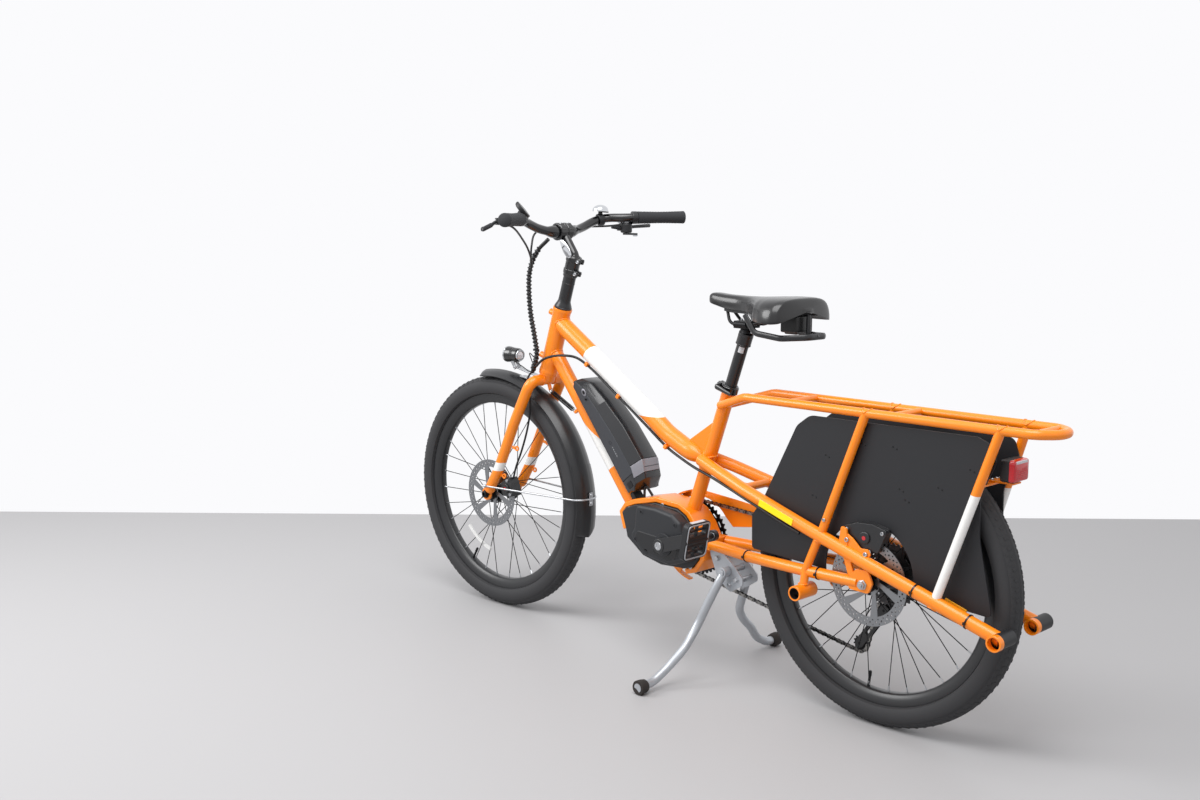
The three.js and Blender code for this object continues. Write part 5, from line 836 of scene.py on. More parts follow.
def build_rails():
    for side, word in SIDES:
        line = rounded(rail_points(side), 220, 5)
        bridge = bridge_end(side)
        runs = [(line, 14)]
        if side == LEFT:
            runs.append(([bridge, at(bridge.x, -bridge.y, bridge.z)], 9))
        tubes(f"side_rail_{word}_tube", "frame", ORANGE_COAT, runs, (f"side_rail_{word}",), 8)
        stay = rounded(stay_points(side), 160, 5)
        socket = at(SOCKET_AHEAD, 0, SOCKET_HEIGHT)
        strut = [on_rail(115, side), at(SOCKET_AHEAD, 66 * side, TYRE_RADIUS),
                 socket + ACROSS * RAIL_SPREAD * side]
        tubes(f"chainstay_{word}_tube", "frame", ORANGE_COAT, [(stay, 12.5), (rounded(strut, 24), 9)],
              (f"chainstay_{word}",), 8)
        tail = at(RAIL_TAIL, 0, SOCKET_HEIGHT)
        sockets = bmesh.new()
        tube_ring(sockets, 16, 12.5, *spans(42, 104, side), socket)
        tube_ring(sockets, 16, 12.5, *(spans(90, 104, side) if side == LEFT else spans(42, 56, side)), tail)
        put_down(f"step_sockets_{word}", "frame", ORANGE_COAT, sockets)
        sleeve = bmesh.new()
        tube_ring(sleeve, 15.7, 12.5, *(spans(42, 90, side) if side == LEFT else spans(56, 104, side)), tail)
        tube_ring(sleeve, 12.6, 11.4, *spans(44, 103, side), socket, chamfer=0.3)
        put_down(f"socket_sleeves_{word}", "frame", BLACK_ABS, sleeve)
        top = socket + at(0, RAIL_SPREAD * side, 15.4)
        bead = ellipse(top, at(9.4, 0, 0), ACROSS * 9.4, 20, True)
        tubes(f"socket_welds_{word}", "frame", ORANGE_COAT, [(bead, 1.8)], sides=2)
    runs = []
    for side in (LEFT, RIGHT):
        end = bridge_end(side) - ACROSS * 12 * side
        runs.append((ellipse(end, at(9.4, 0, 0), UP * 9.4, 20, True), 1.8))
    tubes("bridge_welds", "frame", ORANGE_COAT, runs, sides=2)


def build_dropouts():
    for side, word in SIDES:
        bm = bmesh.new()
        outline = soft_outline([(REAR_AXLE.x + x, REAR_AXLE.z + z) for x, z in
                                ((35, -15), (35, 10), (17, 30), (-12, 30), (-23, 5), (-14, -17))], 9)
        plate(bm, outline, *spans(67.8, 74, side))
        if side == RIGHT:
            hanger = soft_outline([(22, TYRE_RADIUS), (-4, TYRE_RADIUS), (-2, TYRE_RADIUS - 34),
                                   (17, TYRE_RADIUS - 34)], 5)
            plate(bm, hanger, *spans(67.8, 74, side))
        else:
            tab = soft_outline([(24, 330), (36, 322), (62, 392), (58, 425), (44, 420), (40, 380)], 5)
            plate(bm, tab, *spans(66.5, 72.5, side))
            ears = soft_outline([(30, 350), (49, 362), (58, 402), (44, 411), (30, 403), (10, 385), (-8, 386),
                                 (-15, 374), (-2, 363), (20, 370)], 6)
            plate(bm, ears, *spans(66.5, 70.5, side))
        put_down(f"rear_dropout_{word}", "frame", ORANGE_COAT, bm, bevel=1)
        nut = bmesh.new()
        if side == LEFT:
            for x, z in ((43, 398), (-3, 375)):
                bolt_head(nut, at(x, 70.5, z), ACROSS, 5, 4)
        turned(nut, [(0, 0), (11, 0), (11, 2), (8.6, 3), (8.6, 8), (5, 8.6), (5, 12), (0, 12)],
               at(0, 74 * side, TYRE_RADIUS), ACROSS * side, 6)
        put_down(f"rear_axle_nut_{word}", "frame", ZINC, nut)


# Each upright's place on the rack and on the side rail, ahead of the rear axle, and its finish.
UPRIGHTS = (("front", 20, 113, ORANGE_COAT), ("rear", -277, -165, WHITE_UPRIGHT))


def build_rack():
    line = rack_points(LEFT) + rack_points(RIGHT)[::-1]
    runs = [(rounded(line, 44, 8), 9.5)]
    tubes("rack_loop", "frame", ORANGE_COAT, runs, ("rack",), 7)
    bars = []
    for x in (216, -43, -345):
        bars.append(([at(x, RACK_SPREAD, RACK_HEIGHT), at(x, -RACK_SPREAD, RACK_HEIGHT)], 8))
    tubes("rack_cross_bars", "frame", ORANGE_COAT, bars, sides=6)
    for side, word in SIDES:
        welds = []
        for end, on_top, foot, paint in UPRIGHTS:
            high, low = at(on_top, RACK_SPREAD * side, RACK_HEIGHT), on_rail(foot, side)
            tubes(f"upright_{end}_{word}_tube", "frame", paint, [([high, low], 9.5)],
                  (f"upright_{end}_{word}",), 7)
            rack_rail = at(0, RACK_SPREAD * side, RACK_HEIGHT)
            top_bead = weld(high + (low - high) * 0.1, high - low, 9.5, rack_rail, (1, 0, 0), 9.5, 20)
            welds.append((top_bead, 1.6))
            rail_run = on_rail(foot - 20, side) - on_rail(foot + 20, side)
            welds.append((weld(low + (high - low) * 0.2, low - high, 9.5, low, rail_run, 14, 20), 1.8))
        tubes(f"rack_welds_{word}", "frame", ORANGE_COAT, welds, sides=2)
    bm = bmesh.new()
    on_top, foot = UPRIGHTS[0][1:3]
    place = mix(at(on_top, RACK_SPREAD, RACK_HEIGHT), on_rail(foot, LEFT), 0.86)
    bolt_head(bm, place + at(0, 9, 0), ACROSS, 4, 3)
    put_down("upright_bolt", "frame", ZINC, bm)


PANEL_TOP = [(162.4, 638.9), (195.8, 614.1), (277.1, 449.9), (311, 399.8)]
PANEL_REAR = [(-272.8, 296), (-265.2, 334), (-240, 445), (-237.7, 529.9), (-268, 596), (-256.5, 629),
              (-227.2, 641)]
PANEL_DOTS = ((-42, 598), (-74, 495), (-147, 531), (-214, 576), (32, 596), (-60, 515), (120, 560), (150, 470))


def build_panels():
    window = (6, 330)
    for side, word in SIDES:
        if side == LEFT:
            foot = [(309.2, 326), (147.2, 319.1)] + arc(window, 106, -7, 193, 40)
        else:
            foot = [(309.5, 392)] + arc(window, 106, 35.8, 193, 34)
        bends = [30, 34, 60, 14] + [9, 12, *[0.1] * (len(foot) - 2)] + [10, 40, 120, 30, 20, 20, 16]
        bm = bmesh.new()
        plate(bm, soft_outline(PANEL_TOP + foot + PANEL_REAR, bends), *spans(42.2, 45.6, side))
        put_down(f"side_panel_{word}_sheet", "frame", PANEL_ABS, bm, (f"side_panel_{word}",), bevel=0.9)
        dots = bmesh.new()
        for x, z in PANEL_DOTS:
            for gap in (0, 9):
                disc(dots, 1.9, *spans(44, 46.1, side), at(x - gap, 0, z - gap * 0.4), sides=12)
        put_down(f"panel_rivets_{word}", "frame", GLOSSY_ABS, dots)
    ties = []
    for ahead in (-120, -240):
        for side in (LEFT, RIGHT):
            ties.append((on_rail(ahead, side), on_rail(ahead - 10, side) - on_rail(ahead + 10, side)))
    band("rail_zip_ties", "frame", GLOSSY_ABS, ties, 14)
    stay = rounded(stay_points(LEFT), 160, 5)
    band("stay_zip_ties", "frame", GLOSSY_ABS,
         [(on_line(stay, x), on_line(stay, x - 8) - on_line(stay, x + 8)) for x in (322, 116)], 12.5)


def build_reflectors():
    tapes, bars = bmesh.new(), bmesh.new()
    for side in (LEFT, RIGHT):
        start, end = on_rail(272, side), on_rail(177, side)
        across = (end - start).cross(UP).normalized()
        across = across if across.y * side > 0 else -across
        lift = across.cross(end - start).normalized()
        bar(tapes, start + across * 14, end + across * 14, 15, 1.4, lift)
        bar(bars, at(-173, 47.2 * side, 311), at(-220, 47.2 * side, 296), 12, 3, at(-0.29, 0, 0.96))
    put_down("rail_reflective_tapes", "frame", YELLOW_TAPE, tapes, bevel=0.4)
    put_down("panel_reflector_bars", "frame", AMBER_LENS, bars, bevel=0.8)


def build_clips():
    """Small clips that hold the rear cable under the top tube."""
    bm = bmesh.new()
    for x, y, z in ((868, 10, 684), (758, 10, 615), (598, 12, 512)):
        box(bm, at(x, y, z), (9, 15, 11), Matrix.Rotation(math.radians(-33), 4, "Y"))
    put_down("top_tube_cable_clips", "frame", ORANGE_COAT, bm, bevel=1.2)


build_head_tube()
build_main_tubes()
build_spring_tab()
build_seat_tube()
build_bracket()
build_chain_guard()
build_rails()
build_dropouts()
build_rack()
build_panels()
build_reflectors()
build_clips()


# Wheels and drive


def around(centre, radius, degrees, y=0):
    angle = math.radians(degrees)
    return at(centre.x + radius * math.cos(angle), y, centre.z + radius * math.sin(angle))


def toothed(centre, root, tip, teeth):
    """A gear's outline in the side view: four points for each tooth."""
    made = []
    for k in range(teeth):
        for share, radius in ((0, root), (0.3, root), (0.5, tip), (0.72, tip)):
            point = around(centre, radius, 360 * (k + share) / teeth)
            made.append((point.x, point.z))
    return made


def build_tyre(word, body, axle):
    crown = TYRE_RADIUS - TYRE_WIDTH / 2
    profile = [(256, -13), (258, -14.2), (264.3, -14.2)]
    for k in range(41):
        angle = mix(-122, 122, k / 40)
        groove = 1.3 if abs(abs(angle) - 14) < 3.2 or abs(abs(angle) - 52) < 3.2 else 0
        reach = TYRE_WIDTH / 2 - groove
        angle = math.radians(angle)
        profile.append((crown + reach * math.cos(angle), reach * math.sin(angle)))
    profile += [(264.3, 14.2), (258, 14.2), (256, 13), (300, 0), (256, -13)]
    bm = bmesh.new()
    turned(bm, profile, axle, ACROSS, 120)
    put_down(f"{word}_tyre_body", body, TYRE_RUBBER, bm, (f"{word}_tyre",))
    blocks = bmesh.new()
    count = 96
    for k in range(count):
        for side in (LEFT, RIGHT):
            for lean, size in ((26, (6.5, 9, 2.4)), (42, (5.5, 7, 2.2))):
                turn = 360 * (k + (0.5 if side < 0 else 0) + (0.5 if lean > 30 else 0)) / count
                roll = Matrix.Rotation(math.radians(-turn), 3, "Y")
                tilt = math.radians(lean)
                out = roll @ at(math.cos(tilt), math.sin(tilt) * side, 0)
                centre = around(axle, crown, turn) + out * (TYRE_WIDTH / 2 - 0.5)
                along = roll @ UP
                basis = Matrix((along, out.cross(along), out)).transposed().to_4x4()
                box(blocks, centre, size, basis @ Matrix.Rotation(0.35 * side, 4, "Z"))
    put_down(f"{word}_tread_blocks", body, TYRE_RUBBER, blocks)


def build_rim(word, body, axle):
    bm = bmesh.new()
    rim = [(264, 14.4), (265, 16), (264.6, 17.5), (262, 17.8), (252, 15.6), (243, 11.5), (240, 8)]
    rim += [(r, -y) for r, y in rim[::-1]] + [(255, -14), (255, 14), rim[0]]
    turned(bm, rim, axle, ACROSS, 120)
    put_down(f"{word}_rim", body, SATIN_BLACK, bm, (f"{word}_wheel",), sharp=50)


def build_hub(word, body, axle, left_flange, right_flange, half, rotor_y, right_shell):
    hub = bmesh.new()
    a, b = left_flange, -right_flange
    profile = [(0, -half), (9.6, -half), (9.6, -right_shell), (15.5, -right_shell), (16, b - 4), (29, b - 4),
               (30.5, b - 2.6), (30.5, b + 1.6), (29, b + 3), (19, b + 6), (15.5, 0), (19, a - 6),
               (29, a - 3), (30.5, a - 1.6), (30.5, a + 2.6), (29, a + 4), (20, a + 4), (20, rotor_y - 0.5),
               (13.6, rotor_y - 0.5), (13.6, rotor_y + 4), (9.6, rotor_y + 5), (9.6, half), (0, half)]
    turned(hub, profile, axle, ACROSS, 40)
    put_down(f"{word}_hub", body, SATIN_BLACK, hub, sharp=30)


def build_spokes(word, body, axle, left_flange, right_flange):
    runs, nipples = [], bmesh.new()
    for k in range(32):
        left = k % 2 == 0
        leading = k % 4 < 2
        rim_angle = (k + 0.5) * 360 / 32
        y = (left_flange if left else -right_flange) + (2.6 if leading else -2.6)
        start = around(axle, 26.5, rim_angle + (60 if leading else -60), y)
        end = around(axle, 240, rim_angle)
        runs.append(([start, end], 1.05))
        along = (end - start).normalized()
        rod(nipples, end - along * 12, end, 1.7, 8, 2.0)
        rod(nipples, start + ACROSS * (1.6 if leading else -1.6), start, 2.3, 8)
    tubes(f"{word}_spokes", body, BLACK_STEEL, runs, sides=1)
    put_down(f"{word}_spoke_nipples", body, ZINC, nipples)


def build_rotor(word, body, axle, rotor_y):
    rotor = bmesh.new()
    holes = []
    for k in range(6):
        a = 60 * k
        inner = arc(axle, 26, a + 46, a + 6, 5)
        outer = arc(axle, 71, a + 24, a + 70, 7)
        holes.append(outer + inner)
    for k in range(36):
        for radius, size, turn in ((86, 1.8, 0), (81, 2.2, 5), (76, 1.8, 0)):
            hole = around(axle, radius, k * 10 + turn)
            holes.append(circle((hole.x, hole.z), size, 7))
    plate(rotor, circle(axle, 90, 96), rotor_y, rotor_y + 2, [circle(axle, 13.8, 32), *holes])
    put_down(f"{word}_rotor_disc", body, ROTOR_STEEL, rotor, (f"{word}_rotor",))
    lock = bmesh.new()
    tube_ring(lock, 19.5, 13.8, rotor_y + 2, rotor_y + 4.6, axle, sides=32)
    for k in range(6):
        bolt_head(lock, around(axle, 22.4, 60 * k + 20, rotor_y + 2), ACROSS, 3, 2)
    put_down(f"{word}_rotor_lockring", body, BLACK_STEEL, lock)


def build_spoke_reflector():
    strip = bmesh.new()
    plate(strip, arc(FRONT_AXLE, 183, -41, -74, 8) + arc(FRONT_AXLE, 174, -74, -41, 8), -3, 3)
    put_down("front_spoke_reflector", "front_wheel_set", WHITE_PLASTIC, strip, bevel=1)


def build_valve(word, body, axle):
    valve = bmesh.new()
    spot = around(axle, 240, -84 if word == "rear" else -60)
    inward = (axle - spot).normalized()
    stem = [(0, -1), (3.4, -1), (3.4, 2), (2.9, 3), (2.9, 22), (3.5, 22), (3.5, 32), (2.6, 34), (0, 34)]
    turned(valve, stem, spot, inward, 16)
    put_down(f"{word}_valve", body, BLACK_STEEL, valve)


def build_wheel(word, body, axle, left_flange, right_flange, half, rotor_y, right_shell):
    build_tyre(word, body, axle)
    build_rim(word, body, axle)
    build_hub(word, body, axle, left_flange, right_flange, half, rotor_y, right_shell)
    build_spokes(word, body, axle, left_flange, right_flange)
    build_rotor(word, body, axle, rotor_y)
    if word == "front":
        build_spoke_reflector()
    build_valve(word, body, axle)


def build_caliper(word, body, axle, inner, outer, start, end, low, high, rotor_y, stands_for):
    bm = bmesh.new()
    for a, b in ((low, rotor_y - 2.6), (rotor_y + 4.6, high)):
        outline = soft_outline(arc(axle, outer, start, end, 3) + arc(axle, inner, end, start, 3), 6, 3)
        plate(bm, outline, a, b)
    rim = soft_outline(arc(axle, outer, start, end, 3) + arc(axle, 93, end, start, 3), 4, 3)
    plate(bm, rim, rotor_y - 3, rotor_y + 5)
    middle = (start + end) / 2
    disc(bm, 13, rotor_y + 4, high + 3.5, around(axle, (inner + outer) / 2 - 4, middle), ACROSS, 28, 1.5)
    put_down(f"{word}_caliper_body", body, SATIN_BLACK, bm, (stands_for,), bevel=2.2, segments=3)
    dots = bmesh.new()
    disc(dots, 4.4, high + 3.4, high + 4.1, around(axle, (inner + outer) / 2 - 4, middle), ACROSS, 24)
    put_down(f"{word}_caliper_dot", body, RED_LENS, dots)
    bolts = bmesh.new()
    for turn in (start + 3.5, end - 3.5):
        bolt_head(bolts, around(axle, outer - 9, turn, high), ACROSS, 4.2, 4)
    put_down(f"{word}_caliper_bolts", body, ZINC, bolts)


def build_cassette():
    bm = bmesh.new()
    rings = ((33, 69, 34), (36.4, 62.5, 31), (39.8, 56, 28), (43.2, 50, 25), (46.6, 44, 22), (50, 38, 19),
             (53.2, 33, 17), (56.2, 28, 14), (58.6, 24, 12))
    for y, radius, teeth in rings:
        holes = [circle(REAR_AXLE, 16.4, 24)]
        if radius > 45:
            for k in range(6):
                a = 60 * k
                edge = arc(REAR_AXLE, radius - 9, a, a + 40, 4)
                holes.append(edge + arc(REAR_AXLE, radius - 19, a + 38, a + 4, 4))
        plate(bm, toothed(REAR_AXLE, radius - 4.2, radius, teeth), -y - 1.8, -y, holes)
    tube_ring(bm, 22, 16.4, -59.4, -34, REAR_AXLE, sides=32)
    put_down("cassette_sprockets", "gears", DARK_STEEL, bm, ("cassette",))


def chain_path():
    """The chain's middle line in the side view, with every wheel's way round."""
    wraps = [(BRACKET, 89, 1), (REAR_AXLE, 45, 1), (UPPER_PULLEY, 19, -1), (LOWER_PULLEY, 19, 1)]
    joints = []
    for i, (centre, radius, turn) in enumerate(wraps):
        to, to_radius, to_turn = wraps[(i + 1) % 4]
        gap = to - centre
        lift = math.acos((radius * turn - to_radius * to_turn) / gap.length)
        normal = math.atan2(gap.z, gap.x) - lift
        joints.append((normal if turn > 0 else normal + math.pi, normal if to_turn > 0 else normal + math.pi))
    line = []
    for i, (centre, radius, turn) in enumerate(wraps):
        start, end = joints[i - 1][1], joints[i][0]
        while turn > 0 and end < start:
            end += math.tau
        while turn < 0 and end > start:
            end -= math.tau
        steps = max(4, int(abs(end - start) / 0.06))
        for k in range(steps + 1):
            line.append(around(centre, radius, math.degrees(mix(start, end, k / steps)), CHAIN_LINE))
    return [*line, line[0]]


def build_chain():
    line = chain_path()
    count = 2 * round(line_length(line) / 12.7 / 2)
    pitch = line_length(line) / count
    pins, gone, step = [], 0, 0
    for a, b in zip(line, line[1:]):
        run = (b - a).length
        while step < count and step * pitch <= gone + run + 1e-6:
            pins.append(mix(a, b, (step * pitch - gone) / run if run else 0))
            step += 1
        gone += run
    outer, inner = bmesh.new(), bmesh.new()
    for k, pin in enumerate(pins):
        after = pins[(k + 1) % len(pins)]
        along = (after - pin).normalized()
        normal = along.cross(ACROSS)
        bm, far = (outer, 3.3) if k % 2 else (inner, 2.1)
        shape = []
        for place, run, wide in ((pin, -3.4, 1.6), (pin, 0, 4.0), (mix(pin, after, 0.5), 0, 2.7),
                                 (after, 0, 4.0), (after, 3.4, 1.6)):
            shape.append((place + along * run, wide))
        edge = [p + normal * w for p, w in shape] + [p - normal * w for p, w in shape[::-1]]
        for side in (far, -far):
            plate(bm, edge, CHAIN_LINE + side - 0.55, CHAIN_LINE + side + 0.55)
        rod(inner, pin - ACROSS * 4, pin + ACROSS * 4, 2.0, 8)
    put_down("chain_outer_links", "frame", LINK_STEEL, outer, ("chain",))
    put_down("chain_inner_links", "frame", DARK_STEEL, inner)


def crank_tip(side):
    return around(BRACKET, 170, 180 - 18.3 if side > 0 else -18.3)


def build_cranks():
    for side, word in SIDES:
        tip = crank_tip(side)
        heading = math.degrees(math.atan2(tip.z - BRACKET.z, tip.x - BRACKET.x))
        outline = arc(BRACKET, 17, heading + 80, heading + 280, 14)
        outline += arc(tip, 12.5, heading - 84, heading + 84, 12)
        bm = bmesh.new()
        plate(bm, outline, *spans(83, 93, side))
        disc(bm, 16.5, *spans(80, 94.5, side), BRACKET, chamfer=1)
        put_down(f"crank_{word}_arm", "cranks", SATIN_BLACK, bm, (f"crank_{word}",), bevel=2.6, segments=3)
        cap = bmesh.new()
        turned(cap, [(0, 0.3), (5, 0.3), (5.4, 1.2), (9.4, 1.2), (10, 0.4), (10, -1), (0, -1)],
               at(BRACKET.x, 94.5 * side, BRACKET.z), ACROSS * side, 28)
        turned(cap, [(0, 0.3), (4, 0.3), (4.4, 1), (7, 1), (7.4, 0), (0, 0)], at(tip.x, 93 * side, tip.z),
               ACROSS * side, 24)
        put_down(f"crank_{word}_bolts", "cranks", ZINC, cap)


def build_chainring():
    bm = bmesh.new()
    slots = [arc(BRACKET, 79, a, a + 10, 3) + arc(BRACKET, 74, a + 10, a, 3) for a in range(0, 360, 18)]
    windows = []
    for a in range(0, 360, 72):
        window = arc(BRACKET, 66, a + 14, a + 62, 4) + arc(BRACKET, 32, a + 54, a + 22, 3)
        windows.append(soft_outline(window, 5, 3))
    plate(bm, toothed(BRACKET, 85.5, 90.5, 44), -49, -46, [*slots, *windows, circle(BRACKET, 12, 24)])
    disc(bm, 24, -49.5, -44.5, BRACKET, chamfer=0.8)
    put_down("chainring", "cranks", BLACK_STEEL, bm)
    shaft = bmesh.new()
    disc(shaft, 10, -86, 86, BRACKET, sides=32)
    disc(shaft, 15, -82, -48, BRACKET, sides=32, chamfer=1)
    put_down("crank_spindle", "cranks", DARK_STEEL, shaft)


def rectangle(half_long, half_wide, radius):
    """A rounded rectangle of (x, y)."""
    return soft_outline([(-half_long, -half_wide), (half_long, -half_wide), (half_long, half_wide),
                         (-half_long, half_wide)], radius, 6)


def build_pedals():
    for side, word in SIDES:
        tip = crank_tip(side)
        body = f"{word}_pedal"
        lay = (Matrix.Translation(at(tip.x, 151 * side, tip.z)) @ Matrix.Rotation(math.radians(-100), 4, "Y")
               @ Matrix.Rotation(math.radians(90), 4, "X"))
        bm = bmesh.new()
        windows = []
        for end in (1, -1):
            middle = end * 24
            windows.append([(x + middle, y) for x, y in rectangle(11.5, 27, 6)])
        plate(bm, rectangle(42.5, 38.5, 13), -7, 7, windows)
        rod(bm, at(0, 0, -38), at(0, 0, 38), 9, 24)
        for x in (-24, 24):
            box(bm, at(x, 0, 0), (3, 9, 54))
            box(bm, at(x, 0, 0), (24, 9, 3))
        bmesh.ops.transform(bm, matrix=lay, verts=bm.verts)
        rod(bm, at(tip.x, 85 * side, tip.z), at(tip.x, 113 * side, tip.z), 6.6, 20)
        put_down(f"pedal_{word}_body", body, BLACK_ABS, bm, (f"pedal_{word}",), bevel=1.1)
        runs = []
        for face in (7.2, -7.2):
            loop = [lay @ at(x, face, y) for x, y in rectangle(38.5, 34.5, 10)]
            runs.append(([*loop, loop[0]], 1.9))
        tubes(f"pedal_{word}_edge_strip", body, SILVER_PAINT, runs, sides=2)
        lens = bmesh.new()
        for end in (1, -1):
            box(lens, lay @ at(end * 42.4, 0, 0), (1.8, 44, 9), Matrix.Rotation(math.radians(-100), 4, "Y"))
        put_down(f"pedal_{word}_reflectors", body, LIGHT_LABEL, lens)


def build_derailleur():
    upper, lower = UPPER_PULLEY, LOWER_PULLEY
    along = (lower - upper).normalized()
    normal = at(along.z, 0, -along.x)
    bm = bmesh.new()
    edge = [upper - along * 12 + normal * 5, upper - along * 6 + normal * 11, lower + normal * 10,
            lower + normal * 5 + along * 12, lower - normal * 5 + along * 12, lower - normal * 10,
            upper - along * 6 - normal * 11, upper - along * 12 - normal * 5]
    middle = mix(upper, lower, 0.5)
    corners = ((-24, -4.5), (-24, 4.5), (24, 4.5), (24, -4.5))
    hole = soft_outline([middle + along * s + normal * w for s, w in corners], 4, 4)
    for side in (1, -1):
        near = CHAIN_LINE + side * 4.2
        plate(bm, soft_outline(edge, 5, 4), *sorted((near, near + side * 1.8)), [hole])
    put_down("derailleur_cage", "frame", SATIN_BLACK, bm, ("derailleur",), bevel=0.5)
    body = bmesh.new()
    hanger = at(9, 0, TYRE_RADIUS - 34 - 11)
    disc(body, 12, -77, -63, hanger, sides=32, chamfer=1.5)
    disc(body, 12.5, -68, -53, upper, sides=32, chamfer=1.5)
    bar(body, hanger + at(0, -66, 0), at(upper.x, -64, upper.z), 12, 17)
    bar(body, hanger + at(8, -72, 4), at(upper.x + 10, -66, upper.z + 4), 5, 8)
    bar(body, hanger + at(-6, -72, -2), at(upper.x - 8, -66, upper.z + 2), 5, 7)
    put_down("derailleur_body", "frame", SATIN_BLACK, body, bevel=2, segments=3)


def build_pulleys():
    wheels = bmesh.new()
    for centre in (UPPER_PULLEY, LOWER_PULLEY):
        plate(wheels, toothed(centre, 14, 17.5, 12), -49, -46, [circle(centre, 4, 12)])
        disc(wheels, 3.6, -53.6, -41.4, centre, sides=16, chamfer=0.6)
    put_down("derailleur_pulleys", "frame", BLACK_STEEL, wheels)


def build_drive_unit():
    low = from_bracket([(-20, -58), (40, -62), (100, -50), (152, -14)])
    core = bmesh.new()
    plate(core, shifted(BRACKET_OUTLINE, 13.6) + low, -38, 40)
    put_down("motor_core", "frame", MOTOR_GREY, core, ("drive_unit",), bevel=3, segments=3)
    points = from_bracket([(93, 81), (98, 25), (111, 3), (68, -37), (-14, -48), (-77, -27), (-46, 58),
                           (-21, 75), (31, 82)])
    cover = bmesh.new()
    plate(cover, soft_outline(points, 14, 5), 39.6, 75)
    put_down("motor_cover_left", "frame", MOTOR_GREY, cover, bevel=9, segments=4)
    rib = bmesh.new()
    points = from_bracket([(84, 20), (94, 4), (62, -27), (-10, -37), (-56, -22), (-46, 6), (20, 16)])
    plate(rib, soft_outline(points, 9, 4), 70, 76)
    put_down("motor_cover_lower_face", "frame", BLACK_ABS, rib, bevel=2.5, segments=3)
    inset = bmesh.new()
    points = from_bracket([(24, 2), (34, -24), (-36, -30), (-44, -4)])
    plate(inset, soft_outline(points, 6, 4), 74.6, 76.4)
    put_down("motor_cover_gloss_inset", "frame", GLOSSY_ABS, inset, bevel=0.5)


def build_motor_fasteners():
    rings = bmesh.new()
    tube_ring(rings, 27, 17.5, 73, 78.6, BRACKET, sides=48)
    bolts = bmesh.new()
    bosses = ((72, 66), (-34, 52), (90, -2), (-58, -18))
    for x, z in (*bosses, (56, -26)):
        tube_ring(rings, 5.6, 3, 74, 76, BRACKET + at(x, 0, z), sides=24, chamfer=0.4)
    put_down("motor_cover_bosses", "frame", MOTOR_GREY, rings)
    for x, z in bosses:
        bolt_head(bolts, BRACKET + at(x, 73.6, z), ACROSS, 3, 2)
    put_down("motor_cover_bolts", "frame", BLACK_STEEL, bolts)


def build_motor_right():
    right = bmesh.new()
    disc(right, 52, -40.5, -37, BRACKET + at(14, 0, 6), sides=64, chamfer=1.5)
    disc(right, 34, -43, -40, BRACKET, sides=48, chamfer=1.5)
    put_down("motor_cover_right", "frame", BLACK_ABS, right)


build_wheel("front", "front_wheel_set", FRONT_AXLE, 24, 33, half=50.7, rotor_y=38, right_shell=40)
build_wheel("rear", "rear_wheel_set", REAR_AXLE, 26, 20, half=67.5, rotor_y=51, right_shell=30)
build_caliper("rear", "frame", REAR_AXLE, 72, 126, 62, 112, 40, 64, 51, "rear_caliper")
build_cassette()
build_chain()
build_cranks()
build_chainring()
build_pedals()
build_derailleur()
build_pulleys()
build_drive_unit()
build_motor_fasteners()
build_motor_right()


# Steering and cockpit


def skin(bm, rings, caps=True):
    """Quads between closed rings of points, with both ends shut."""
    made = [[bm.verts.new(p) for p in ring] for ring in rings]
    for a, b in zip(made, made[1:]):
        for i in range(len(a)):
            j = (i + 1) % len(a)
            bm.faces.new((a[i], a[j], b[j], b[i]))
    if caps:
        bm.faces.new(made[0][::-1])
        bm.faces.new(made[-1])
    return made


def strap(bm, line, up, sizes, steps):
    """A bent flat bar along a line; sizes gives half its width and height at each point."""
    rings = []
    for i, (wide, tall) in enumerate(sizes):
        along = (line[min(i + 1, len(line) - 1)] - line[max(i - 1, 0)]).normalized()
        side = along.cross(up).normalized()
        rings.append(ellipse(line[i], side * wide, side.cross(along) * tall, steps, phase=0.5))
    skin(bm, rings)


def leg_points(side):
    top = CROWN + at(6, FORK_SPREAD * side, -24)
    tip = FRONT_AXLE + at(-6, FORK_SPREAD * side, 0)
    first, second = between(top, tip, [(0.36, 0, 0.324), (0.725, 0, 0.755)])
    end = mix(second, tip, 0.8)
    return rounded([CROWN, CROWN + ACROSS * FORK_SPREAD * side, first, second, end], 34, 8)


def on_leg(z, side):
    """The leg's middle at a height of its lower, straight part."""
    second, end = leg_points(side)[-2:]
    return mix(second, end, (z - second.z) / (end.z - second.z))


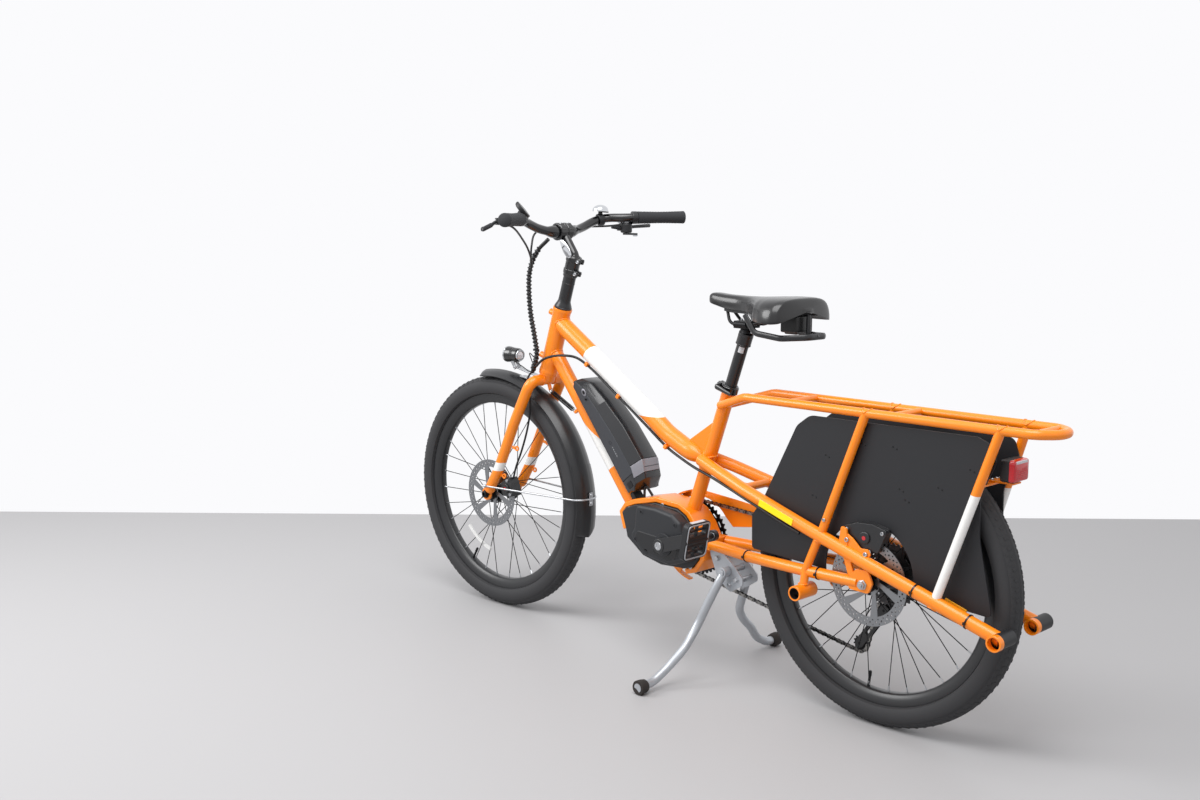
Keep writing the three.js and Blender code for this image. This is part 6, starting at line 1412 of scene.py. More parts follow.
def build_fork():
    runs = [(leg_points(side), 14) for side in (LEFT, RIGHT)]
    tubes("fork_legs", "steering", WHITE_LEG, runs, ("fork",), 10)
    bm = bmesh.new()
    turned(bm, [(0, 0), (20, 0), (21, 2), (21, 15), (24, 16), (24, 19.6), (0, 19.6)], CROWN, HEAD_UP, 40)
    for side in (LEFT, RIGHT):
        disc(bm, 17, *spans(51, 57, side), FRONT_AXLE, chamfer=0.8)
        foot = leg_points(side)[-1]
        bar(bm, FRONT_AXLE + at(-4, 54 * side, 4), foot + at(-2, -4 * side, 8), 6, 22)
        down = foot - leg_points(side)[-2]
        turned(bm, [(0, -8), (13.9, -8), (13.9, 0), (11.5, 5), (7, 8), (0, 9)], foot, down, 28)
    put_down("fork_crown_and_dropouts", "steering", ORANGE_COAT, bm, sharp=35)
    tab = bmesh.new()
    front = on_head(336) + HEAD_BACK * 18
    bar(tab, CROWN + HEAD_BACK * 8 - at(0, 0, 8), front + HEAD_BACK * 3, 9, 5)
    for side in (LEFT, RIGHT):
        for z in (452, 372):
            eye = on_leg(z, side) + at(-27, -2 * side, -2)
            tube_ring(tab, 7, 3.4, -1.8, 1.8, eye, ACROSS, 24, 0.4)
            bar(tab, eye + at(6, 0, 0), eye + at(17, 0, 2), 3.6, 7)
    put_down("fork_eyelet_tabs", "steering", ORANGE_COAT, tab, bevel=0.4)
    beads = []
    for side in (LEFT, RIGHT):
        beads.append((ellipse(CROWN + ACROSS * 20 * side, at(14.4, 0, 0), UP * 14.4, 24, True), 1.5))
    tubes("fork_crown_welds", "steering", ORANGE_COAT, beads, sides=3)


def build_front_axle():
    axle = bmesh.new()
    for side in (LEFT, RIGHT):
        spot = FRONT_AXLE + at(0, 57.6 * side, 0)
        turned(axle, [(0, 0), (11, 0), (11, 2), (9, 2.6), (9, 7.6), (6, 9), (4.6, 9), (4.6, 6), (0, 6)], spot,
               ACROSS * side, 24)
    rod(axle, FRONT_AXLE - ACROSS * 58.4, FRONT_AXLE + ACROSS * 58.4, 5.5, 16)
    put_down("front_axle_nuts", "front_wheel_set", BLACK_STEEL, axle, ("front_axle",), sharp=25)


def build_spring():
    start = on_head(336) + HEAD_BACK * 18
    end = on_down(172, -32)
    along = (end - start).normalized()
    side = ACROSS
    up = along.cross(side)
    length = (end - start).length
    coil = []
    coils, steps = 22, 22 * 12
    for k in range(steps + 1):
        angle = math.tau * coils * k / steps
        far = mix(12, length - 12, k / steps)
        coil.append(start + along * far + (side * math.cos(angle) + up * math.sin(angle)) * 5)
    hooks = []
    for spot, way in ((start, 1), (end, -1)):
        loop = [spot + along * way * (5 - 4.6 * math.cos(a)) + up * 4.6 * math.sin(a)
                for a in [mix(0.2, 5.4, k / 14) for k in range(15)]]
        hooks.append(([*loop, spot + along * way * 12.5], 1.1))
    tubes("steering_spring_coil", "frame", BLACK_STEEL, [(coil, 1.15)], ("steering_spring",), 2)
    tubes("steering_spring_hooks", "frame", ZINC, hooks, sides=3)


def fender_ring(degrees, crown=329.2, half=33, drop=14, thick=2.4, ridge=1.4):
    outer, inner = [], []
    for k in range(15):
        share = mix(-1, 1, k / 14)
        rise = ridge * max(0, 1 - abs(share) * 6)
        lip = 1.2 if abs(share) > 0.93 else 0
        outer.append(around(FRONT_AXLE, crown - drop * share * share + rise, degrees, share * (half + lip)))
        inner.append(around(FRONT_AXLE, crown - drop * share * share - thick, degrees, share * (half - 1.2)))
    return outer + inner[::-1]


def build_fender():
    bm = bmesh.new()
    upper = [fender_ring(a, half=33 - 9 * max(0, (83 - a) / 3) ** 2) for a in (80, 81, 82, 83)]
    upper += [fender_ring(mix(84, 164, k / 44)) for k in range(45)]
    skin(bm, upper)
    lower = [fender_ring(mix(160, 190, k / 16), 330, 33.3, 14, 1.6) for k in range(17)]
    lower += [fender_ring(190 + a, 330, 33.3 - b, 14, 1.6) for a, b in ((1, 1), (2, 4), (2.7, 9), (3, 14))]
    skin(bm, lower)
    put_down("front_fender_shell", "steering", SATIN_BLACK, bm, ("front_fender",), sharp=40)
    tab = bmesh.new()
    bar(tab, CROWN + at(-2, 0, -12), around(FRONT_AXLE, 331, 105), 20, 3.4)
    put_down("front_fender_tab", "steering", ZINC, tab, bevel=0.5)
    front = [on_leg(338, side) + at(16, 16.5 * side, 0) for side in (1, -1)]
    route = [front[0], at(896, 38.5, 338), at(881, 26, 338), at(872, 0, 338), at(881, -26, 338),
             at(896, -38.5, 338), front[1]]
    line = rounded(route, 40, 7)
    loops = []
    for side in (LEFT, RIGHT):
        middle = on_leg(338, side)
        loop = [middle + at(16.4 * math.cos(a), 16.4 * math.sin(a) * side, 0)
                for a in [mix(0.0, 1.5, k / 8) for k in range(9)]]
        loops.append((loop, 2.4))
    tubes("front_fender_stay", "steering", ZINC, [(line, 2.5), *loops], sides=4)
    rivet = bmesh.new()
    spot = around(FRONT_AXLE, 331, 175.5)
    out = (spot - FRONT_AXLE).normalized()
    box(rivet, spot + out * 1.5, (1.6, 13, 34))
    for z in (-11, 11):
        turned(rivet, [(0, 2.2), (3, 1.8), (4.2, 0), (0, 0)], spot + out * 2.4 + at(0, 0, z), out, 20)
    put_down("front_fender_stay_clip", "steering", ZINC, rivet, bevel=0.5)


def build_headlight():
    foot = CROWN + at(96, 0, 54)
    ahead = at(1, 0, 0)
    bm = bmesh.new()
    profile = [(0, 2), (11, 2), (13, 3), (17.5, 7), (18.6, 14), (18.6, 18), (17.9, 18.6), (17.9, 20.4),
               (18.6, 21), (18.6, 25), (17.9, 25.6), (17.9, 27.4), (18.6, 28), (20.6, 38), (20.6, 47),
               (0, 47)]
    turned(bm, profile, foot, ahead, 40)
    put_down("headlight_housing", "steering", GLOSS_BLACK, bm, ("headlight",), sharp=30)
    rims = bmesh.new()
    tube_ring(rims, 21.2, 17.4, 45, 50, foot, ahead, 40, 1)
    tube_ring(rims, 15.2, 11, 0.6, 4.4, foot, ahead, 40, 0.8)
    put_down("headlight_rims", "steering", CHROME, rims)
    glass = bmesh.new()
    turned(glass, [(0, 48.6), (9, 48.2), (17.4, 46.4), (17.4, 44), (0, 44)], foot, ahead, 40)
    turned(glass, [(0, 0.6), (6, 1.0), (11, 2.2), (11, 4), (0, 4)], foot, ahead, 32)
    put_down("headlight_lens", "steering", CLEAR_LENS, glass)
    arm = bmesh.new()
    lamp = foot + at(25, 0, -13)
    root, knee = CROWN + at(7, 0, 0), CROWN + at(108, 0, 22)
    for side in (LEFT, RIGHT):
        bar(arm, knee + at(0, 7.6 * side, -3), lamp + at(0, 7.6 * side, -4), 2.2, 11)
    bar(arm, root, knee, 17, 3.4)
    bar(arm, lamp + at(-7, 0, -4), lamp + at(7, 0, -4), 15, 6)
    rod(arm, knee - ACROSS * 11, knee + ACROSS * 11, 3, 14)
    bolt_head(arm, knee + at(0, 9.5, 0), ACROSS, 4.6, 4)
    put_down("headlight_bracket", "steering", ZINC, arm, bevel=0.5)


def build_stem_riser():
    foot = on_head(HEAD_TOP + 0.4)
    bm = bmesh.new()
    profile = [(0, 0), (22, 0), (22, 3), (21, 7), (18.2, 13), (16.2, 19), (16, 26), (16, 88), (0, 88)]
    turned(bm, profile, foot, HEAD_UP, 44)
    put_down("stem_riser", "steering", SATIN_BLACK, bm, ("stem",), sharp=30)
    ring = bmesh.new()
    tube_ring(ring, 22.4, 18, 0.6, 4.2, foot, HEAD_UP, 44, 0.6)
    tube_ring(ring, 16.5, 14, 66, 68, foot, HEAD_UP, 40, 0.4)
    put_down("stem_foot_ring", "steering", DARK_STEEL, ring)


def build_stem_collars(bolts):
    clamps = bmesh.new()
    for height in (92, 124):
        centre = on_head(HEAD_TOP + height)
        tube_ring(clamps, 20, 15.6, 0, 13, centre, HEAD_UP, 40, 1.4)
        for y in (5, -5):
            ear = centre + HEAD_UP * 6.5 + at(0, y * 1.1, 0) + HEAD_BACK * 15
            bar(clamps, ear, ear + HEAD_BACK * 13.4, 6.6, 12.6)
        spot = centre + HEAD_UP * 6.5 + HEAD_BACK * 23.4
        rod(bolts, spot - ACROSS * 12.6, spot + ACROSS * 9, 2.6, 12)
        bolt_head(bolts, spot + at(0, 8.8, 0), ACROSS, 4.3, 4)
    profile = [(0, 84), (17.6, 84), (18.6, 86), (18.6, 134), (15, 139), (0, 140)]
    turned(clamps, profile, on_head(HEAD_TOP), HEAD_UP, 40)
    put_down("stem_collars", "steering", GLOSS_BLACK, clamps, bevel=1.2, segments=3)


def build_stem_arm():
    line = rounded([on_head(HEAD_TOP + 112), STEM_KNEE, BAR_CENTRE - STEM_AHEAD * 10], 12)
    tubes("stem_arm", "steering", GLOSS_BLACK, [(line, [14] * 4 + [12] * 6)], sides=8)


def build_bar_clamp(bolts):
    clamp = bmesh.new()
    tube_ring(clamp, 22, 16, -22, -3, BAR_CENTRE, ACROSS, 44, 2)
    tube_ring(clamp, 22, 16, 3, 22, BAR_CENTRE, ACROSS, 44, 2)
    tube_ring(clamp, 19.6, 16, -8, 8, BAR_CENTRE, ACROSS, 44, 1)
    over = STEM_AHEAD.cross(ACROSS)
    for y in (12.5, -12.5):
        for lift in (1, -1):
            ear = BAR_CENTRE + at(0, y, 0) + over * 17 * lift
            bar(clamp, ear - STEM_AHEAD * 8, ear + STEM_AHEAD * 11, 12, 9)
            bolt_head(bolts, ear + STEM_AHEAD * 11, STEM_AHEAD, 3.6, 3.4)
    put_down("stem_bar_clamp", "steering", GLOSS_BLACK, clamp, bevel=1, segments=3)


def build_stem_lever():
    lever = bmesh.new()
    across = STEM_AHEAD.cross(ACROSS)
    middle = mix(STEM_KNEE, BAR_CENTRE, 0.34) + at(0, 15.4, -2)
    rings = []
    for lift, shrink in ((0, 2.2), (1.2, 0.4), (3.2, 0), (4.6, 1.2), (5.2, 4)):
        ring = []
        for k in range(32):
            long, wide = math.cos(math.tau * k / 32), math.sin(math.tau * k / 32)
            wide *= 1 - 0.25 * long
            spot = middle + ACROSS * lift + STEM_AHEAD * (29 - shrink) * long
            ring.append(spot + across * (10.5 - shrink) * wide)
        rings.append(ring)
    skin(lever, rings)
    put_down("stem_quick_lever", "steering", CHROME, lever)


def build_stem():
    bolts = bmesh.new()
    build_stem_riser()
    build_stem_collars(bolts)
    build_stem_arm()
    build_bar_clamp(bolts)
    put_down("stem_bolts", "steering", ZINC, bolts)
    build_stem_lever()


def bar_points(side):
    shares = ((0.01, 0.11, 0), (0.05, 0.25, 0.27), (0.03, 0.39, 0.75), (-0.06, 0.48, 0.95),
              (-0.36, 0.56, 0.99), (-1, 1, 1))
    return [BAR_CENTRE + at(129 * x, 315 * y * side, 33 * z) for x, y, z in shares]


def bar_out(side):
    points = bar_points(side)
    return (points[-1] - points[-2]).normalized()


def on_bar(side, from_end):
    return bar_points(side)[-1] - bar_out(side) * from_end


def build_bar():
    line = smooth_line(bar_points(-1)[::-1] + bar_points(1), 9)
    radii = [11.1 + 4.6 * min(1, max(0, (52 - abs(p.y)) / 18)) for p in line]
    tubes("handlebar_tube", "steering", GLOSS_BLACK, [(line, radii)], ("handlebar",), 9)
    for side, word in SIDES:
        bm = bmesh.new()
        profile = [(11.2, 0)]
        for k in range(33):
            share = k / 32
            rib = (0.35 if k % 2 else -0.15) if 0.12 < share < 0.86 else 0
            swell = 14.6 + 1.4 * abs(2 * share - 1) ** 1.6 + rib
            profile.append((swell, 1 + share * 121))
        profile += [(16.2, 123.4), (16.2, 126), (14.4, 128), (0, 128)]
        turned(bm, profile, on_bar(side, 124), bar_out(side), 32)
        put_down(f"grip_{word}_rubber", "steering", GRIP_RUBBER, bm, (f"grip_{word}",), sharp=60)
        collar = bmesh.new()
        tube_ring(collar, 15.8, 11.2, -0.1, 5.4, on_bar(side, 124), bar_out(side), 32, 0.8)
        put_down(f"grip_{word}_collar", "steering", BLACK_ABS, collar)


def control_place(side):
    return on_bar(side, 132.1)


def lever_pivot(side):
    return control_place(side) + at(62, 14 * side, -5 if side > 0 else -26)


def build_control(side, word):
    place, pivot, out = control_place(side), lever_pivot(side), bar_out(side)
    toward = (pivot - place).normalized()
    bm = bmesh.new()
    tube_ring(bm, 16.4, 11.3, -7.4, 7.4, place, out, 36, 1.2)
    bar(bm, place + toward * 10, place + toward * 22, 15, 17, out)
    body = [(0, 14), (7, 14), (10, 20), (10, 34), (8.5, 46), (8, 52), (0, 52)]
    turned(bm, body, place, toward, 24)
    for lift in (1, -1):
        near = lift * 6.4
        rod(bm, pivot + at(0, 0, near - 1.8), pivot + at(0, 0, near + 1.8), 8.5, 24)
        bar(bm, pivot - toward * 16 + at(0, 0, near), pivot + at(0, 0, near), 14, 3.6, out)
    rod(bm, place + toward * 26 - out * 9, place + toward * 26 - out * 22, 5, 20, 4)
    put_down(f"controls_{word}_body", "steering", SATIN_BLACK, bm, (f"controls_{word}",), bevel=0.8)
    screws = bmesh.new()
    bolt_head(screws, place + toward * 19 + at(0, 0, 9), UP, 3, 2.6)
    rod(screws, pivot + at(0, 0, -8.6), pivot + at(0, 0, 8.6), 2.5, 14)
    rod(screws, place + toward * 26 - out * 22, place + toward * 26 - out * 30, 3.2, 6)
    put_down(f"controls_{word}_screws", "steering", ZINC, screws)


def build_brake_lever(side, word):
    pivot, out = lever_pivot(side), bar_out(side)
    blade_body = f"{word}_brake_lever"
    top = BAR_CENTRE.z + 11
    points = [pivot, pivot + out * 17, pivot + out * 46 + at(7, 0, 0), pivot + out * 92 + at(14, 0, 0)]
    points[3].z = top
    points[2].z = (top + pivot.z) / 2
    line = rounded(points, 40, 8)
    line += [line[-1] + out * 3 + at(1.5, 0, 0.5)]
    blade = bmesh.new()
    sizes = []
    for p in line:
        far = (p - pivot).dot(out)
        sizes.append((3 if far < 30 else 3.2, 4.5 if far < 84 else 5))
    sizes[-1] = (sizes[-1][0] * 0.5, sizes[-1][1] * 0.6)
    strap(blade, line, UP, sizes, 14)
    rod(blade, pivot - UP * 4.4, pivot + UP * 4.4, 6.6, 20)
    put_down(f"brake_lever_{word}_blade", blade_body, GLOSS_BLACK if side < 0 else SATIN_BLACK, blade,
             (f"brake_lever_{word}",), sharp=50)
    if side > 0:
        sleeve = [p for p in line if (p - pivot).dot(out) > 42]
        tubes("brake_lever_left_sleeve", blade_body, GRIP_RUBBER, [(sleeve, 5.6)], sides=5)


def build_display():
    place = control_place(1)
    out = bar_out(1)
    face = at(-0.57, -0.5, 0.62).normalized()
    middle = place + at(4, -9, 22) - out * 2
    bm = bmesh.new()
    turned(bm, [(0, -6), (17, -6), (21.5, -3.6), (23, 0), (23, 3), (21.6, 4.6), (0, 4.6)], middle, face, 44)
    put_down("display_housing", "steering", BLACK_ABS, bm, sharp=30)
    glass = bmesh.new()
    turned(glass, [(0, 5.6), (14, 5.4), (19.4, 4.7), (19.4, 4.2), (0, 4.2)], middle, face, 44)
    put_down("display_glass", "steering", GLOSSY_ABS, glass)
    neck = bmesh.new()
    bar(neck, place + at(0, -6, 12), middle - face * 5, 15, 12)
    tube_ring(neck, 15.4, 11.3, 8, 20, place - out * 22, out, 32, 1)
    put_down("display_neck", "steering", BLACK_ABS, neck, bevel=2, segments=3)


def build_shifter():
    right = control_place(-1)
    place = right + at(15, 14, -27.5)
    bm = bmesh.new()
    turned(bm, [(0, -11), (12.6, -11), (15, -8.6), (15, 10), (12, 15), (0, 16.4)], place, UP, 36)
    rod(bm, place + at(8, 8, 0), place + at(20, 34, 4), 5, 16, 4)
    put_down("shifter_pod", "steering", BLACK_ABS, bm, sharp=30)
    cap = bmesh.new()
    turned(cap, [(0, 0), (11, 0), (11, 1.6), (9.6, 2.6), (0, 2.6)], place + UP * 15.4, UP, 32)
    put_down("shifter_top_cap", "steering", ZINC, cap)
    thumb = bmesh.new()
    root = place + UP * -13.9
    tip = root + at(-42, 6, 0)
    ahead = (tip - root).normalized()
    across = ahead.cross(UP)
    rings = []
    for low, shrink in ((-2.4, 0.8), (-1.6, 0), (1.6, 0), (2.4, 0.8)):
        ring = []
        for k in range(28):
            angle = math.tau * k / 28
            far = math.cos(angle)
            wide = (9 if far < 0 else 6.2) - shrink
            centre = root if far < 0 else mix(root, tip, 0.84)
            ring.append(centre + ahead * far * wide + across * math.sin(angle) * wide + UP * low)
        rings.append(ring)
    skin(thumb, rings)
    put_down("shift_lever_paddle", "shifter", BLACK_ABS, thumb, ("shift_lever",))
    knob = bmesh.new()
    turned(knob, [(0, 0), (6.2, 0), (6.2, 2.6), (5, 3.6), (0, 3.6)], mix(root, tip, 0.84) - UP * 2, -UP, 24)
    put_down("shift_lever_knob", "shifter", SILVER_PAINT, knob)


def build_bell():
    points = bar_points(-1)
    seat = mix(points[2], points[3], 0.5)
    along = (points[3] - points[2]).normalized()
    bm = bmesh.new()
    tube_ring(bm, 15.8, 11.4, -7, 7, seat, along, 32, 1)
    rod(bm, seat + UP * 13, seat + UP * 23, 6, 20, 5)
    bar(bm, seat + UP * 20 + at(-2, 0, 0), seat + at(-22, -6, 19), 6, 3)
    put_down("bell_clamp", "steering", BLACK_ABS, bm, ("bell",), bevel=0.6)
    dome = bmesh.new()
    profile = [(0, 17)]
    for k in range(10):
        angle = mix(0.15, 1.57, k / 9)
        profile.append((20.4 * math.sin(angle), 3 + 14 * math.cos(angle)))
    profile += [(21, 1.6), (21, 0.6), (19.6, 0.6), (19.6, 2), (0, 12)]
    turned(dome, profile, seat + at(0, 0, 20.9), UP, 40)
    put_down("bell_dome", "steering", CHROME, dome)


def build_front_lines():
    """The lamp's wire, and the ties round the harness."""
    route = [CROWN + at(116, 4, 37), CROWN + at(84, 6, 26), CROWN + at(52, 10, 16), CROWN + at(30, 16, 24),
             CROWN + at(36, 26, 66), at(1040, 34, 690)]
    lay_cord("headlight_wire", "steering", route, 1.3, sides=4)
    ties = []
    bundle = smooth_line(HARNESS_ROUTE)
    for share in (0.16, 0.72):
        k = int(len(bundle) * share)
        ties.append((bundle[k], bundle[k + 1] - bundle[k]))
    band("harness_ties", "steering", BLACK_ABS, ties, 6.2, 3, 1)


build_fork()
build_front_axle()
build_spring()
build_fender()
build_caliper("front", "steering", FRONT_AXLE, 66, 106, 147, 176, 27, 58, 38, "front_caliper")
build_headlight()
build_stem()
build_bar()
for side, word in SIDES:
    build_control(side, word)
    build_brake_lever(side, word)
build_display()
build_shifter()
build_bell()
build_front_lines()


# Battery, seat, tail light and stand

# The battery's top edge: places along the down tube, and the heights over its middle line.
BATTERY_TOP = ((128, 45), (130, 62), (135, 68), (160, 84), (220, 98), (300, 112), (402, 116), (440, 98),
               (452, 60))


def level_at(table, place):
    """The height of a table's line of (place, height) at a place."""
    for (a, low), (b, high) in zip(table, table[1:]):
        if place <= b:
            return mix(low, high, max(0, (place - a) / (b - a)))
    return table[-1][1]


def battery_ring(along, part, grow=0.0):
    """The battery's section at a place along the down tube: its side case or its bevelled lid."""
    top = level_at(BATTERY_TOP, along)
    base = 34 if along < 443 else mix(34, 58, (along - 443) / 9)
    base = mix(45, 34, min(1, (along - 128) / 7)) if along < 135 else base
    edge = base + (top - base) * 0.6
    if part == "case":
        wide = 41.6 + grow
        half = [(37, base), (wide, base + min(11, (edge - base) / 2)), (wide, edge - 1.5), (40.6, edge)]
    else:
        half = [(41.4 + grow, edge + 0.5), (41.6 + grow, edge + 2), (28, top - 1.6), (25, top)]
        half = [(w, min(h, top)) for w, h in half]
    ring = half + [(-w, h) for w, h in half[::-1]]
    return [on_down(along, h, w) for w, h in ring]


def build_battery():
    for name, material, part, places, grow in (
            ("battery_case", BATTERY_GREY, "case", (128.5, 130, 135, 148, 160, 220, 300, 402, 413), 0),
            ("battery_end_case", BATTERY_BLACK, "case", (414.4, 416, 430, 440, 443, 446, 451), 0),
            ("battery_lid", BATTERY_BLACK, "lid", (128.5, 130, 135, 148, 160, 220, 260, 300, 350, 396), 0),
            ("battery_silver_band", BATTERY_SILVER, "lid", (397.2, 402, 416, 426), 0.3),
            ("battery_end_lid", BATTERY_BLACK, "lid", (427, 434, 440, 446, 451.4), 0)):
        bm = bmesh.new()
        skin(bm, [battery_ring(s, part, grow) for s in places])
        stands_for = ("battery_pack",) if name == "battery_case" else ()
        put_down(name, "battery", material, bm, stands_for, bevel=1.6, segments=3)
    seam = bmesh.new()
    half = [(35, 36), (40.6, 46), (40.6, 82), (25, 110)]
    outline = half + [(-w, h) for w, h in half[::-1]]
    skin(seam, [[on_down(s, h, w) for w, h in outline] for s in (412, 416)])
    put_down("battery_seam_gasket", "battery", BLACK_ABS, seam)


def build_battery_lock():
    lock = bmesh.new()
    centre = on_down(170, 62, 41.2)
    rings = []
    for lift, size in ((0, 1), (1.5, 1), (2.2, 0.86), (2.2, 0.62), (1, 0.56)):
        rings.append(ellipse(centre + ACROSS * lift, DOWN_ALONG * 10 * size, DOWN_UP * 6.6 * size, 24))
    skin(lock, rings)
    put_down("battery_lock_bezel", "battery", BATTERY_SILVER, lock)
    key = bmesh.new()
    disc(key, 4.4, 41, 43.4, on_down(170, 62), ACROSS, 20, 0.5)
    box(key, on_down(188, 58, 41.4), (9, 2, 5), facing(DOWN_ALONG))
    put_down("battery_lock_core", "battery", BLACK_STEEL, key)


def build_battery_lights():
    lamps = bmesh.new()
    for k in range(5):
        disc(lamps, 1.1, 41.3, 42, on_down(330 + k * 6, 62), ACROSS, 10)
    put_down("battery_charge_lights", "battery", LIGHT_LABEL, lamps)
    ring = bmesh.new()
    tube_ring(ring, 4.6, 3.6, 41.2, 41.9, on_down(316, 62), ACROSS, 24, 0.2)
    flat = Matrix((DOWN_ALONG, DOWN_UP, ACROSS)).transposed().to_4x4()
    box(ring, on_down(432, 56, 41.6), (15, 15, 2.4), flat)
    put_down("battery_button_and_latch", "battery", GLOSSY_ABS, ring, bevel=0.4)


def build_battery_mount():
    mount = bmesh.new()
    turn = Matrix((DOWN_ALONG, ACROSS, DOWN_UP)).transposed().to_4x4()
    box(mount, on_down(294, 26), (287, 39.4, 15), turn)
    box(mount, on_down(294, 31.5), (280, 56, 3.4), turn)
    put_down("battery_mount_rail", "frame", BLACK_ABS, mount, ("battery_mount",), bevel=2, segments=3)
    plug = bmesh.new()
    foot = on_down(449, 22)
    box(plug, foot, (20, 30, 13), turn)
    put_down("battery_plug_housing", "frame", BLACK_ABS, plug, bevel=2)


def build_motor_lead():
    route = [on_down(457, 25, 6), on_down(472, 46, 12), at(666, 10, 406), at(648, 4, 385)]
    braid = [(spiral(smooth_line(route), 3.1, 3.4, 10), 0.7)]
    cover = tubes("motor_lead_braid", "frame", DARK_STEEL, braid, sides=1)
    lay_cord("motor_lead", "frame", route, 3.0, sides=4)


# The saddle from nose to tail: the share of its length, of its width and of its height.
SADDLE_SHARES = ((0, 0.12, 0.84), (0.015, 0.165, 0.91), (0.08, 0.2, 0.95), (0.22, 0.21, 0.93),
                 (0.38, 0.24, 0.9), (0.5, 0.36, 0.9), (0.6, 0.58, 0.93), (0.7, 0.83, 0.97), (0.8, 0.97, 1),
                 (0.9, 1, 1), (0.96, 0.93, 0.97), (0.99, 0.78, 0.9), (1, 0.66, 0.82))
SADDLE_RIM = 846
SADDLE_TOP = 881


def saddle_at(share, across, above):
    """A place on the saddle's skin: above is the lift of its rim, from -1 below to 1 on top."""
    table = smooth_line([at(a, w, h) for a, w, h in SADDLE_SHARES], 6)
    near = min(table, key=lambda p: abs(p.x - share))
    half, top = 103 * near.y * 0.985, mix(SADDLE_RIM, SADDLE_TOP, near.z)
    wing = abs(across) ** 5 * near.y * (20 if near.y > 0.4 else 4)
    z = SADDLE_RIM
    if above > 0:
        dish = 3.5 * math.exp(-((across / 0.22) ** 2)) * max(0, math.sin(math.pi * min(1, share / 0.98)))
        z = mix(SADDLE_RIM, top, above**0.62) - dish
    z -= wing * (1 - max(0, above))
    z += 13 * max(0, 1 - share / 0.3) ** 1.3 * (1 - max(0, above)) + 3 * max(0, 1 - share / 0.2)
    return at(mix(479, 208.6, share), half * across, max(z, 826.4))


def build_saddle_pad():
    rings = []
    for k in range(49):
        share = 0.5 - 0.5 * math.cos(math.pi * k / 48)
        ring = []
        for i in range(40):
            angle = math.tau * (i + 0.5) / 40
            across = math.copysign(abs(math.cos(angle)) ** 0.72, math.cos(angle))
            ring.append(saddle_at(share, across, math.sin(angle)))
        # Both ends close in a round, not a flat face.
        middle = sum(ring, at(0, 0, 0)) / len(ring)
        reach = min(1, share / 0.07, (1 - share) / 0.035)
        squeeze = math.sqrt(max(0.1, 1 - (1 - reach) ** 2))
        rings.append([mix(middle, p, squeeze) for p in ring])
    bm = bmesh.new()
    made = skin(bm, rings, caps=False)
    for end, x in ((0, 480.6), (-1, 206.9)):
        middle = sum(rings[end], at(0, 0, 0)) / len(rings[end])
        inner = [bm.verts.new(mix(at(x, middle.y, middle.z), at(x, p.y, p.z), 0.55)) for p in rings[end]]
        edge = made[end]
        for i in range(len(edge)):
            j = (i + 1) % len(edge)
            bm.faces.new((edge[i], edge[j], inner[j], inner[i]))
        bm.faces.new(inner)
    for vert in bm.verts:
        # The foam swells between the cover's seams, and sinks a little under them.
        seam = math.exp(-((vert.co.z - 853) / 2.2) ** 2)
        out = at(0, vert.co.y, vert.co.z - 850)
        vert.co -= out.normalized() * 1.1 * seam if out.length else out
    obj = put_down("saddle_pad_cover", "seat", VINYL, bm, ("saddle_pad",), sharp=75, level=1)


def build_saddle_base():
    bm = bmesh.new()
    base = []
    for drop in (SADDLE_RIM, SADDLE_RIM - 7):
        ring = []
        for k in range(40):
            share = 0.2 + 0.73 * (0.5 - 0.5 * math.cos(math.pi * k / 39))
            spot = saddle_at(share, 0.84, 0)
            lift = 13 * max(0, 1 - share / 0.3) ** 1.3
            ring.append(at(spot.x, spot.y, drop + lift))
        ring += [at(p.x, -p.y, p.z) for p in ring[::-1]]
        base.append(ring)
    skin(bm, base)
    put_down("saddle_base_shell", "seat", BLACK_ABS, bm, ("saddle_base",), bevel=1)


def build_saddle_rails():
    runs = []
    bends = ((420, 11, 841), (404, 22, 815), (344, 22, 815), (262, 22, 841))
    for side in (LEFT, RIGHT):
        rail = [at(x, y * side, z) for x, y, z in bends]
        runs.append((rounded(rail, 26, 7), 3.6))
    tubes("saddle_rails", "seat", BLACK_STEEL, runs, sides=4)


def build_grab_loop():
    loop = [at(330, 62, 841), at(302, 62, 803), at(233, 62, 796), at(183, 31, 799.5), at(183, 0, 799.5)]
    loop = rounded(loop + [at(p.x, -p.y, p.z) for p in loop[-2::-1]], 24, 7)
    grab = bmesh.new()
    strap(grab, loop, UP, [(3.4, 6.8)] * len(loop), 12)
    rod(grab, at(206, 0, 798), at(206, 0, 844), 5, 16)
    bar(grab, at(186, 0, 800), at(212, 0, 800), 26, 5)
    put_down("saddle_grab_loop", "seat", SATIN_BLACK, grab, sharp=50)


def build_saddle_clamp():
    clamp = bmesh.new()
    head = on_seat(529)
    for z, tall in ((809, 6), (820, 5)):
        box(clamp, at(head.x, 0, z), (36, 50, tall))
    for side in (LEFT, RIGHT):
        rod(clamp, at(head.x - 18, 22 * side, 815), at(head.x + 18, 22 * side, 815), 6.4, 20)
    rod(clamp, head - UP * 2, at(head.x, 0, 808), 16, 28, 13)
    put_down("saddle_clamp", "seat", BLACK_STEEL, clamp, bevel=1.5, segments=3)
    bolts = bmesh.new()
    for x in (-14, 14):
        rod(bolts, at(head.x + x, 0, 797), at(head.x + x, 0, 826), 2.6, 12)
        bolt_head(bolts, at(head.x + x, 0, 798), -UP, 4.6, 4)
    put_down("saddle_clamp_bolts", "seat", ZINC, bolts)


def build_elastomer():
    block = bmesh.new()
    box(block, at(238, 0, 824), (44, 58, 36))
    box(block, at(238, 0, 806), (34, 44, 8))
    put_down("saddle_elastomer", "seat", ELASTOMER, block, bevel=7, segments=4)


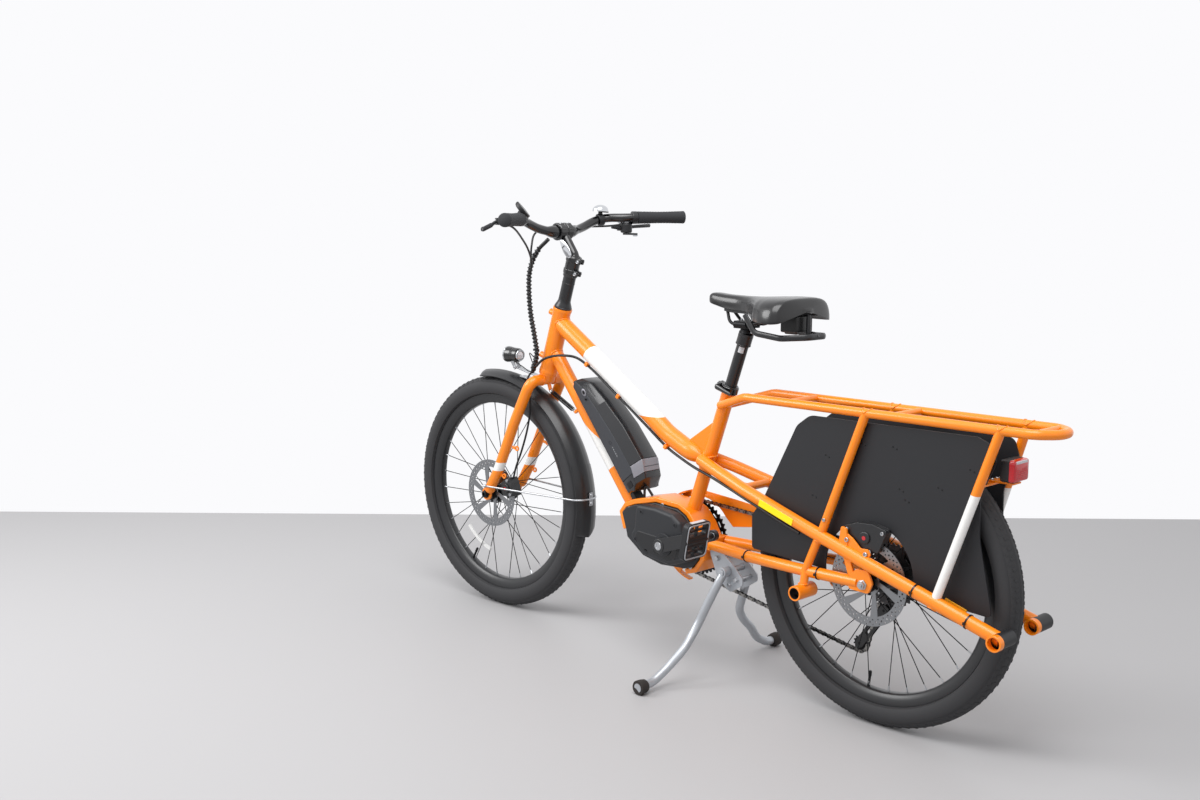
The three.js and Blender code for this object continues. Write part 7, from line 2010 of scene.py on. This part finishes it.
def build_seatpost():
    bm = bmesh.new()
    profile = [(0, 279), (13.6, 279), (13.6, 499), (17, 503), (17, 528.6), (0, 528.6)]
    turned(bm, profile, BRACKET, SEAT_UP, 40)
    put_down("seatpost_tube", "seat", SATIN_BLACK, bm, ("seatpost",), sharp=30)
    rings = bmesh.new()
    tube_ring(rings, 17.5, 14, 500.5, 503, BRACKET, SEAT_UP, 40, 0.5)
    tube_ring(rings, 17.4, 14, 521, 523, BRACKET, SEAT_UP, 40, 0.5)
    put_down("seatpost_head_ring", "seat", DARK_STEEL, rings)
    label = bmesh.new()
    rows = []
    for lift in (484, 498):
        row = [on_seat(lift) + (SEAT_AHEAD * math.cos(a) + ACROSS * math.sin(a)) * 13.75 for a in
               [math.radians(mix(95, 150, k / 10)) for k in range(11)]]
        rows.append([label.verts.new(p) for p in row])
    for i in range(10):
        label.faces.new((rows[0][i], rows[0][i + 1], rows[1][i + 1], rows[1][i]))
    put_down("seatpost_plain_label", "seat", LIGHT_LABEL, label)


def build_seat_clamp():
    collar = bmesh.new()
    foot = on_seat(383)
    tube_ring(collar, 20, 16.3, 0, 16.3, foot, SEAT_UP, 44, 1.4)
    tube_ring(collar, 18, 13.9, 15, 18.6, foot, SEAT_UP, 44, 0.8)
    for y in (4.6, -4.6):
        ear = on_seat(391) + SEAT_AHEAD * 17 + at(0, y, 0)
        bar(collar, ear, ear + SEAT_AHEAD * 14, 6, 15.4)
    put_down("seat_clamp_collar", "frame", GLOSS_BLACK, collar, ("seat_clamp",), bevel=1.2, segments=3)
    nut = bmesh.new()
    rod(nut, SEAT_LEVER_PIVOT - ACROSS * 15, SEAT_LEVER_PIVOT - ACROSS * 7, 6, 20, 7)
    put_down("seat_clamp_nut", "frame", BLACK_STEEL, nut, bevel=0.8)


def build_quick_lever():
    lever = bmesh.new()
    spot = SEAT_LEVER_PIVOT + ACROSS * 12.8
    disc(lever, 4.9, -7.6, 7.6, spot, SEAT_UP, 28, 1.2)
    elbow = spot + ACROSS * 12.5
    route = rounded([spot, elbow + SEAT_AHEAD, elbow - SEAT_AHEAD * 46], 12, 6)
    sizes = [(2.4, mix(4.4, 6.4, i / (len(route) - 1))) for i in range(len(route))]
    sizes[-1] = (2.4, 4)
    strap(lever, route, SEAT_UP, sizes, 14)
    put_down("seat_quick_lever", "seat_lever", GLOSS_BLACK, lever, ("clamp_lever",), sharp=50)


def build_tail_light():
    centre = at(-281, 0, 580)
    outline = rectangle(30.4, 21.4, 7)
    for name, material, stands_for, sections in (
            ("tail_light_housing", BLACK_ABS, ("tail_light",),
             ((15, 0.9), (13, 0.98), (6, 1), (-4, 1), (-4.5, 0.985))),
            ("tail_light_lens", RED_LENS, (),
             ((-4.6, 0.985), (-5, 1), (-11, 0.985), (-14, 0.93), (-15, 0.84)))):
        bm = bmesh.new()
        skin(bm, [[centre + at(x, y * grow, z * grow) for y, z in outline] for x, grow in sections])
        put_down(name, "frame", material, bm, stands_for)
    ribs = bmesh.new()
    for k in range(5):
        box(ribs, at(centre.x - 14.6, 0, centre.z - 12 + k * 4), (1.2, 46, 1.4))
    put_down("tail_light_lens_ribs", "frame", RED_LENS, ribs, bevel=0.4)
    strip = bmesh.new()
    box(strip, at(centre.x - 10.4, 0, centre.z + 16.4), (9.6, 44, 6))
    put_down("tail_light_clear_strip", "frame", CLEAR_LENS, strip, bevel=1)
    on_top, foot = UPRIGHTS[1][1:3]
    share = (RACK_HEIGHT - 550) / (RACK_HEIGHT - on_rail(foot, LEFT).z)
    ahead = mix(on_top, foot, share)
    x = centre.x
    outline = [(x - 7.5, 552.4), (x + 8, 552.4), (ahead + 6, 552.4), (ahead + 6, 556), (x + 10, 556),
               (x + 10, 574), (x + 6, 574), (x + 6, 556), (x - 7.5, 556)]
    bracket = bmesh.new()
    plate(bracket, outline, -15, 15)
    box(bracket, at(ahead, 0, 550), (15, 104, 4))
    put_down("tail_light_bracket", "frame", ORANGE_COAT, bracket, bevel=0.8)
    bolts = bmesh.new()
    for y in (-9, 9):
        bolt_head(bolts, at(ahead, y, 556), UP, 3.6, 3)
    put_down("tail_light_bolts", "frame", ZINC, bolts)
    route = [at(x + 10, -12, 580), at(x + 20, -16, 566), at(x + 30, -26, 556), at(ahead + 12, -40, 552),
             at(ahead + 14, -48, 540)]
    lay_cord("tail_light_wire", "frame", route, 1.2, material=WHITE_PLASTIC, sides=4)


def build_stand_plates():
    outline = [STAND_PIVOT + at(x, 0, z) for x, z in
               ((56, 42), (19, 42), (-12, 20), (-43, -9), (-44, -25), (-9, -48), (30, -20))]
    holes = ((0, 0, 7.6), (30, 24, 4), (-26, -16, 4))
    slots = [circle(STAND_PIVOT + at(x, 0, z), radius, 20) for x, z, radius in holes]
    bm = bmesh.new()
    shape = soft_outline(outline, 9, 5)
    for side in (LEFT, RIGHT):
        plate(bm, shape, *spans(24.5, 28, side), slots)
    box(bm, STAND_PIVOT + at(36, 0, 39.5), (38, 52, 4))
    put_down("stand_mount_plates", "frame", SILVER_PAINT, bm, ("stand_plate",), bevel=0.7)
    bolts = bmesh.new()
    for x, z, size in ((30, 24, 6.4), (-26, -16, 5.6), (-8, -30, 4.6)):
        spot = STAND_PIVOT + at(x, 0, z)
        rod(bolts, spot - ACROSS * 30, spot + ACROSS * 30, 3.4, 16)
        for side in (LEFT, RIGHT):
            head = [(0, 0), (size + 1, 0), (size + 1, 1.4), (size, 1.8), (size, 6), (size - 1.4, 7), (0, 7)]
            turned(bolts, head, spot + ACROSS * 28 * side, ACROSS * side, 6)
    put_down("stand_plate_bolts", "frame", ZINC, bolts, sharp=30)


def build_stand_spring():
    spring = []
    start, end = STAND_PIVOT + at(20, 19, 16), STAND_PIVOT + at(-22, 19, -22)
    along = (end - start).normalized()
    up = along.cross(ACROSS)
    for k in range(14 * 10 + 1):
        angle = math.tau * k / 10
        spring.append(mix(start, end, k / 140) + (ACROSS * math.cos(angle) + up * math.sin(angle)) * 4.6)
    tubes("stand_return_spring", "frame", DARK_STEEL, [(spring, 1.1)], sides=2)


def build_stand_legs():
    below = [(6, 52.5, -24), (32, 66, -88), (44, 73, -120), (48, 92, -148), (48.5, 121, -175),
             (60, 158, -209), (63.5, 182.5, -224), (65.6, 205, -234), (67, 250, -237)]
    runs = []
    feet, knees = bmesh.new(), bmesh.new()
    for side in (LEFT, RIGHT):
        points = [STAND_PIVOT + at(0, 40 * side, 0)] + [STAND_PIVOT + at(x, y * side, z) for x, y, z in below]
        line = smooth_line(points, 6)
        runs.append((line, 10))
        turned(feet, [(0, -13), (13, -13), (14.6, -11), (16.2, -2), (16.6, 10), (15.6, 11.6), (0, 11.8)],
               at(line[-1].x, 238 * side, 16.7), ACROSS * side, 36)
        knee = STAND_PIVOT + ACROSS * 50 * side
        rod(knees, STAND_PIVOT + ACROSS * 28.6 * side, knee, 11.6, 28)
        rod(knees, knee, knee + ACROSS * 3 * side, 8, 6)
    rod(knees, STAND_PIVOT - ACROSS * 50, STAND_PIVOT + ACROSS * 50, 7, 20)
    tubes("stand_legs_tubes", "stand", SILVER_PAINT, runs, ("stand_legs",), 8)
    put_down("stand_knuckles", "stand", SILVER_PAINT, knees, bevel=1)
    put_down("stand_rubber_feet", "stand", FOOT_RUBBER, feet)


build_battery()
build_battery_lock()
build_battery_lights()
build_battery_mount()
build_motor_lead()
build_saddle_pad()
build_saddle_base()
build_saddle_rails()
build_grab_loop()
build_saddle_clamp()
build_elastomer()
build_seatpost()
build_seat_clamp()
build_quick_lever()
build_tail_light()
build_stand_plates()
build_stand_spring()
build_stand_legs()
